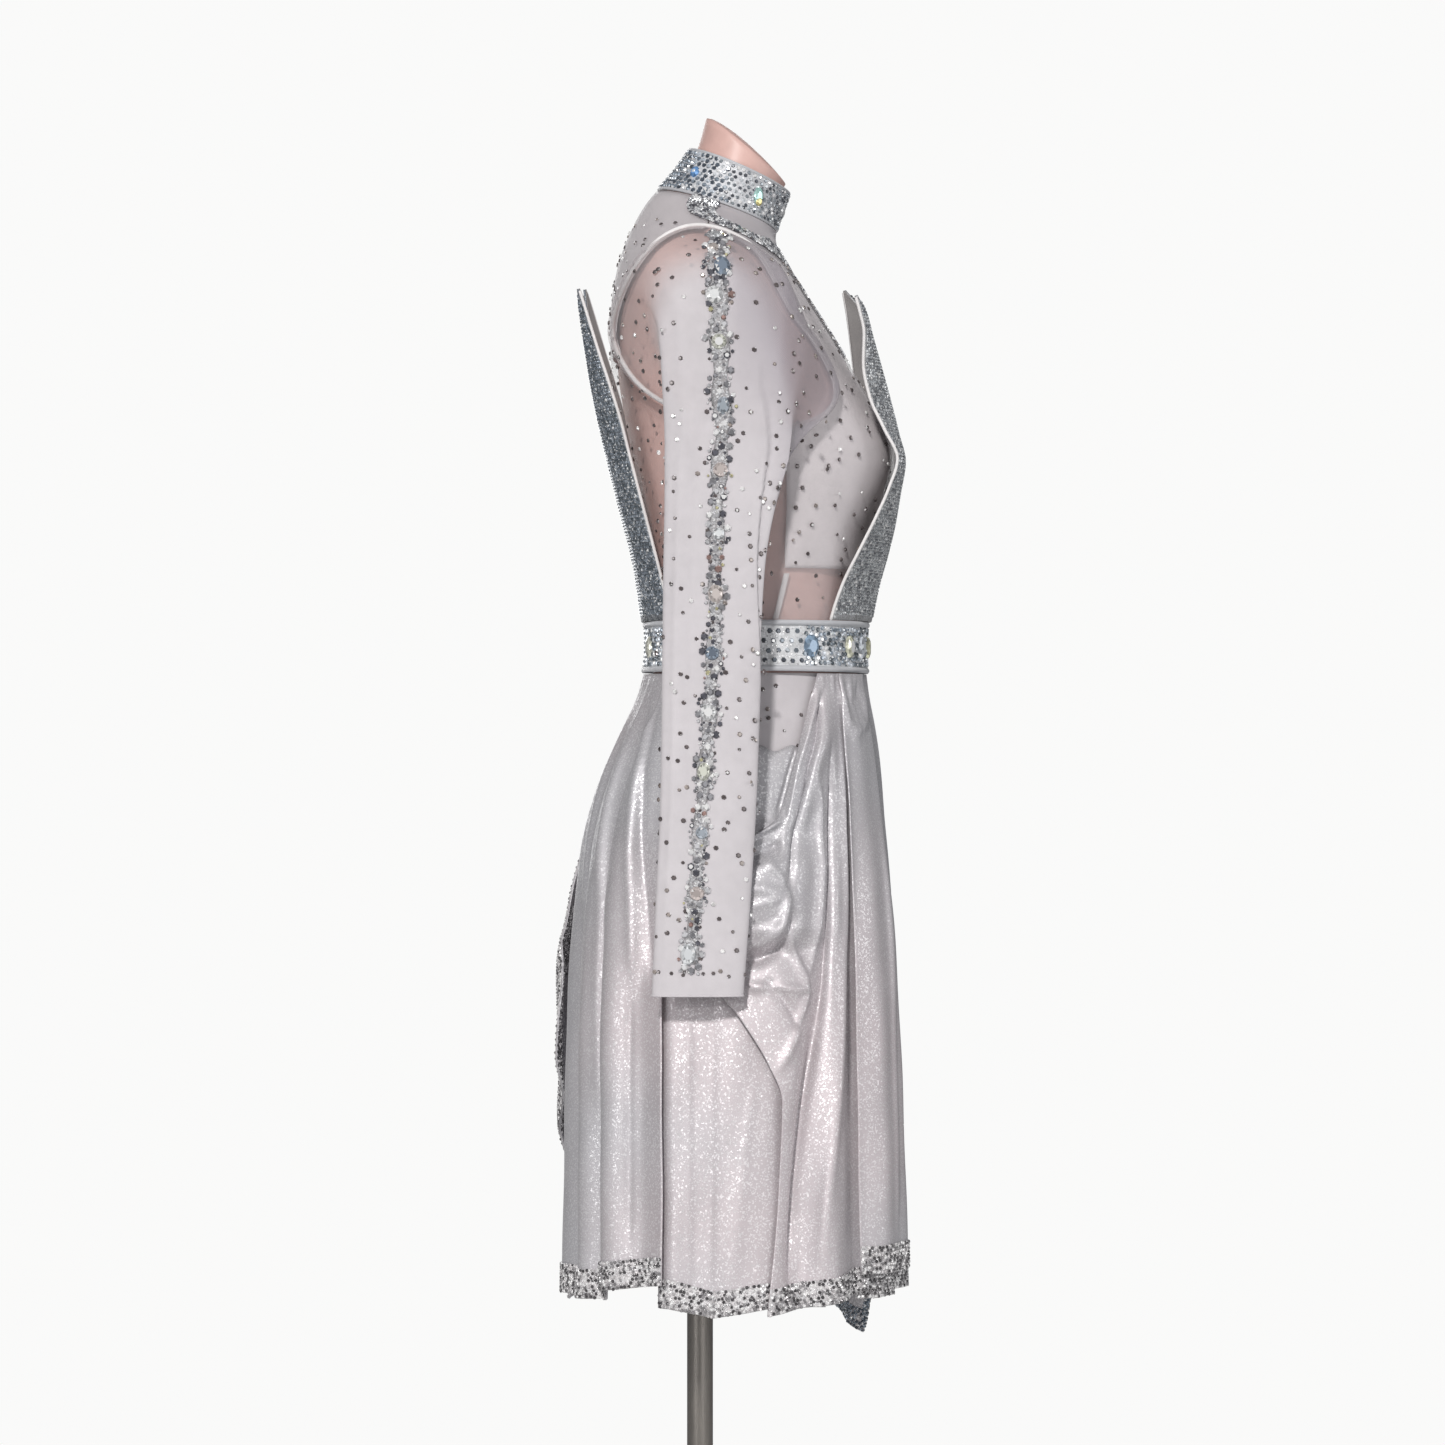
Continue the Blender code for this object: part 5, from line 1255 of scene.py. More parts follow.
class StoneTray:
    """Cut stones laid out one by one, and then made into one mesh."""

    def __init__(self, seed):
        self.random = np.random.default_rng(seed)
        self.points = []
        self.loops = []
        self.sizes = []
        self.tones = []
        self.count = 0

    def lay(self, spots, radius, shades, cut=SMALL_CUT, stretch=1.0, spread=0.5, contrast=0.55):
        """Lays a stone at each spot. Stretch lengthens them along the spot's own direction."""
        centre, out, along = (np.atleast_2d(values) for values in spots)
        number = len(centre)
        if number == 0:
            return
        radius = np.broadcast_to(np.asarray(radius, float), number)
        if isinstance(shades, list):
            colour = pick_shades(number, shades, self.random)
        else:
            colour = np.broadcast_to(np.asarray(shades, float), (number, 3))
        across = unit(np.cross(out, along))
        along = unit(np.cross(across, out))
        local = cut.points * [stretch, 1.0, 1.0]
        placed = (centre[:, None]
                  + radius[:, None, None] * (local[None, :, 0:1] * along[:, None]
                                             + local[None, :, 1:2] * across[:, None]
                                             + local[None, :, 2:3] * out[:, None]))
        self.points.append(placed.reshape(-1, 3))
        sizes = [len(face) for face in cut.faces]
        loops = np.array([corner for face in cut.faces for corner in face])
        starts = self.count + np.arange(number) * len(local)
        self.loops.append((starts[:, None] + loops[None, :]).ravel())
        self.sizes.append(np.tile(sizes, number))
        # Painted reflections: each facet lighter or darker at random, the top facet darkened less, and a few
        # facets painted white as glints
        painted_reflections = self.random.uniform(1 - contrast, 1 + contrast, (number, len(sizes)))
        painted_reflections[:, -1] = self.random.uniform(1 - contrast * spread, 1 + contrast, number)
        glint = self.random.random((number, len(sizes))) < GLINT_SHARE
        tone = np.clip(colour[:, None] * painted_reflections[..., None], 0.02, 1.0)
        tone[glint] = 1.0
        self.tones.append(np.repeat(tone.reshape(-1, 3), np.tile(sizes, number), axis=0))
        self.count += number * len(local)

    def make(self, name, material):
        """The laid stones as one piece."""
        points = np.concatenate(self.points)
        loops = np.concatenate(self.loops)
        sizes = np.concatenate(self.sizes)
        tones = np.concatenate(self.tones)
        mesh = bpy.data.meshes.new(name)
        mesh.vertices.add(len(points))
        mesh.vertices.foreach_set("co", points.ravel().astype(np.float32))
        mesh.loops.add(len(loops))
        mesh.loops.foreach_set("vertex_index", loops.astype(np.int32))
        mesh.polygons.add(len(sizes))
        mesh.polygons.foreach_set("loop_start", np.concatenate([[0], np.cumsum(sizes)[:-1]]).astype(np.int32))
        mesh.update(calc_edges=True)
        mesh.validate()
        shade = mesh.color_attributes.new("facet", "BYTE_COLOR", "CORNER")
        opaque = np.concatenate([tones, np.ones((len(tones), 1))], axis=1)
        shade.data.foreach_set("color", opaque.ravel().astype(np.float32))
        return finish_mesh(name, mesh, [material], smooth=False)


def line_spots(line, out, pitch, start=0.5, random=None, jitter=0.0):
    """Spots a stone apart along one line of points."""
    steps = np.linalg.norm(np.diff(line, axis=0), axis=1)
    run = np.concatenate([[0], np.cumsum(steps)])
    at = np.arange(pitch * start, run[-1] - pitch * 0.2, pitch)
    if random is not None and len(at):
        at = np.clip(at + random.normal(0, jitter * pitch, len(at)), 0, run[-1])
    place = np.stack([np.interp(at, run, line[:, k]) for k in range(3)], axis=1)
    normal = unit(np.stack([np.interp(at, run, out[:, k]) for k in range(3)], axis=1))
    ahead = np.stack([np.interp(np.minimum(at + 0.002, run[-1]), run, line[:, k]) for k in range(3)], axis=1)
    behind = np.stack([np.interp(np.maximum(at - 0.002, 0), run, line[:, k]) for k in range(3)], axis=1)
    return Spots(place, normal, unit(ahead - behind))


def join_spots(spots):
    return Spots(*(np.concatenate(parts) for parts in zip(*spots)))


def bed_spots(points, normals, pitch, random, jitter=0.06, packed=0.87, edge=0.0, ring=False):
    """Spots of close-set stones over a grid: rows a stone apart, each shifted by half a stone."""
    if ring:
        points = np.concatenate([points, points[:, :1]], axis=1)
        normals = np.concatenate([normals, normals[:, :1]], axis=1)
    rows = len(points)
    middle = points.shape[1] // 2
    run = np.concatenate([[0], np.cumsum(np.linalg.norm(np.diff(points[:, middle], axis=0), axis=1))])
    tall = run[-1] - 2 * edge
    count = max(1, round(tall / (pitch * packed)))
    found = []
    for number in range(count):
        at = np.interp(edge + tall * (number + 0.5) / count, run, np.arange(rows))
        low = min(int(at), rows - 2)
        share = at - low
        line = points[low] * (1 - share) + points[low + 1] * share
        out = normals[low] * (1 - share) + normals[low + 1] * share
        found.append(line_spots(line, out, pitch, 0.3 + 0.5 * (number % 2), random, jitter))
    spots = join_spots(found)
    shift = np.cross(spots.out, spots.along) * random.normal(0, jitter * pitch, (len(spots.centre), 1))
    return Spots(spots.centre + shift, spots.out, spots.along)


def keep_spots(spots, keep):
    return Spots(*(values[keep] for values in spots))


def clear_of(spots, centres, radius):
    """The spots that lie further than a radius from every large stone."""
    if len(centres) == 0:
        return spots
    away = np.linalg.norm(spots.centre[:, None] - np.asarray(centres)[None], axis=2).min(axis=1)
    return keep_spots(spots, away > radius)


def lift_spots(spots, rise):
    return Spots(spots.centre + spots.out * rise, spots.out, spots.along)


# Where the dress's upright axis stands
DRESS_MIDDLE_Y = -40 * MM


def face_away(points, normals):
    """Normals turned to point away from the dress's upright axis."""
    away = points - [0, DRESS_MIDDLE_Y, 0]
    side = np.sign((normals[..., :2] * away[..., :2]).sum(axis=-1, keepdims=True))
    return normals * np.where(side == 0, 1, side)


FLOOR_RADIUS = 1.6
FLOOR_THICKNESS = 20 * MM
CAMERA_PLACE = (-4.0, -0.0191, 0.977)
CAMERA_LENS = 117.3


class DRESS_OT_stage(bpy.types.Operator):
    """Set the floor, the lights and the camera"""

    bl_idname = "dress.stage"
    bl_label = "Stage"

    def execute(self, context):
        colours = context.scene.dress_colours
        scene = context.scene
        low = -FLOOR_THICKNESS
        profile = [(0, 0), (FLOOR_RADIUS, 0), (FLOOR_RADIUS, low), (0, low)]
        mesh = turned_mesh("studio_floor", profile, 128)
        floor = bpy.data.objects.new("studio_floor", mesh)
        mesh.materials.append(floor_material(colours))
        scene.collection.objects.link(floor)
        set_camera(scene)
        set_lights(scene)
        return {"FINISHED"}


def set_camera(scene):
    """A level camera at the wearer's right, as far off as the picture was taken from."""
    camera = bpy.data.cameras.new("side view")
    camera.sensor_width = 36
    camera.lens = CAMERA_LENS
    camera.clip_start = 0.05
    camera.clip_end = 100
    viewer = bpy.data.objects.new("side view", camera)
    viewer.location = CAMERA_PLACE
    viewer.rotation_euler = (math.radians(90), 0, math.radians(-90))
    scene.collection.objects.link(viewer)
    scene.camera = viewer


# The background as the camera sees it, and as it lights the dress
SEEN_WORLD = (0.955, 0.955, 0.95, 1)
CAST_WORLD = (0.96, 0.97, 1.0, 1)
WORLD_STRENGTH = 0.16
KEY_STRENGTH = 2.4
KEY_DIRECTION = (1.0, -0.20, -0.62)
AIMED_AT = (0, 0, 1.0)
SOFT_LIGHTS = [
    ("back fill", (-2.8, 2.2, 1.3), 23.0, 1.4),
    ("front fill", (-1.0, -2.6, 1.5), 14.0, 1.4),
    ("side fill", (-3.4, -1.8, 1.2), 18.0, 2.0),
    ("far fill", (2.6, 0.4, 1.6), 20.0, 1.6),
]


def set_lights(scene):
    """A white studio, a high key light from the wearer's side and a soft fill."""
    scene.view_settings.view_transform = "Standard"
    world = scene.world or bpy.data.worlds.new("studio")
    scene.world = world
    world.use_nodes = True
    tree = world.node_tree
    tree.nodes.clear()
    seen = put_node(tree, "ShaderNodeBackground", {"Color": SEEN_WORLD, "Strength": 1.0})
    cast = put_node(tree, "ShaderNodeBackground", {"Color": CAST_WORLD, "Strength": WORLD_STRENGTH})
    ray = put_node(tree, "ShaderNodeLightPath")
    either = put_node(tree, "ShaderNodeMixShader", {0: ray.outputs["Is Camera Ray"], 1: cast.outputs[0],
                                                    2: seen.outputs[0]})
    put_node(tree, "ShaderNodeOutputWorld", {"Surface": either.outputs[0]})
    sun = bpy.data.lights.new("key light", "SUN")
    sun.energy = KEY_STRENGTH
    sun.angle = math.radians(5)
    sun.color = (1.0, 0.98, 0.96)
    key = bpy.data.objects.new("key light", sun)
    key.rotation_euler = Vector(KEY_DIRECTION).to_track_quat("-Z", "Y").to_euler()
    scene.collection.objects.link(key)
    for name, place, energy, size in SOFT_LIGHTS:
        lamp = bpy.data.lights.new(name, "AREA")
        lamp.energy = energy
        lamp.size = size
        light = bpy.data.objects.new(name, lamp)
        light.location = place
        aim = Vector(AIMED_AT) - Vector(place)
        light.rotation_euler = aim.to_track_quat("-Z", "Y").to_euler()
        scene.collection.objects.link(light)


# The form's grid: its columns, its rows above and below the shoulder, and the height between them
FORM_COLUMNS = 96
FORM_ROWS = 50
FORM_SHOULDER = 1.300
# The cap over the neck: its height, which way it rises, and its rings as shares of its edge
CAP_RISE = 9.5 * MM
CAP_LEAN = (0, 0.35, 1)
DOME_SHARES = (0.985, 0.96, 0.93, 0.85, 0.75, 0.62, 0.48, 0.33, 0.18, 0.02)


class DRESS_OT_form(bpy.types.Operator):
    """Build the lacquered dress form, without limbs or head"""

    bl_idname = "dress.form"
    bl_label = "Dress form"

    def execute(self, context):
        material = form_material(context.scene.dress_colours)
        turns = np.linspace(0, 360, FORM_COLUMNS, endpoint=False)
        heights = np.concatenate([
            np.linspace(BODY_ROWS[0].height, BODY_ROWS[2].height, 9)[:-1],
            np.linspace(BODY_ROWS[2].height, FORM_SHOULDER, FORM_ROWS)[:-1],
            np.linspace(FORM_SHOULDER, BODY_ROWS[-1].height, FORM_ROWS),
        ])
        rings = on_body(turns[None, :], heights[:, None], -FORM_INSET)
        rim, floor_ring = rings[-1], rings[0]
        middle, floor_middle = rim.mean(axis=0), floor_ring.mean(axis=0)
        shares = [1.0] + [share for share, _ in CAP_RINGS] + [0.0]
        rises = [0.0] + [rise for _, rise in CAP_RINGS] + [CAP_RISE]
        rise_at = smooth_curve(shares, rises)
        dome = [middle + (rim - middle) * share + np.array(CAP_LEAN) * rise_at(share)
                for share in DOME_SHARES]
        under = [floor_middle + (floor_ring - floor_middle) * share for share in (0.02, 0.5, 0.9)]
        points = np.concatenate([np.array(under), rings, np.array(dome)])[::-1]
        piece = finish_mesh("dress_form", grid_mesh("dress_form", points, ring=True), [material])
        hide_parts("form_torso")
        return {"FINISHED"}


# Which way round the hub the screw that holds the pole faces
SCREW_TURN = math.radians(-35)


class DRESS_OT_stand(bpy.types.Operator):
    """Build the steel stand: socket, pole and base plate"""

    bl_idname = "dress.stand"
    bl_label = "Stand"

    def execute(self, context):
        sizes, colours = context.scene.dress_sizes, context.scene.dress_colours
        upright = steel_material("steel drawn upright", colours, (60.0, 60.0, 1.2))
        round_it = steel_material("steel turned", colours, (9.0, 9.0, 60.0))
        self.socket(round_it)
        self.pole(sizes.pole_radius, upright)
        self.base(sizes.base_radius, round_it)
        return {"FINISHED"}

    def socket(self, steel):
        low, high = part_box("form_socket")
        bottom, top = low[2], high[2]
        radius = node_radius("form_socket")
        groove = radius - 0.8 * MM
        profile = [(0, top), (radius - 2 * MM, top), (radius - 0.6 * MM, top - 0.4 * MM),
                   (radius, top - 2 * MM), (radius, top - 6 * MM), (groove, top - 6.5 * MM),
                   (groove, top - 7.5 * MM), (radius, top - 8 * MM), (radius, bottom + 2 * MM),
                   (radius - 0.6 * MM, bottom + 0.5 * MM), (radius - 2 * MM, bottom),
                   (POLE_RADIUS + 1.5 * MM, bottom), (0, bottom)]
        piece = finish_mesh("socket_collar", turned_mesh("socket_collar", profile[::-1]), [steel])
        soften(piece)
        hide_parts("form_socket")

    def pole(self, radius, steel):
        low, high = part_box("stand_pole")
        profile = [(0, low[2]), (radius, low[2]), (radius, high[2] - 0.5 * MM), (radius - 0.5 * MM, high[2]),
                   (0, high[2])]
        piece = finish_mesh("steel_pole", turned_mesh("steel_pole", profile, 64), [steel])
        soften(piece)
        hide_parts("stand_pole")

    def base(self, radius, steel):
        hub_top = BASE_THICKNESS + HUB_HEIGHT
        profile = [(0, 0), (radius - 2 * MM, 0), (radius - 0.5 * MM, 0.5 * MM), (radius, 2 * MM),
                   (radius, BASE_THICKNESS - 2 * MM), (radius - 0.6 * MM, BASE_THICKNESS - 0.6 * MM),
                   (radius - 2 * MM, BASE_THICKNESS), (radius - 9 * MM, BASE_THICKNESS),
                   (radius - 9.6 * MM, BASE_THICKNESS - 0.4 * MM), (radius - 10.2 * MM, BASE_THICKNESS),
                   (HUB_RADIUS + 5 * MM, BASE_THICKNESS), (HUB_RADIUS + 1.5 * MM, BASE_THICKNESS + 0.8 * MM),
                   (HUB_RADIUS, BASE_THICKNESS + 4 * MM), (HUB_RADIUS, hub_top - 2 * MM),
                   (HUB_RADIUS - 0.6 * MM, hub_top - 0.6 * MM), (HUB_RADIUS - 2 * MM, hub_top),
                   (POLE_RADIUS + 1.5 * MM, hub_top), (0, hub_top)]
        plate = finish_mesh("base_plate", turned_mesh("base_plate", profile, 160), [steel])
        soften(plate)
        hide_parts("stand_base")
        profile = [(0, -2 * MM), (3.2 * MM, -2 * MM), (3.2 * MM, 1.4 * MM), (2.8 * MM, 1.8 * MM),
                   (1.7 * MM, 1.8 * MM), (1.5 * MM, 0.4 * MM), (0, 0.4 * MM)]
        screw = finish_mesh("hub_screw", turned_mesh("hub_screw", profile, 24), [steel])
        soften(screw)
        screw.rotation_euler = (math.radians(90), 0, SCREW_TURN)
        screw.location = (HUB_RADIUS * math.sin(SCREW_TURN), -HUB_RADIUS * math.cos(SCREW_TURN),
                          BASE_THICKNESS + 13 * MM)


def soften(piece):
    """Keeps the turned edges crisp under smooth shading."""
    piece.data.shade_smooth()
    piece.data.set_sharp_from_angle(angle=math.radians(32))


BODICE_COLUMNS = 73
# The mean radius of the body, which turns degrees round it into lengths of cloth
BODY_ROUND = 110 * MM
CUP_SIDE_ANGLE = 78.0
# How far a lining is turned under below its edge
LINING_TURN = 8 * MM
# How much painted shade the front's mesh gets over the upper chest, as a share of the sleeve's
FRONT_PAINTED_SHADE = 0.25


class DRESS_OT_bodice(bpy.types.Operator):
    """Build the sheer bodice, its lining, its side seams and the bound armholes"""

    bl_idname = "dress.bodice"
    bl_label = "Bodice"

    def execute(self, context):
        colours = context.scene.dress_colours
        sheer = mesh_material("sheer mesh", colours)
        sheets, trims = [], []
        for front, name, node, lining_name, lining_node, low, high in (
            (True, "sheer_front", "bodice_front", "front_cup_lining", "lining_front", CUP_BOTTOM,
             FRONT_LINING_TOP),
            (False, "sheer_back", "bodice_back", "back_yoke_lining", "lining_back", YOKE_BOTTOM,
             COLLAR_BOTTOM),
        ):
            angles, heights = bodice_grid(front, BODICE_COLUMNS)
            points = on_body(angles, heights, MESH_OFFSET + body_ripple(angles, heights))
            lie = np.stack([np.radians(angles) * BODY_ROUND, heights], axis=-1)
            cloth = cloth_piece(name, points, sheer, threads=lie)
            # Painted shade over the upper chest
            painted_shade = FRONT_PAINTED_SHADE * front * smooth_step(1.28, 1.34, heights)
            paint_cover(cloth, bodice_cover(front, heights), painted_shade)
            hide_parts(node)
            sheets.append((cloth, points, trims if front else []))
            angles, heights = rows_between(angles, heights, low - LINING_TURN, high)
            if front:
                widest = np.abs(angles).max(axis=1, keepdims=True)
                reach = CUP_SIDE_ANGLE / np.maximum(widest, CUP_SIDE_ANGLE)
                angles = angles * (1 + (reach - 1) * smooth_step(1.250, 1.200, heights))
            points = on_body(angles, heights, LINING_OFFSET)
            lining = cloth_piece(lining_name, points, lining_material(colours), wall=0.6 * MM)
            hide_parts(lining_node)
        for side, tag in ((1, "right"), (-1, "left")):
            trims.append(self.side_seam(side, tag, mesh_material("seam mesh", colours, 0.85)))
            trims.append(self.side_tape(side, tag, tape_material(colours)))
            trims.append(self.binding(side, tag, tape_material(colours)))
        return {"FINISHED"}

    def side_seam(self, side, tag, sheer):
        _, low = armhole_place(ARMHOLE_FOOT, ARMHOLE_SEAM)
        heights = np.linspace(float(low) - 2 * MM, WAISTBAND_TOP + 1 * MM, 60)
        angles = np.full(len(heights), side * 90.0)
        path = on_body(angles, heights, MESH_OFFSET + 0.5 * MM)
        seam = cord_piece(f"side_seam_{tag}", path, body_normals(angles, heights), 0.7 * MM, sheer, sides=6)
        return seam

    def side_tape(self, side, tag, tape):
        rows = 40
        heights = np.linspace(CUP_BOTTOM - 12 * MM, WAISTBAND_TOP + SEAM_GAP, rows)
        lean = np.linspace(77, 82, rows)
        angles = side * (lean[:, None] + np.linspace(-1.4, 1.4, 5)[None, :])
        points = on_body(angles, heights[:, None], LINING_OFFSET - SEAM_GAP + 0.4 * MM)
        strip = cloth_piece(f"midriff_tape_{tag}", points, tape, wall=0.7 * MM)
        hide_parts(f"side_tape_{tag}")
        return strip

    def binding(self, side, tag, tape):
        turns = np.linspace(0, 360, 160, endpoint=False)
        angles, heights = armhole_place(turns, SLEEVE_LAP)
        path = on_body(side * angles, heights, SLEEVE_EDGE_OFFSET + 0.4 * MM)
        out = body_normals(side * angles, heights)
        full = smooth_step(35, 75, turns) * smooth_step(250, 220, turns)
        reach = BINDING_RADIUS * (0.42 + 0.83 * full)
        edge = cord_piece(f"bound_armhole_{tag}", path, out, reach, tape, cyclic=True)
        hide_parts(f"armhole_binding_{tag}")
        return edge


def bodice_cover(front, heights):
    """How closely the bodice's net covers: nearly bare over the midriff and the back, close at the neck."""
    if front:
        return 0.38 + 0.50 * smooth_step(1.366, 1.382, heights)
    return 0.10 + 0.45 * smooth_step(1.270, 1.300, heights)


def body_ripple(angles, heights):
    """Small level creases where the taut mesh is caught at the waist and under the arm."""
    waist = np.exp(-(((heights - 1.085) / 0.028) ** 2))
    wave = np.sin(heights / (8.5 * MM) + np.radians(angles) * 3.1) * 0.5 + 0.5
    catch = 0.5 + 0.5 * np.cos(np.radians(angles) * 5.0 + 0.7)
    return 0.5 * MM * waist * wave * catch


COLLAR_OUT = 3.1 * MM
NECK_MIDDLE_Y = -30 * MM
# How far round from the front the collar's paler stones reach, in degrees
PALE_COLLAR_TO = 100
COLLAR_FRONT_STONES = [((0.10, 0.11, 0.13), 0.40), ((0.28, 0.31, 0.34), 0.32), ((0.58, 0.61, 0.64), 0.18),
                       ((0.94, 0.94, 0.96), 0.10)]


class DRESS_OT_collar(bpy.types.Operator):
    """Build the stand collar, covered in stones"""

    bl_idname = "dress.collar"
    bl_label = "Collar"

    def execute(self, context):
        sizes, colours = context.scene.dress_sizes, context.scene.dress_colours
        angles = np.linspace(0, 360, 200, endpoint=False)
        heights = np.linspace(COLLAR_BOTTOM + 1 * MM, COLLAR_TOP - 1 * MM, 12)
        ground = backing_material("collar ground", (0.62, 0.63, 0.66))
        points = on_body(angles[None, :], heights[:, None], COLLAR_OUT)[::-1]
        normals = body_normals(angles[None, :], heights[:, None])[::-1]
        band = cloth_piece("collar_band", points, ground, ring=True, wall=2.0 * MM)
        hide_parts("collar")
        for name, height in (("collar_top_edge", COLLAR_TOP - 1.2 * MM),
                             ("collar_bottom_edge", COLLAR_BOTTOM + 1.2 * MM)):
            level = np.full(len(angles), height)
            path, out = on_body(angles, level, COLLAR_OUT), body_normals(angles, level)
            edge = cord_piece(name, path, out, 1.4 * MM, border_material(colours), cyclic=True, sides=8)
        tray = StoneTray(11)
        centre_height = (COLLAR_TOP + COLLAR_BOTTOM) / 2
        large = []
        for angle in COLLAR_STONE_ANGLES:
            spot = wall_spot(angle, centre_height, COLLAR_OUT + 1.2 * MM)
            large.append(spot.centre[0])
            self.large_stone(tray, spot, abs(angle))
        spots = bed_spots(points, normals, sizes.collar_stone * 1.16, tray.random, edge=1.2 * MM, ring=True)
        spots = clear_of(lift_spots(spots, 1.0 * MM), large, 6.4 * MM)
        turn = turn_from_front(spots, NECK_MIDDLE_Y)
        front = turn + tray.random.normal(0, 6, len(turn)) < PALE_COLLAR_TO
        tray.lay(keep_spots(spots, front), sizes.collar_stone / 2 * 0.86, COLLAR_FRONT_STONES)
        tray.lay(keep_spots(spots, ~front), sizes.collar_stone / 2 * 1.08, DARK_STONES)
        stones = tray.make("collar_stones", stone_material())
        return {"FINISHED"}

    def large_stone(self, tray, spot, angle):
        """A clear stone at the front, a two-toned leaf at the side or a blue star at the back."""
        if angle < 40:
            tray.lay(spot, 4.6 * MM, (0.80, 0.81, 0.83), LARGE_CUT, 1.2, contrast=0.3)
        elif angle < 90:
            below = Spots(spot.centre - spot.along * 4.2 * MM, spot.out, spot.along)
            tray.lay(spot, 4.8 * MM, (0.42, 0.66, 0.62), LARGE_CUT, 1.75, contrast=0.35)
            tray.lay(lift_spots(below, 0.6 * MM), 3.5 * MM, (0.70, 0.62, 0.28), LARGE_CUT, 1.2, contrast=0.35)
        else:
            tray.lay(spot, 4.6 * MM, (0.16, 0.34, 0.66), LARGE_CUT, 1.25, contrast=0.4)
            tray.lay(lift_spots(spot, 1.6 * MM), 2.0 * MM, (0.88, 0.94, 1.0), LARGE_CUT, contrast=0.2)


def turn_from_front(spots, middle):
    """How far round from the front each spot lies, about an upright axis, in degrees."""
    return np.degrees(np.arctan2(np.abs(spots.centre[:, 0]), middle - spots.centre[:, 1]))


def wall_spot(angle, height, offset):
    """One spot on the body at an angle and a height, with its length upright."""
    centre = on_body([angle], [height], offset)
    return Spots(centre, body_normals([angle], [height]), np.array([[0.0, 0.0, 1.0]]))


WAISTBAND_OUT = 5.6 * MM
WAIST_MIDDLE_Y = -47 * MM
# The waistband's stones are set wider over its pale ground at the hips
PALE_FROM = 72.0
PALE_TO = 100.0
WIDE_PITCH = 7.9 * MM
WAISTBAND_STONES = [((0.08, 0.09, 0.11), 0.50), ((0.18, 0.21, 0.24), 0.36), ((0.50, 0.54, 0.58), 0.14)]
FILLING_STONES = [((0.10, 0.12, 0.14), 0.38), ((0.26, 0.30, 0.35), 0.32), ((0.60, 0.64, 0.70), 0.22),
                  ((0.92, 0.93, 0.95), 0.08)]
PALE_STONES = [((0.70, 0.71, 0.73), 0.50), ((0.92, 0.92, 0.93), 0.50)]
BORDER_HEIGHT = 4.6 * MM
OVAL_TINTS = [(0.74, 0.72, 0.50), (0.62, 0.66, 0.72), (0.70, 0.70, 0.56), (0.24, 0.34, 0.46),
              (0.66, 0.66, 0.58)]


class DRESS_OT_waistband(bpy.types.Operator):
    """Build the waistband, with its plain borders, its grid of stones and its large ovals"""

    bl_idname = "dress.waistband"
    bl_label = "Waistband"

    def execute(self, context):
        sizes, colours = context.scene.dress_sizes, context.scene.dress_colours
        angles = np.linspace(0, 360, 360, endpoint=False)
        heights = np.linspace(WAISTBAND_BOTTOM + 0.5 * MM, WAISTBAND_TOP - 0.5 * MM, 14)
        ground = backing_material("waistband ground", (0.74, 0.75, 0.77))
        points = on_body(angles[None, :], heights[:, None], WAISTBAND_OUT)[::-1]
        normals = body_normals(angles[None, :], heights[:, None])[::-1]
        band = cloth_piece("waist_band", points, ground, ring=True, wall=1.8 * MM)
        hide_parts("waistband")
        bulge = np.sin(np.linspace(0, math.pi, 9)) * 1.3 * MM
        for name, low in (("waist_top_border", WAISTBAND_TOP - BORDER_HEIGHT),
                          ("waist_bottom_border", WAISTBAND_BOTTOM)):
            rows = np.linspace(low, low + BORDER_HEIGHT, len(bulge))
            out = WAISTBAND_OUT + 0.9 * MM + bulge[:, None]
            grid = on_body(angles[None, :], rows[:, None], out)[::-1]
            border = cloth_piece(name, grid, border_material(colours), ring=True, wall=0.6 * MM)
        tray = StoneTray(12)
        centre_height = (WAISTBAND_TOP + WAISTBAND_BOTTOM) / 2
        large = []
        for number, angle in enumerate(WAISTBAND_STONE_ANGLES):
            spot = wall_spot(angle, centre_height, WAISTBAND_OUT + 1.2 * MM)
            large.append(spot.centre[0])
            tray.lay(spot, 7.3 * MM, OVAL_TINTS[number % len(OVAL_TINTS)], LARGE_CUT, 1.42)
        wide = bed_spots(points, normals, WIDE_PITCH, tray.random, jitter=0.03, packed=0.98,
                         edge=BORDER_HEIGHT, ring=True)
        wide = keep_spots(lift_spots(wide, 0.9 * MM), over_hip(wide))
        tray.lay(wide, sizes.waistband_stone / 2 * 0.9, WAISTBAND_STONES)
        fine = bed_spots(points, normals, WIDE_PITCH * 0.52, tray.random, jitter=0.16,
                         edge=BORDER_HEIGHT * 0.9, ring=True)
        fine = lift_spots(fine, 0.9 * MM)
        fine = clear_of(keep_spots(fine, over_hip(fine)), wide.centre, sizes.waistband_stone * 0.62)
        tray.lay(fine, 1.1 * MM, PALE_STONES)
        close = bed_spots(points, normals, sizes.waistband_stone * 0.88, tray.random, jitter=0.10, packed=0.9,
                          edge=BORDER_HEIGHT, ring=True)
        close = clear_of(lift_spots(keep_spots(close, ~over_hip(close)), 0.9 * MM), large, 8.6 * MM)
        tray.lay(close, sizes.waistband_stone / 2 * 0.86, FILLING_STONES)
        stones = tray.make("waistband_stones", stone_material())
        return {"FINISHED"}


def over_hip(spots):
    """Which spots lie over the hips, where the waistband's ground shows."""
    turn = turn_from_front(spots, WAIST_MIDDLE_Y)
    return (turn > PALE_FROM) & (turn < PALE_TO)


SLEEVE_COLUMNS = 144

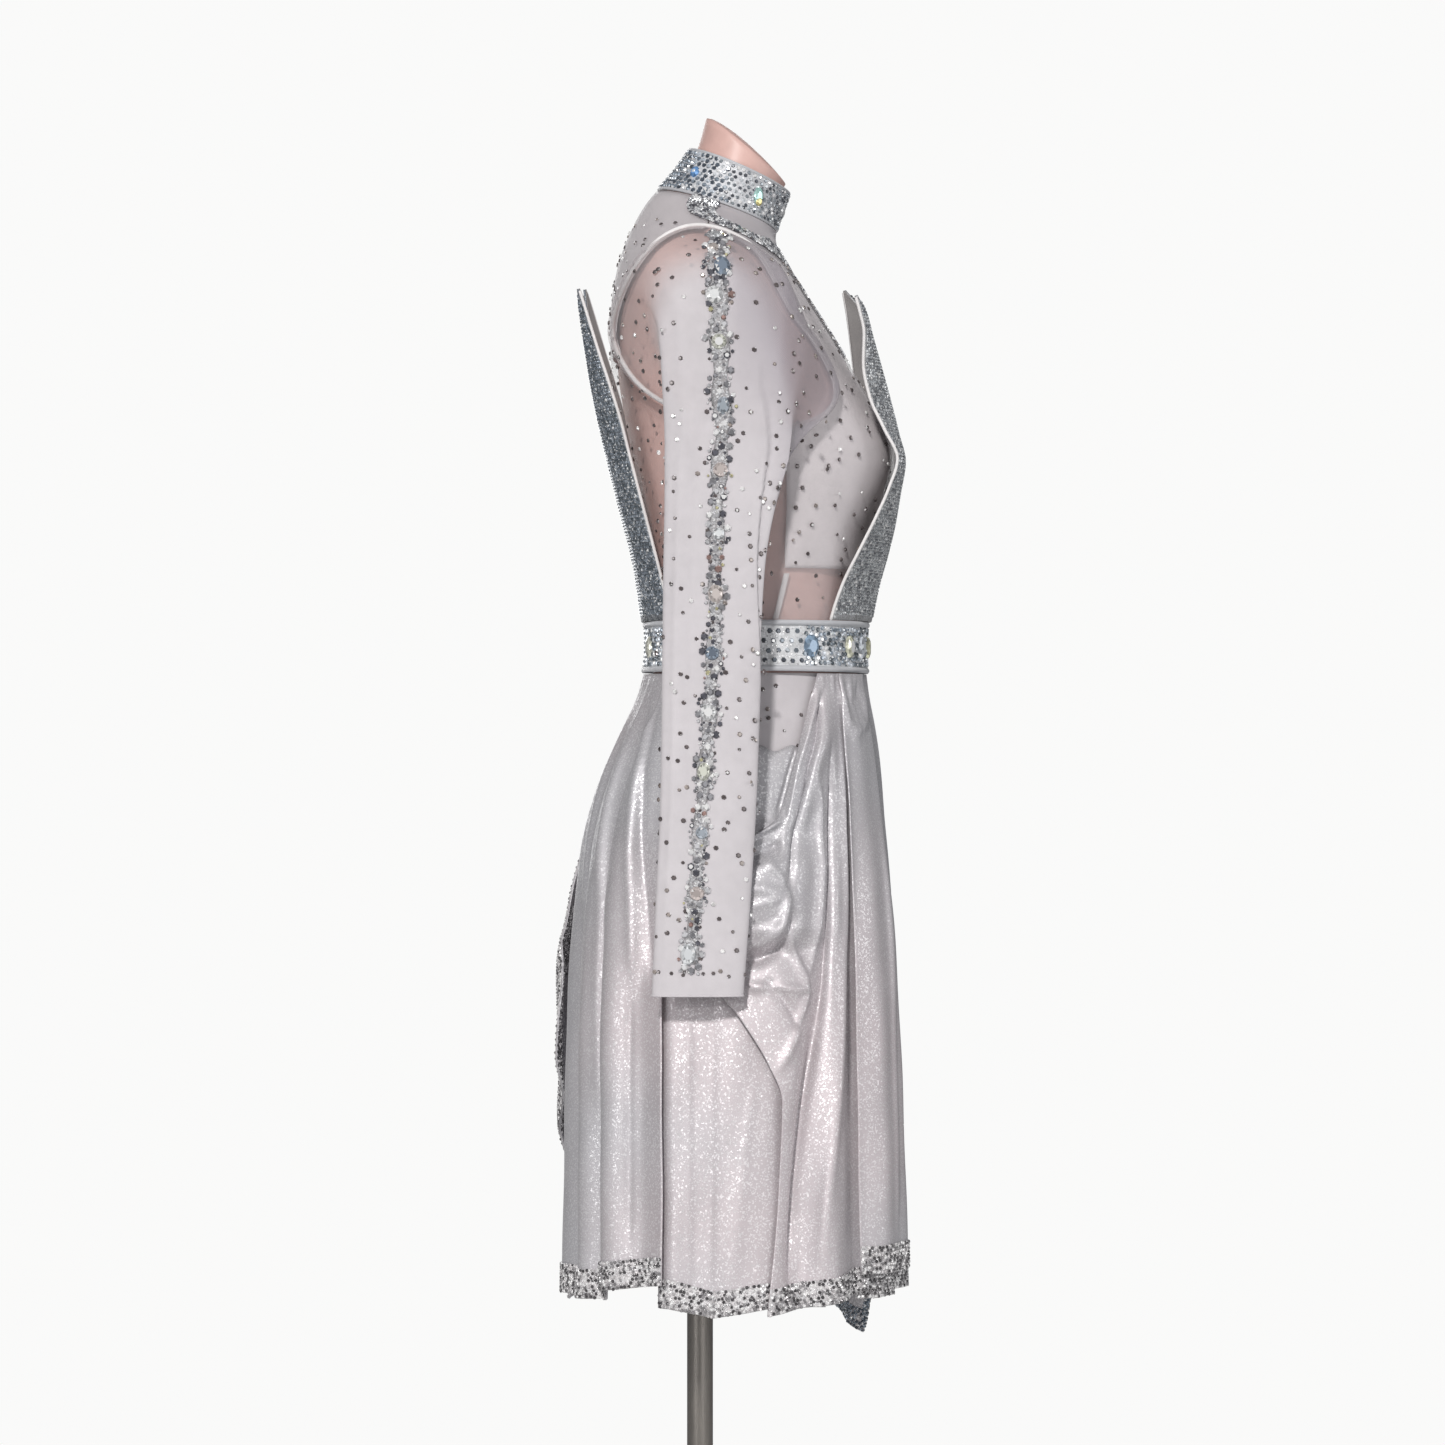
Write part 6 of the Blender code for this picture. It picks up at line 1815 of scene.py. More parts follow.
# The chain's shares of the sleeve, where it starts, where it ends and how far that is
CHAIN_START = 0.05
CHAIN_END = 0.955
CHAIN_RUN = 0.905
CHAIN_LIFT = 1.0 * MM
CHAIN_LINE = (
    [0.03, 0.06, 0.10, 0.15, 0.20, 0.25, 0.30, 0.36, 0.42, 0.50, 0.60, 0.70, 0.80, 0.95],
    [89, 92, 95, 98, 101, 103, 105, 104, 99, 91, 87, 92, 98, 102],
)
# The large stones' sizes against the usual one, from the shoulder down, and their tints in turn
CHAIN_SIZES = np.array([0.8, 0.7, 1.0, 1.15, 0.95, 0.8, 0.9, 0.75, 0.9, 0.85, 1.0, 0.8, 0.75, 0.85, 0.95])
CHAIN_TINTS = [(0.66, 0.68, 0.70), (0.52, 0.47, 0.45), (0.22, 0.27, 0.34), (0.70, 0.71, 0.72),
               (0.60, 0.61, 0.54), (0.38, 0.42, 0.47), (0.60, 0.53, 0.51)]
CHAIN_SHADES = [((0.10, 0.10, 0.12), 0.22), ((0.28, 0.28, 0.30), 0.30), ((0.54, 0.54, 0.56), 0.25),
                ((0.90, 0.90, 0.91), 0.17), ((0.34, 0.22, 0.20), 0.04), ((0.52, 0.49, 0.30), 0.02)]


class DRESS_OT_sleeves(bpy.types.Operator):
    """Build both sleeves and the chains of stones down them"""

    bl_idname = "dress.sleeves"
    bl_label = "Sleeves"

    def execute(self, context):
        sizes, colours = context.scene.dress_sizes, context.scene.dress_colours
        net = mesh_material("sleeve mesh", colours)
        plain = mesh_material("cuff mesh", colours, 0.92)
        turns = np.linspace(0, 360, SLEEVE_COLUMNS, endpoint=False)
        shares = np.concatenate([np.linspace(0, CAP_SHARE, 56), np.linspace(CAP_SHARE, 1, 110)[1:]])
        for side, tag, seed in ((1, "right", 21), (-1, "left", 22)):
            points = sleeve_points(turns[None, :], shares[:, None], side)
            points = points + sleeve_creases(turns[None, :], shares[:, None], side)
            cover = sleeve_cover(turns[None, :], shares[:, None])
            # Painted shade over the front of the shoulder
            painted_shade = sleeve_painted_shade(turns[None, :], shares[:, None])
            if side < 0:
                points = points[:, ::-1]
                cover, painted_shade = cover[:, ::-1], painted_shade[:, ::-1]
            sleeve = cloth_piece(f"mesh_sleeve_{tag}", points, net, ring=True)
            paint_cover(sleeve, cover, painted_shade)
            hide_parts(f"sleeve_{tag}")
            cuff = points[-1]
            out = unit(cuff - cuff.mean(axis=0))
            hem = cord_piece(f"cuff_hem_{tag}", cuff + [0, 0, 0.6 * MM], out, 0.8 * MM, plain, cyclic=True,
                             sides=6)
            chain = self.chain(side, tag, seed, sizes)
            single = self.single_stones(points, tag, seed + 10, sizes)
        return {"FINISHED"}

    def chain(self, side, tag, seed, sizes):
        """Large stones in a line, each in a cluster of small ones."""
        tray = StoneTray(seed)
        count = len(CHAIN_SIZES)
        shares = np.linspace(CHAIN_START, CHAIN_END, count)
        turns = chain_turn(shares) + tray.random.normal(0, 1.6, count)
        line = lift_spots(sleeve_frame(turns, shares, side), CHAIN_LIFT)
        radius = sizes.chain_stone / 2 * CHAIN_SIZES
        for number in range(count):
            stretch = 1.0 + 0.35 * (number % 3 == 2)
            tint = CHAIN_TINTS[number % len(CHAIN_TINTS)]
            tray.lay(keep_spots(line, [number]), radius[number], tint, LARGE_CUT, stretch)
        self.chain_base(side, tag)
        small, small_radius = scatter_chain(tray.random, side, shares, radius * 1.02)
        tray.lay(lift_spots(small, CHAIN_LIFT), small_radius, CHAIN_SHADES)
        piece = tray.make(f"sleeve_chain_{tag}", stone_material())
        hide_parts(f"sleeve_stones_{tag}")
        return piece

    def chain_base(self, side, tag):
        """A narrow dark strip under the chain: painted shade between its stones."""
        shares = np.linspace(0.035, 0.965, 160)
        half = CHAIN_HALF_WIDTH * (0.42 + 0.30 * (0.5 + 0.5 * chain_beat(shares)))
        spread = np.linspace(-1, 1, 7)
        turns = chain_turn(shares)[:, None] + turns_over(half, shares)[:, None] * spread[None, :]
        points, out, _ = sleeve_frame(turns, shares[:, None], side)
        strip = cloth_piece(f"chain_strip_{tag}", points + out * 0.7 * MM,
                            backing_material("chain strip", (0.30, 0.29, 0.30)), wall=0.5 * MM)

    def single_stones(self, points, tag, seed, sizes):
        """Single stones spread over the sleeve, and a row of them above the cuff."""
        tray = StoneTray(seed)
        normals = face_out_of(points)
        spots = bed_spots(points[4:-3], normals[4:-3], sizes.scattered_spacing, tray.random, jitter=0.24,
                          ring=True)
        tray.lay(lift_spots(spots, 0.5 * MM), scattered_radius(tray, spots, sizes), NET_STONES, stretch=1.1)
        row = bed_spots(points[-6:-3], normals[-6:-3], 12 * MM, tray.random, jitter=0.1, ring=True)
        tray.lay(lift_spots(row, 0.5 * MM), 1.7 * MM, NET_STONES)
        piece = tray.make(f"sleeve_single_stones_{tag}", stone_material())
        return piece


def sleeve_cover(turns, shares):
    """How closely the sleeve's net covers: sheer where it is drawn taut over the shoulder, close below."""
    low = np.interp(turns, [0, 50, 90, 130, 180, 260, 360], [0.34, 0.30, 0.16, 0.20, 0.30, 0.34, 0.34])
    bare = np.interp(turns, [0, 70, 105, 190, 215, 320, 350, 360],
                     [0.68, 0.66, 0.38, 0.34, 0.22, 0.22, 0.66, 0.68])
    return bare + (0.93 - bare) * smooth_step(low - 0.08, low + 0.06, shares)


def sleeve_painted_shade(turns, shares):
    """Painted shade on the sleeve: most over the front of the shoulder, and none below it."""
    round_it = np.interp(turns, [0, 55, 90, 105, 325, 350, 360], [1, 1, 0.55, 0, 0, 1, 1])
    return round_it * smooth_step(0.42, 0.24, shares)


def chain_turn(shares):
    """Where the chain lies round the sleeve, from the shoulder to the cuff."""
    return np.interp(shares, *CHAIN_LINE)


def chain_beat(shares):
    """A wave along the chain with its crests at the large stones."""
    return np.cos((shares - CHAIN_START) / CHAIN_RUN * 2 * math.pi * CHAIN_STONES)


def turns_over(width, shares):
    """How many degrees round the sleeve a width of its cloth covers."""
    return np.degrees(width / np.interp(shares, [0, CAP_SHARE, 1], [0.085, 0.046, 0.036]))


def face_out_of(points):
    """Normals of a tube of cloth, turned outwards."""
    normals = grid_normals(points, ring=True)
    middle = points.mean(axis=1, keepdims=True)
    side = np.sign((normals * (points - middle)).sum(axis=-1).mean())
    return normals * side


def scattered_radius(tray, spots, sizes):
    """Most single stones are alike, and some are smaller."""
    share = tray.random.choice([1.0, 0.9, 0.72], len(spots.centre), p=[0.5, 0.3, 0.2])
    return sizes.scattered_stone / 2 * share


def sleeve_frame(turns, shares, side):
    """Spots on the sleeve, with their outward and downward directions."""
    turns, shares = np.broadcast_arrays(np.asarray(turns, float), np.asarray(shares, float))
    centre = sleeve_points(turns, shares, side) + sleeve_creases(turns, shares, side)
    forward = sleeve_points(turns - 4, shares, side) - sleeve_points(turns + 4, shares, side)
    down = sleeve_points(turns, shares + 0.004, side) - sleeve_points(turns, shares - 0.004, side)
    out = -unit(np.cross(forward, down)) * side
    return Spots(centre, out, unit(down))


# The edge of the sleeve's front fold: its step, and its turn at each share of the sleeve
FOLD_STEP = 4.5 * MM
FOLD_EDGE_SHARES = [0.33, 0.37, 0.41, 0.51, 0.56, 0.60]
FOLD_EDGE_TURNS = [74, 62, 47, 31, 18, 8]
# Soft folds of the sleeve: turn at the top and the cuff, width in degrees, rise, and where it starts and ends
SLEEVE_CREASES = [
    (40, 52, 9, -1.6 * MM, 0.12, 0.34),
    (118, 112, 10, -1.8 * MM, 0.16, 0.95),
    (135, 140, 8, 1.5 * MM, 0.20, 1.00),
    (250, 240, 12, -1.8 * MM, 0.20, 1.00),
    (300, 292, 12, 1.5 * MM, 0.25, 1.00),
]


def sleeve_creases(turns, shares, side):
    """Soft folds that run down the sleeve from its cap, and the step at the edge of its front fold."""
    turns, shares = np.broadcast_arrays(np.asarray(turns, float), np.asarray(shares, float))
    rise = np.zeros(turns.shape)
    for at, low_at, width, depth, top, bottom in SLEEVE_CREASES:
        middle = at + (low_at - at) * shares
        away = wrapped(turns - middle)
        fade = smooth_step(top, top + 0.08, shares) * smooth_step(bottom, bottom - 0.15, shares)
        rise = rise + depth * np.exp(-((away / width) ** 2)) * fade
    edge = np.interp(shares, FOLD_EDGE_SHARES, FOLD_EDGE_TURNS)
    before = smooth_step(-1.2, 1.2, edge - turns) + smooth_step(310, 330, turns)
    ends = smooth_step(0.30, 0.36, shares) * smooth_step(0.60, 0.55, shares)
    rise = rise - FOLD_STEP * before * ends
    outward = np.stack([-np.sin(np.radians(turns)), -np.cos(np.radians(turns)) * 0.35, 0 * turns], axis=-1)
    return outward * rise[..., None] * [side, 1, 1]


# Small stones that are tried round the chain, how near two may come against the sum of their radii,
# and the sleeve's length
SCATTER_TRIES = 5200
SCATTER_NEARNESS = 0.80
SLEEVE_LENGTH = 0.60


def scatter_chain(random, side, large_shares, large_radius):
    """Small stones thrown round the chain's large ones, none on top of another."""
    shares = random.uniform(0.028, 0.975, SCATTER_TRIES)
    reach = CHAIN_HALF_WIDTH * (0.62 + 0.50 * (0.55 + 0.45 * chain_beat(shares)))
    across = np.clip(random.normal(0, 0.46, SCATTER_TRIES), -0.92, 0.92) * reach
    radius = random.choice([1.1, 1.6, 2.3, 3.3], SCATTER_TRIES, p=[0.34, 0.34, 0.22, 0.10]) * MM
    order = np.argsort(-radius)
    shares, across, radius = shares[order], across[order], radius[order]
    along = shares * SLEEVE_LENGTH
    placed = [(share * SLEEVE_LENGTH, 0.0, size) for share, size in zip(large_shares, large_radius)]
    kept = []
    for number in range(SCATTER_TRIES):
        placed_along, placed_across, placed_radius = np.array(placed).T
        away = np.hypot(placed_along - along[number], placed_across - across[number])
        if (away > (placed_radius + radius[number]) * SCATTER_NEARNESS).all():
            kept.append(number)
            placed.append((along[number], across[number], radius[number]))
    shares, across, radius = shares[kept], across[kept], radius[kept]
    turns = chain_turn(shares) + turns_over(across, shares)
    return sleeve_frame(turns, shares, side), radius


FACING = (0.36, 0.345, 0.34)
# The distance between the lapels' stones against their width
LAPEL_PITCH = 1.03
LAPEL_ROWS_DOWN = 70
LAPEL_COLUMNS = 25


class DRESS_OT_lapels(bpy.types.Operator):
    """Build the four stone-covered lapels and their piped edges"""

    bl_idname = "dress.lapels"
    bl_label = "Lapels"

    def execute(self, context):
        sizes, colours = context.scene.dress_sizes, context.scene.dress_colours
        for rows, place, tip_rise, shades, ground, seed in (
            (FRONT_LAPEL_ROWS, "front", 0.024, FRONT_LAPEL_STONES, (0.40, 0.40, 0.41), 31),
            (BACK_LAPEL_ROWS, "back", 0.016, BACK_LAPEL_STONES, (0.20, 0.22, 0.25), 33),
        ):
            low, high = rows[0].height, rows[-1].height
            cloth = backing_material(f"{place} lapel cloth", ground)
            for side, tag in ((1, "right"), (-1, "left")):
                lift = tip_rise if side < 0 else 0
                table = curves_of(FAR_FRONT_LAPEL_ROWS if lift and place == "front" else rows)
                shares = 1 - np.linspace(0, 1, LAPEL_ROWS_DOWN) ** 1.15
                heights = low + SEAM_GAP + (high - low - SEAM_GAP) * shares
                points = lapel_points(table, heights, np.linspace(0, 1, LAPEL_COLUMNS), place == "front")
                points = push_clear(points, LAPEL_CLEARANCE)
                points[..., 2] += lift * smooth_step(low, high, points[..., 2])
                points = points * [-side, 1, 1]
                self.lapel(points, place, tag, cloth, shades, seed + (side < 0), sizes, colours)
        return {"FINISHED"}

    def lapel(self, points, place, tag, cloth, shades, seed, sizes, colours):
        normals = face_away(points, grid_normals(points))
        piece = cloth_piece(f"{place}_lapel_{tag}", points, cloth, wall=sizes.lapel_wall)
        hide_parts(f"lapel_{place}_{tag}")
        edge = points[1:, -1] + unit(points[1:, -1] - points[1:, -2]) * PIPING_RADIUS
        piping = cord_piece(f"{place}_piping_{tag}", edge, normals[1:, -1], PIPING_RADIUS,
                            tape_material(colours))
        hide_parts(f"piping_{place}_{tag}")
        inside = points - normals * (sizes.lapel_wall / 2 + 0.5 * MM)
        facing = cloth_piece(f"{place}_lapel_facing_{tag}", inside,
                             plain_cloth_material("lapel facing", FACING, 0.0005, 0.5), wall=0.5 * MM)
        tray = StoneTray(seed)
        pitch = sizes.lapel_stone * LAPEL_PITCH
        spots = bed_spots(points[2:-1], normals[2:-1], pitch, tray.random, jitter=0.10)
        tray.lay(lift_spots(spots, sizes.lapel_wall / 2), sizes.lapel_stone / 2, shades)
        rim = line_spots(points[2:-1, 0], normals[2:-1, 0], pitch, random=tray.random, jitter=0.05)
        outside = unit(points[5:-1, 0] - points[5:-1, 1])
        tray.lay(line_spots(points[5:-1, 0], outside, pitch), sizes.lapel_stone / 2 * 0.8, shades)
        tray.lay(lift_spots(rim, sizes.lapel_wall / 2), sizes.lapel_stone / 2, shades)
        stones = tray.make(f"{place}_lapel_stones_{tag}", stone_material())


# Where the shoulder line is wider than this, it is the cluster at its back end
CLUSTER_HALF_WIDTH = 10.5 * MM
LINE_STONES = [((0.12, 0.12, 0.14), 0.26), ((0.34, 0.35, 0.37), 0.34), ((0.62, 0.63, 0.65), 0.24),
               ((0.94, 0.94, 0.95), 0.16)]


class DRESS_OT_net_stones(bpy.types.Operator):
    """Set the lines of stones on the shoulders and the centre front, and the single stones on the bodice"""

    bl_idname = "dress.net_stones"
    bl_label = "Bodice stones"

    def execute(self, context):
        sizes = context.scene.dress_sizes
        for side, tag, seed in ((1, "right", 41), (-1, "left", 42)):
            self.shoulder_line(side, tag, seed)
        self.centre_front(43)
        self.single_stones(44, sizes)
        return {"FINISHED"}

    def shoulder_line(self, side, tag, seed):
        tray = StoneTray(seed)
        order = range(len(YOKE_LINE_ROWS))
        places = np.linspace(0, order[-1], 60)
        angle, height, half = (smooth_curve(order, column)(places) for column in zip(*YOKE_LINE_ROWS))
        angle = side * angle
        centre = on_body(angle, height, MESH_OFFSET + 1.0 * MM)
        out = body_normals(angle, height)
        along = unit(np.gradient(centre, axis=0))
        across = unit(np.cross(out, along))
        spread = np.linspace(-1, 1, 7)
        grid = centre[:, None] + across[:, None] * (half[:, None] * spread[None, :])[:, :, None]
        normals = np.repeat(out[:, None], len(spread), axis=1)
        cluster = int((half > CLUSTER_HALF_WIDTH).sum())
        for part in (slice(0, cluster + 1), slice(cluster, None)):
            bed = bed_spots(np.swapaxes(grid[part], 0, 1), np.swapaxes(normals[part], 0, 1), 3.3 * MM,
                            tray.random, jitter=0.16)
            tray.lay(bed, tray.random.choice([1.5, 1.9, 2.3], len(bed.centre)) * MM, LINE_STONES)
        piece = tray.make(f"shoulder_line_{tag}", stone_material())
        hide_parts(f"yoke_line_{tag}")

    def centre_front(self, seed):
        tray = StoneTray(seed)
        heights = np.linspace(CENTRE_LINE_TOP, CENTRE_LINE_BOTTOM, 30)
        angles = np.degrees(CENTRE_LINE_HALF_WIDTH / BODY_ROUND) * np.linspace(1, -1, 5)
        points = on_body(angles[None, :], heights[:, None], MESH_OFFSET + 0.4 * MM)
        normals = body_normals(angles[None, :], heights[:, None])
        bed = bed_spots(points, normals, 3.5 * MM, tray.random, jitter=0.1)
        tray.lay(lift_spots(bed, 0.4 * MM), 2.0 * MM, LINE_STONES)
        piece = tray.make("centre_front_line", stone_material())
        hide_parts("centre_line")

    def single_stones(self, seed, sizes):
        tray = StoneTray(seed)
        for front in (True, False):
            angles, heights = bodice_grid(front, BODICE_COLUMNS)
            points = on_body(angles, heights, MESH_OFFSET)
            normals = body_normals(angles, heights)
            inside = np.s_[6:-3, 2:-2]
            spots = bed_spots(points[inside], normals[inside], sizes.scattered_spacing, tray.random,
                              jitter=0.24)
            tray.lay(lift_spots(spots, 0.4 * MM), scattered_radius(tray, spots, sizes), NET_STONES)
        piece = tray.make("bodice_single_stones", stone_material())


class DRESS_OT_hip_yoke(bpy.types.Operator):
    """Build the sheer hip yoke that shows above the draped satin"""

    bl_idname = "dress.hip_yoke"
    bl_label = "Hip yoke"

    def execute(self, context):
        sizes, colours = context.scene.dress_sizes, context.scene.dress_colours
        angles = np.linspace(0, 360, 180, endpoint=False)
        heights = np.linspace(WAISTBAND_BOTTOM - SEAM_GAP, HIP_YOKE_BOTTOM, 30)
        points = on_body(angles[None, :], heights[:, None], LINING_OFFSET)
        net = mesh_material("hip yoke mesh", colours, 0.90)
        cloth = cloth_piece("sheer_hip_yoke", points, net, ring=True)
        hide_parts("hip_yoke")
        normals = body_normals(angles[None, :], heights[:, None])
        tray = StoneTray(51)
        spots = bed_spots(points[1:], normals[1:], sizes.scattered_spacing, tray.random, jitter=0.22,
                          ring=True)
        tray.lay(lift_spots(spots, 0.4 * MM), scattered_radius(tray, spots, sizes), NET_STONES)
        stones = tray.make("hip_single_stones", stone_material())
        return {"FINISHED"}


CreaseRow = namedtuple("CreaseRow", "rise width path")

# Creases of the skirt on both hips: rise, width, and path as (angle, height)
CREASE_ROWS = [
    CreaseRow(-7.0 * MM, 5.0 * MM, [(56.5, 1.004), (60.3, 0.983), (66.2, 0.945), (69.5, 0.904),
                                    (72.8, 0.857), (74.6, 0.833)]),
    CreaseRow(-3.5 * MM, 3.5 * MM, [(60.4, 1.010), (67.0, 0.981), (72.1, 0.945), (75.6, 0.911),
                                    (78.6, 0.893)]),
    CreaseRow(2.5 * MM, 4.0 * MM, [(58.6, 1.008), (64.0, 0.982), (69.6, 0.945), (72.8, 0.905),
                                   (76.0, 0.872)]),
    CreaseRow(6.5 * MM, 4.0 * MM, [(93.0, 0.874), (88.4, 0.881), (86.4, 0.884), (79.3, 0.892),
                                   (74.5, 0.899)]),
    CreaseRow(-8.0 * MM, 7.0 * MM, [(93.0, 0.859), (86.3, 0.866), (80.0, 0.873), (76.0, 0.879)]),
    CreaseRow(3.0 * MM, 3.0 * MM, [(86.4, 0.884), (84.8, 0.877), (79.7, 0.859), (75.0, 0.843)]),
    CreaseRow(3.0 * MM, 7.0 * MM, [(95.0, 0.845), (87.0, 0.843), (81.1, 0.841), (75.5, 0.839)]),
    CreaseRow(2.4 * MM, 5.0 * MM, [(95.0, 0.822), (87.0, 0.827), (81.6, 0.831), (76.3, 0.836)]),
    CreaseRow(-2.6 * MM, 7.0 * MM, [(95.0, 0.808), (86.0, 0.811), (80.0, 0.817), (77.5, 0.823)]),
    CreaseRow(5.0 * MM, 5.0 * MM, [(97.0, 0.797), (87.3, 0.796), (82.4, 0.797), (79.0, 0.804),
                                   (76.6, 0.815), (75.6, 0.829), (74.5, 0.845)]),
    CreaseRow(-7.0 * MM, 6.0 * MM, [(97.0, 0.783), (87.2, 0.784), (82.2, 0.785), (77.0, 0.792),
                                    (74.0, 0.807), (72.8, 0.826)]),
    CreaseRow(5.0 * MM, 8.0 * MM, [(63.1, 0.938), (60.2, 0.904), (60.2, 0.856), (61.8, 0.821),
                                   (63.8, 0.791), (67.5, 0.764)]),
    CreaseRow(4.0 * MM, 5.0 * MM, [(75.6, 0.812), (71.0, 0.786), (66.6, 0.759)]),
    CreaseRow(-4.5 * MM, 7.0 * MM, [(82.0, 0.768), (76.0, 0.756), (72.0, 0.742), (70.0, 0.726)]),
    CreaseRow(3.5 * MM, 4.5 * MM, [(90.0, 0.764), (78.0, 0.762), (66.6, 0.759), (72.0, 0.722),
                                   (78.2, 0.691)]),
    CreaseRow(-9.0 * MM, 5.5 * MM, [(54.7, 0.963), (54.1, 0.922), (55.2, 0.880), (58.1, 0.821),
                                    (61.2, 0.761), (64.5, 0.715), (68.0, 0.666), (70.7, 0.606),
                                    (72.2, 0.557), (73.7, 0.509)]),
    CreaseRow(4.5 * MM, 7.0 * MM, [(46.7, 0.971), (50.1, 0.831), (58.2, 0.670), (62.1, 0.590),
                                   (64.1, 0.517)]),
    CreaseRow(3.5 * MM, 5.0 * MM, [(47.4, 1.012), (44.4, 0.979), (40.1, 0.970), (32.0, 0.979),
                                   (27.0, 1.008)]),
    CreaseRow(-2.5 * MM, 5.0 * MM, [(43.0, 1.014), (40.0, 0.992), (35.0, 0.996), (32.0, 1.012)]),
    CreaseRow(2.6 * MM, 5.0 * MM, [(28.0, 0.900), (29.0, 0.818), (32.2, 0.661), (33.0, 0.540)]),
    CreaseRow(1.2 * MM, 6.0 * MM, [(84.0, 0.690), (87.0, 0.640), (90.0, 0.560), (92.0, 0.500)]),
    CreaseRow(-1.2 * MM, 7.0 * MM, [(95.0, 0.780), (96.0, 0.700), (97.0, 0.600), (97.5, 0.500)]),
    CreaseRow(1.6 * MM, 5.0 * MM, [(103.0, 0.860), (103.5, 0.760), (104.0, 0.640), (104.0, 0.500)]),
    CreaseRow(4.2 * MM, 9.0 * MM, [(157.3, 1.011), (151.5, 0.946), (151.0, 0.912), (146.5, 0.830),
                                   (144.6, 0.640)]),
    CreaseRow(4.2 * MM, 8.0 * MM, [(145.7, 1.004), (135.4, 0.946), (130.0, 0.889), (126.7, 0.831),
                                   (124.0, 0.760)]),
    CreaseRow(3.0 * MM, 8.0 * MM, [(172.0, 1.005), (171.0, 0.930), (168.0, 0.850), (160.0, 0.740)]),
    CreaseRow(-4.0 * MM, 6.0 * MM, [(139.6, 0.990), (128.5, 0.913), (121.3, 0.832), (116.5, 0.751)]),
    CreaseRow(-2.6 * MM, 6.0 * MM, [(139.8, 0.820), (141.5, 0.732), (142.1, 0.600)]),
    CreaseRow(-2.6 * MM, 5.0 * MM, [(125.6, 0.760), (125.9, 0.669), (126.1, 0.540)]),
]
# Round the hip, a degree of the skirt is about this long
MM_PER_DEGREE = 2.75 * MM


def crease_rise(angle, height, depth):
    """How far the creases lift or sink the satin. The left hip's lie a little apart from the right's."""
    angle, height = np.broadcast_arrays(np.asarray(angle, float), np.asarray(height, float))
    turn = wrapped(angle)
    total = np.zeros(turn.shape)
    for number, crease in enumerate(CREASE_ROWS):
        for side in (1, -1):
            path = np.array(crease.path, float)
            if side < 0:
                path = path + [1.3 * math.sin(number * 2.1), 0.006 * math.cos(number * 1.7)]
            along = path * [MM_PER_DEGREE, 1.0]
            steps = np.linalg.norm(np.diff(along, axis=0), axis=1)
            run = np.concatenate([[0], np.cumsum(steps)])
            place = np.stack([turn * side * MM_PER_DEGREE, height], axis=-1)
            nearest = np.full(turn.shape, 9.0)
            at = np.zeros(turn.shape)
            for low in range(len(steps)):
                way = along[low + 1] - along[low]
                share = np.clip(((place - along[low]) @ way) / (way @ way), 0, 1)
                away = np.linalg.norm(place - along[low] - share[..., None] * way, axis=-1)
                closer = away < nearest
                nearest = np.where(closer, away, nearest)
                at = np.where(closer, run[low] + share * steps[low], at)
            ends = np.minimum(at, run[-1] - at) / (0.16 * run[-1])
            profile = (1 + (nearest / crease.width) ** 2) ** 2
            total = total + crease.rise * depth * smooth_step(-0.15, 1, ends) / profile
    return total


def gather_rise(angle, height):
    """Fine gathers below the waistband, uneven from one to the next."""
    radians = np.radians(angle)
    wave = (np.sin(radians * 58 + 1.3 * np.sin(radians * 7)) * 0.6 + np.sin(radians * 93 + 2.0) * 0.4)
    uneven = 0.55 + 0.45 * np.sin(radians * 9 + 0.8)
    reach = 0.035 + 0.020 * np.sin(radians * 13)
    fade = np.exp(-(((WAISTBAND_BOTTOM - height) / reach) ** 2))
    return 0.8 * MM * wave * uneven * fade


def soft_drift(angle, height):
    """Slow unevenness that keeps the satin's long folds from looking turned on a lathe."""
    radians = np.radians(angle)
    sway = np.sin(radians * 17 + height * 21) * np.sin(height * 33 + radians * 5)
    return 0.6 * MM * sway * smooth_step(0.98, 0.85, height)


def satin_points(angles, heights, layer, depth, draped=False):
    """Points of the satin: the skirt's main folds with its creases, gathers and drift."""
    angles, heights = np.broadcast_arrays(np.asarray(angles, float), np.asarray(heights, float))
    base = skirt_points(angles, heights, layer, draped)
    small = 0.05
    ahead = skirt_points(angles + small, heights, layer, draped)
    ahead = ahead - skirt_points(angles - small, heights, layer, draped)
    out = face_away(base, unit(np.cross(np.array([0, 0, 1.0]), ahead)))
    rise = crease_rise(angles, heights, depth) + gather_rise(angles, heights) + soft_drift(angles, heights)
    return base + out * rise[..., None]


# The handkerchief corner of the left front panel: angles, and the hem's height at each
HEM_LINES = {"skirt_left_front": ([-64, -44.3, -42, -26], [0.465, 0.4385, 0.481, 0.492])}
# The panels' grid: degrees between its columns, and its rows
PANEL_STEP = 0.8
PANEL_ROWS_FINE = 86
# How far round to each side of its lowest point a side panel hangs below its hem, in degrees
DIP_HALF_ANGLE = 14
# The drapes' grids, as columns and rows, by side
DRAPE_GRIDS = {1: (98, 216), -1: (76, 168)}
DRAPE_FRONT_ANGLE = 43.0


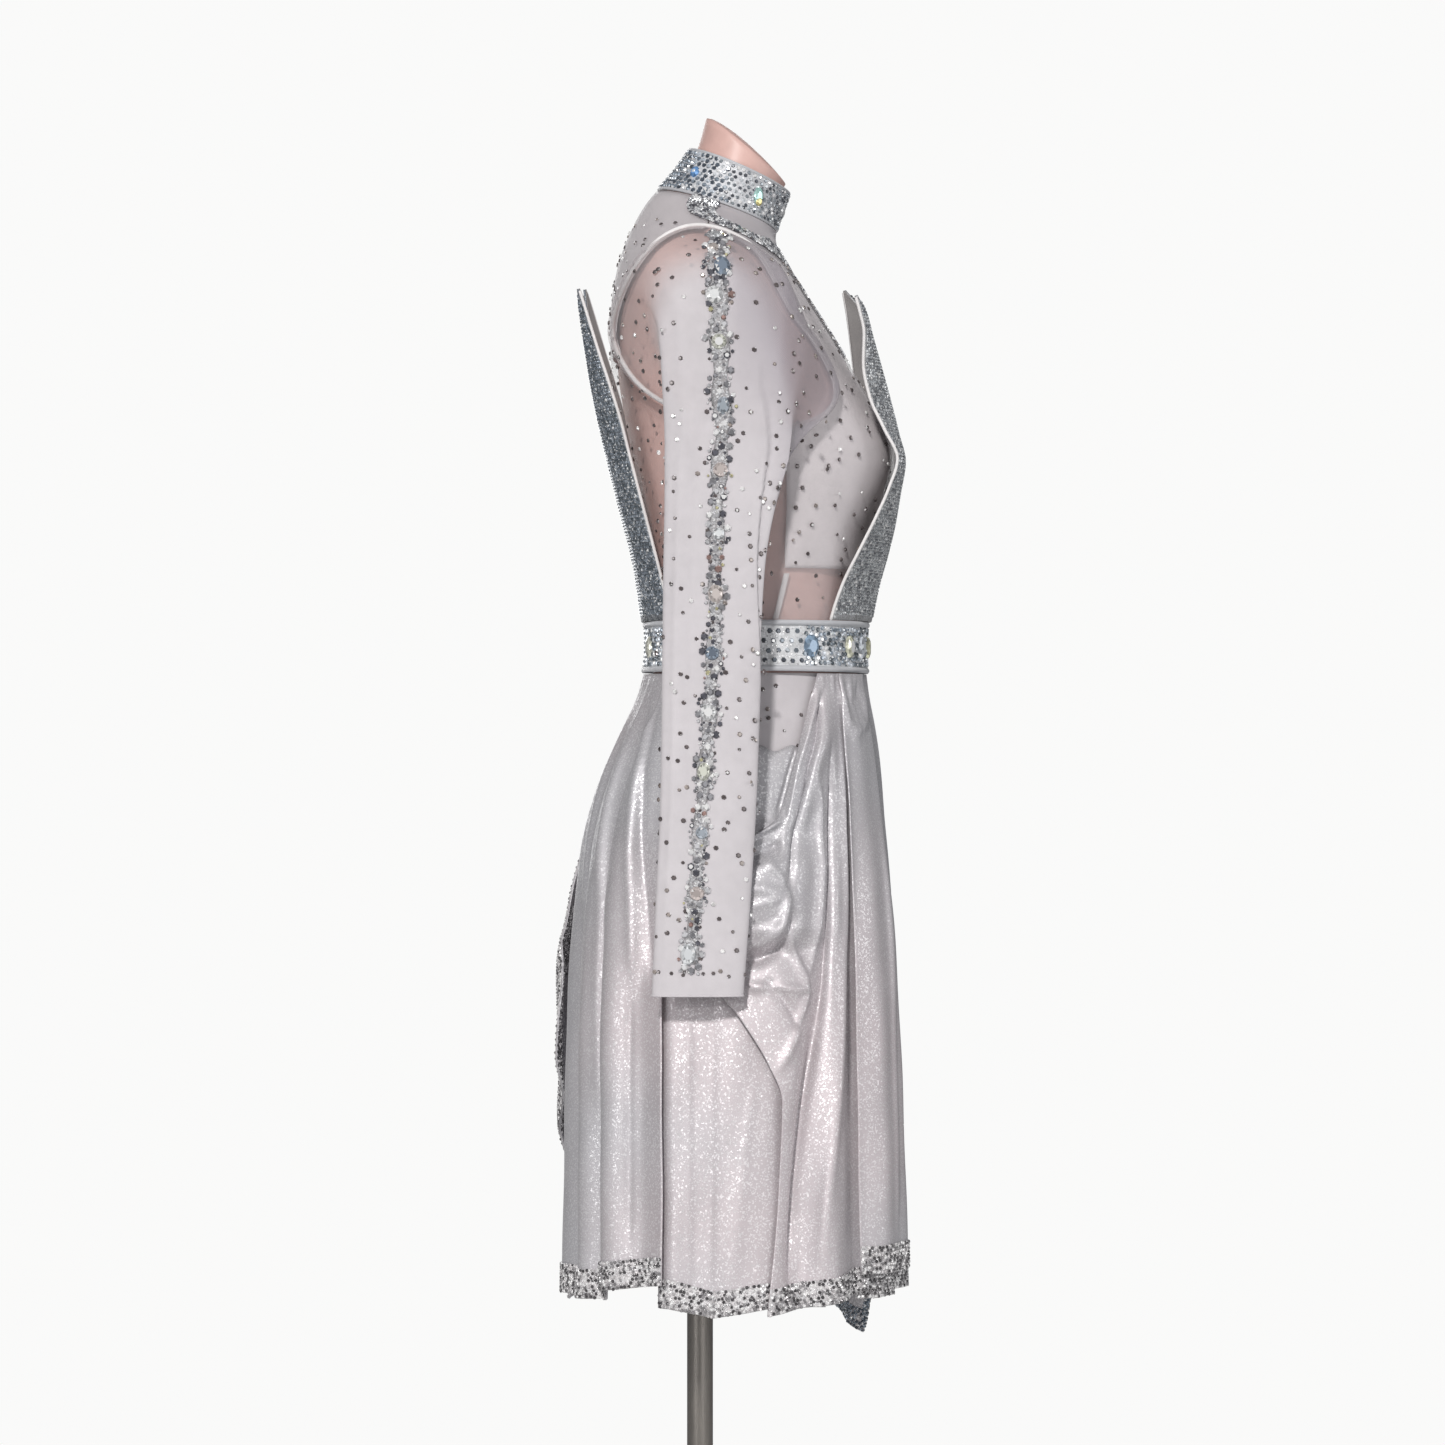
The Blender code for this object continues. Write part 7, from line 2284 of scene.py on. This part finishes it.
class DRESS_OT_skirt(bpy.types.Operator):
    """Build the skirt's satin panels and their stone-trimmed hems"""

    bl_idname = "dress.skirt"
    bl_label = "Skirt panels"

    def execute(self, context):
        sizes, colours = context.scene.dress_sizes, context.scene.dress_colours
        for number, panel in enumerate(PANEL_ROWS):
            points = panel_grid(panel, sizes.crease_depth)
            short = panel.name.removeprefix("skirt_")
            satin = cloth_piece(f"{short}_panel", points, satin_material(colours), wall=sizes.satin_wall)
            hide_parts(panel.name)
            hem = hem_stones(f"{short}_hem_stones", f"hem_{short}", points, sizes, 61 + number,
                             panel.name in HEM_LINES)
        return {"FINISHED"}


class DRESS_OT_drapes(bpy.types.Operator):
    """Build the draped gores that pouch on each hip"""

    bl_idname = "dress.drapes"
    bl_label = "Hip drapes"

    def execute(self, context):
        sizes, colours = context.scene.dress_sizes, context.scene.dress_colours
        for side, tag, seed in ((1, "right", 81), (-1, "left", 82)):
            points = drape_grid(side, sizes.crease_depth)
            satin = cloth_piece(f"hip_drape_{tag}", points, satin_material(colours), wall=sizes.satin_wall)
            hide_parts(f"skirt_drape_{tag}")
            hem = hem_stones(f"drape_hem_stones_{tag}", f"hem_drape_{tag}", points, sizes, seed)
        return {"FINISHED"}


def panel_grid(panel, depth):
    """A panel's grid of points, rows down from its top."""
    count = int((panel.end_angle - panel.start_angle) / PANEL_STEP) + 1
    angles = np.linspace(panel.start_angle, panel.end_angle, count)
    across = np.linspace(0, 1, count)
    hem = panel.hem_at_start + (panel.hem_at_end - panel.hem_at_start) * across
    if panel.name in HEM_LINES:
        hem = np.interp(angles, *HEM_LINES[panel.name])
    elif panel.dip:
        away = np.abs(angles - panel.dip_angle) / DIP_HALF_ANGLE
        hem = hem - panel.dip * np.clip(1 - away, 0, 1)
    top = np.full(count, panel.top)
    if panel.top < WAISTBAND_BOTTOM:
        side = np.abs(wrapped(angles))
        top = top + (WAISTBAND_BOTTOM - panel.top) * smooth_step(96, 112, side)
        top = top + 2.5 * MM * np.sin(np.radians(side) * 26) * smooth_step(100, 92, side)
    top = np.minimum(top, WAISTBAND_BOTTOM - 2 * SEAM_GAP)
    shares = np.linspace(0, 1, PANEL_ROWS_FINE)
    heights = top[None, :] + (hem - top)[None, :] * shares[:, None]
    return satin_points(angles[None, :], heights, panel.layer, depth)


def drape_grid(side, depth):
    """The draped gore in front of the hip, from the gathers to the hem."""
    columns, rows = DRAPE_GRIDS[side]
    across = np.linspace(0, 1, columns)
    hem = np.interp(across, [0, 0.5, 1], [0.512, 0.505, 0.4975])
    top = WAISTBAND_BOTTOM - 2 * SEAM_GAP
    heights = top + (hem - top)[None, :] * np.linspace(0, 1, rows)[:, None]
    edge = DRAPE_EDGE(heights[:, -1])
    angles = DRAPE_FRONT_ANGLE + (edge[:, None] - DRAPE_FRONT_ANGLE) * across[None, :]
    points = satin_points(side * angles, heights, 1, depth, draped=True)
    return points if side > 0 else points[:, ::-1]


# The distance between the hems' stones against their width, and how unevenly they are set
HEM_PITCH = 1.02
HEM_JITTER = 0.10
# How far the ribbon and its stones stand off the middle of the satin, and stones on its wrong side
RIBBON_LIFT = 1.1 * MM
STONE_LIFT = 1.6 * MM
BACK_STONE_LIFT = 0.6 * MM


def stone_ribbon(name, node, low, normals, sizes, seed):
    """A ribbon along an edge of the satin, and a tray with its close-set stones and their spots."""
    grey = backing_material("hem ribbon", (0.56, 0.54, 0.55))
    ribbon = cloth_piece(name, low + normals * RIBBON_LIFT, grey, wall=0.7 * MM)
    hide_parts(node)
    tray = StoneTray(seed)
    spots = bed_spots(low, normals, sizes.hem_stone * HEM_PITCH, tray.random, jitter=HEM_JITTER)
    tray.lay(lift_spots(spots, STONE_LIFT), sizes.hem_stone / 2, HEM_STONES)
    return ribbon, tray, spots


def hem_stones(name, node, points, sizes, seed, both_sides=False):
    """The band along a hem, and if asked stones on its wrong side too, given dark shades as painted shade."""
    down = np.linalg.norm(np.diff(points[:, points.shape[1] // 2], axis=0), axis=1)
    rows = int(round(HEM_BAND / down[-1])) + 1
    normals = face_away(points, grid_normals(points))[-rows:]
    ribbon, tray, spots = stone_ribbon(name.replace("stones", "ribbon"), node, points[-rows:], normals, sizes,
                                       seed)
    if both_sides:
        # Painted shade: the wrong side's stones are given the dark shades
        back = lift_spots(Spots(spots.centre, -spots.out, spots.along), BACK_STONE_LIFT)
        tray.lay(back, sizes.hem_stone / 2, DARK_STONES)
    stones = tray.make(name, stone_material())
    return [ribbon, stones]


# Parts of the cascade's grid: under its ribbon, and where it swings out and shows its wrong side
CASCADE_BAND = np.s_[16:, :11]
CASCADE_SWUNG = np.s_[52:104, :16]


class DRESS_OT_cascade(bpy.types.Operator):
    """Build the free panel at the left back, with its stone-trimmed edge"""

    bl_idname = "dress.cascade"
    bl_label = "Back cascade"

    def execute(self, context):
        sizes, colours = context.scene.dress_sizes, context.scene.dress_colours
        table = curves_of(CASCADE_ROWS)
        heights = np.linspace(CASCADE_ROWS[0].height, CASCADE_ROWS[-1].height, 120)
        edge, swing = table["angle"](heights), table["swing"](heights)
        spread = np.interp(heights, [0.56, 0.75, 1.017], [9.0, 26.0, 14.0])
        across = np.linspace(0, 1, 34)
        angles = edge[:, None] + spread[:, None] * across[None, :]
        points = satin_points(angles, heights[:, None], CASCADE_LAYER, sizes.crease_depth)
        out = unit(points * [1, 1, 0] - [0, -30 * MM, 0])
        points = points + out * (swing[:, None] * (1 - across[None, :]) ** 1.5)[:, :, None]
        points = points - [0, 0, 2 * SEAM_GAP]
        satin = cloth_piece("back_cascade", points, satin_material(colours), wall=sizes.satin_wall)
        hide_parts("skirt_cascade")
        normals = face_away(points, grid_normals(points))
        ribbon, tray, _ = stone_ribbon("cascade_ribbon", "cascade_band", points[CASCADE_BAND],
                                       normals[CASCADE_BAND], sizes, 91)
        back = bed_spots(points[CASCADE_SWUNG], -normals[CASCADE_SWUNG], sizes.hem_stone * HEM_PITCH,
                         tray.random, jitter=HEM_JITTER)
        tray.lay(lift_spots(back, BACK_STONE_LIFT), sizes.hem_stone / 2, HEM_STONES)
        stones = tray.make("cascade_stones", stone_material())
        return {"FINISHED"}


class DRESS_PT_panel(bpy.types.Panel):
    """Lists the dress's sizes, colours and pieces"""

    bl_idname = "DRESS_PT_panel"
    bl_label = "Dance Dress"
    bl_space_type = "VIEW_3D"
    bl_region_type = "UI"
    bl_category = "Dance Dress"

    def draw(self, context):
        layout = self.layout
        scene = context.scene
        for title, settings in (("Sizes", scene.dress_sizes), ("Colours", scene.dress_colours)):
            box = layout.box()
            box.label(text=title)
            for name in settings.__annotations__:
                box.prop(settings, name)
        for operator in OPERATORS:
            layout.operator(operator.bl_idname)


OPERATORS = [
    DRESS_OT_stage,
    DRESS_OT_form,
    DRESS_OT_stand,
    DRESS_OT_bodice,
    DRESS_OT_collar,
    DRESS_OT_waistband,
    DRESS_OT_sleeves,
    DRESS_OT_lapels,
    DRESS_OT_net_stones,
    DRESS_OT_hip_yoke,
    DRESS_OT_skirt,
    DRESS_OT_drapes,
    DRESS_OT_cascade,
]
CLASSES = [DressSizes, DressColours, *OPERATORS, DRESS_PT_panel]


def register():
    for kind in CLASSES:
        bpy.utils.register_class(kind)
    bpy.types.Scene.dress_sizes = PointerProperty(type=DressSizes)
    bpy.types.Scene.dress_colours = PointerProperty(type=DressColours)


def unregister():
    del bpy.types.Scene.dress_colours
    del bpy.types.Scene.dress_sizes
    for kind in reversed(CLASSES):
        bpy.utils.unregister_class(kind)


def main():
    register()
    bpy.ops.dress.stage()
    bpy.ops.dress.form()
    bpy.ops.dress.stand()
    bpy.ops.dress.bodice()
    bpy.ops.dress.collar()
    bpy.ops.dress.waistband()
    bpy.ops.dress.sleeves()
    bpy.ops.dress.lapels()
    bpy.ops.dress.net_stones()
    bpy.ops.dress.hip_yoke()
    bpy.ops.dress.skirt()
    bpy.ops.dress.drapes()
    bpy.ops.dress.cascade()


if __name__ == "__main__":
    main()
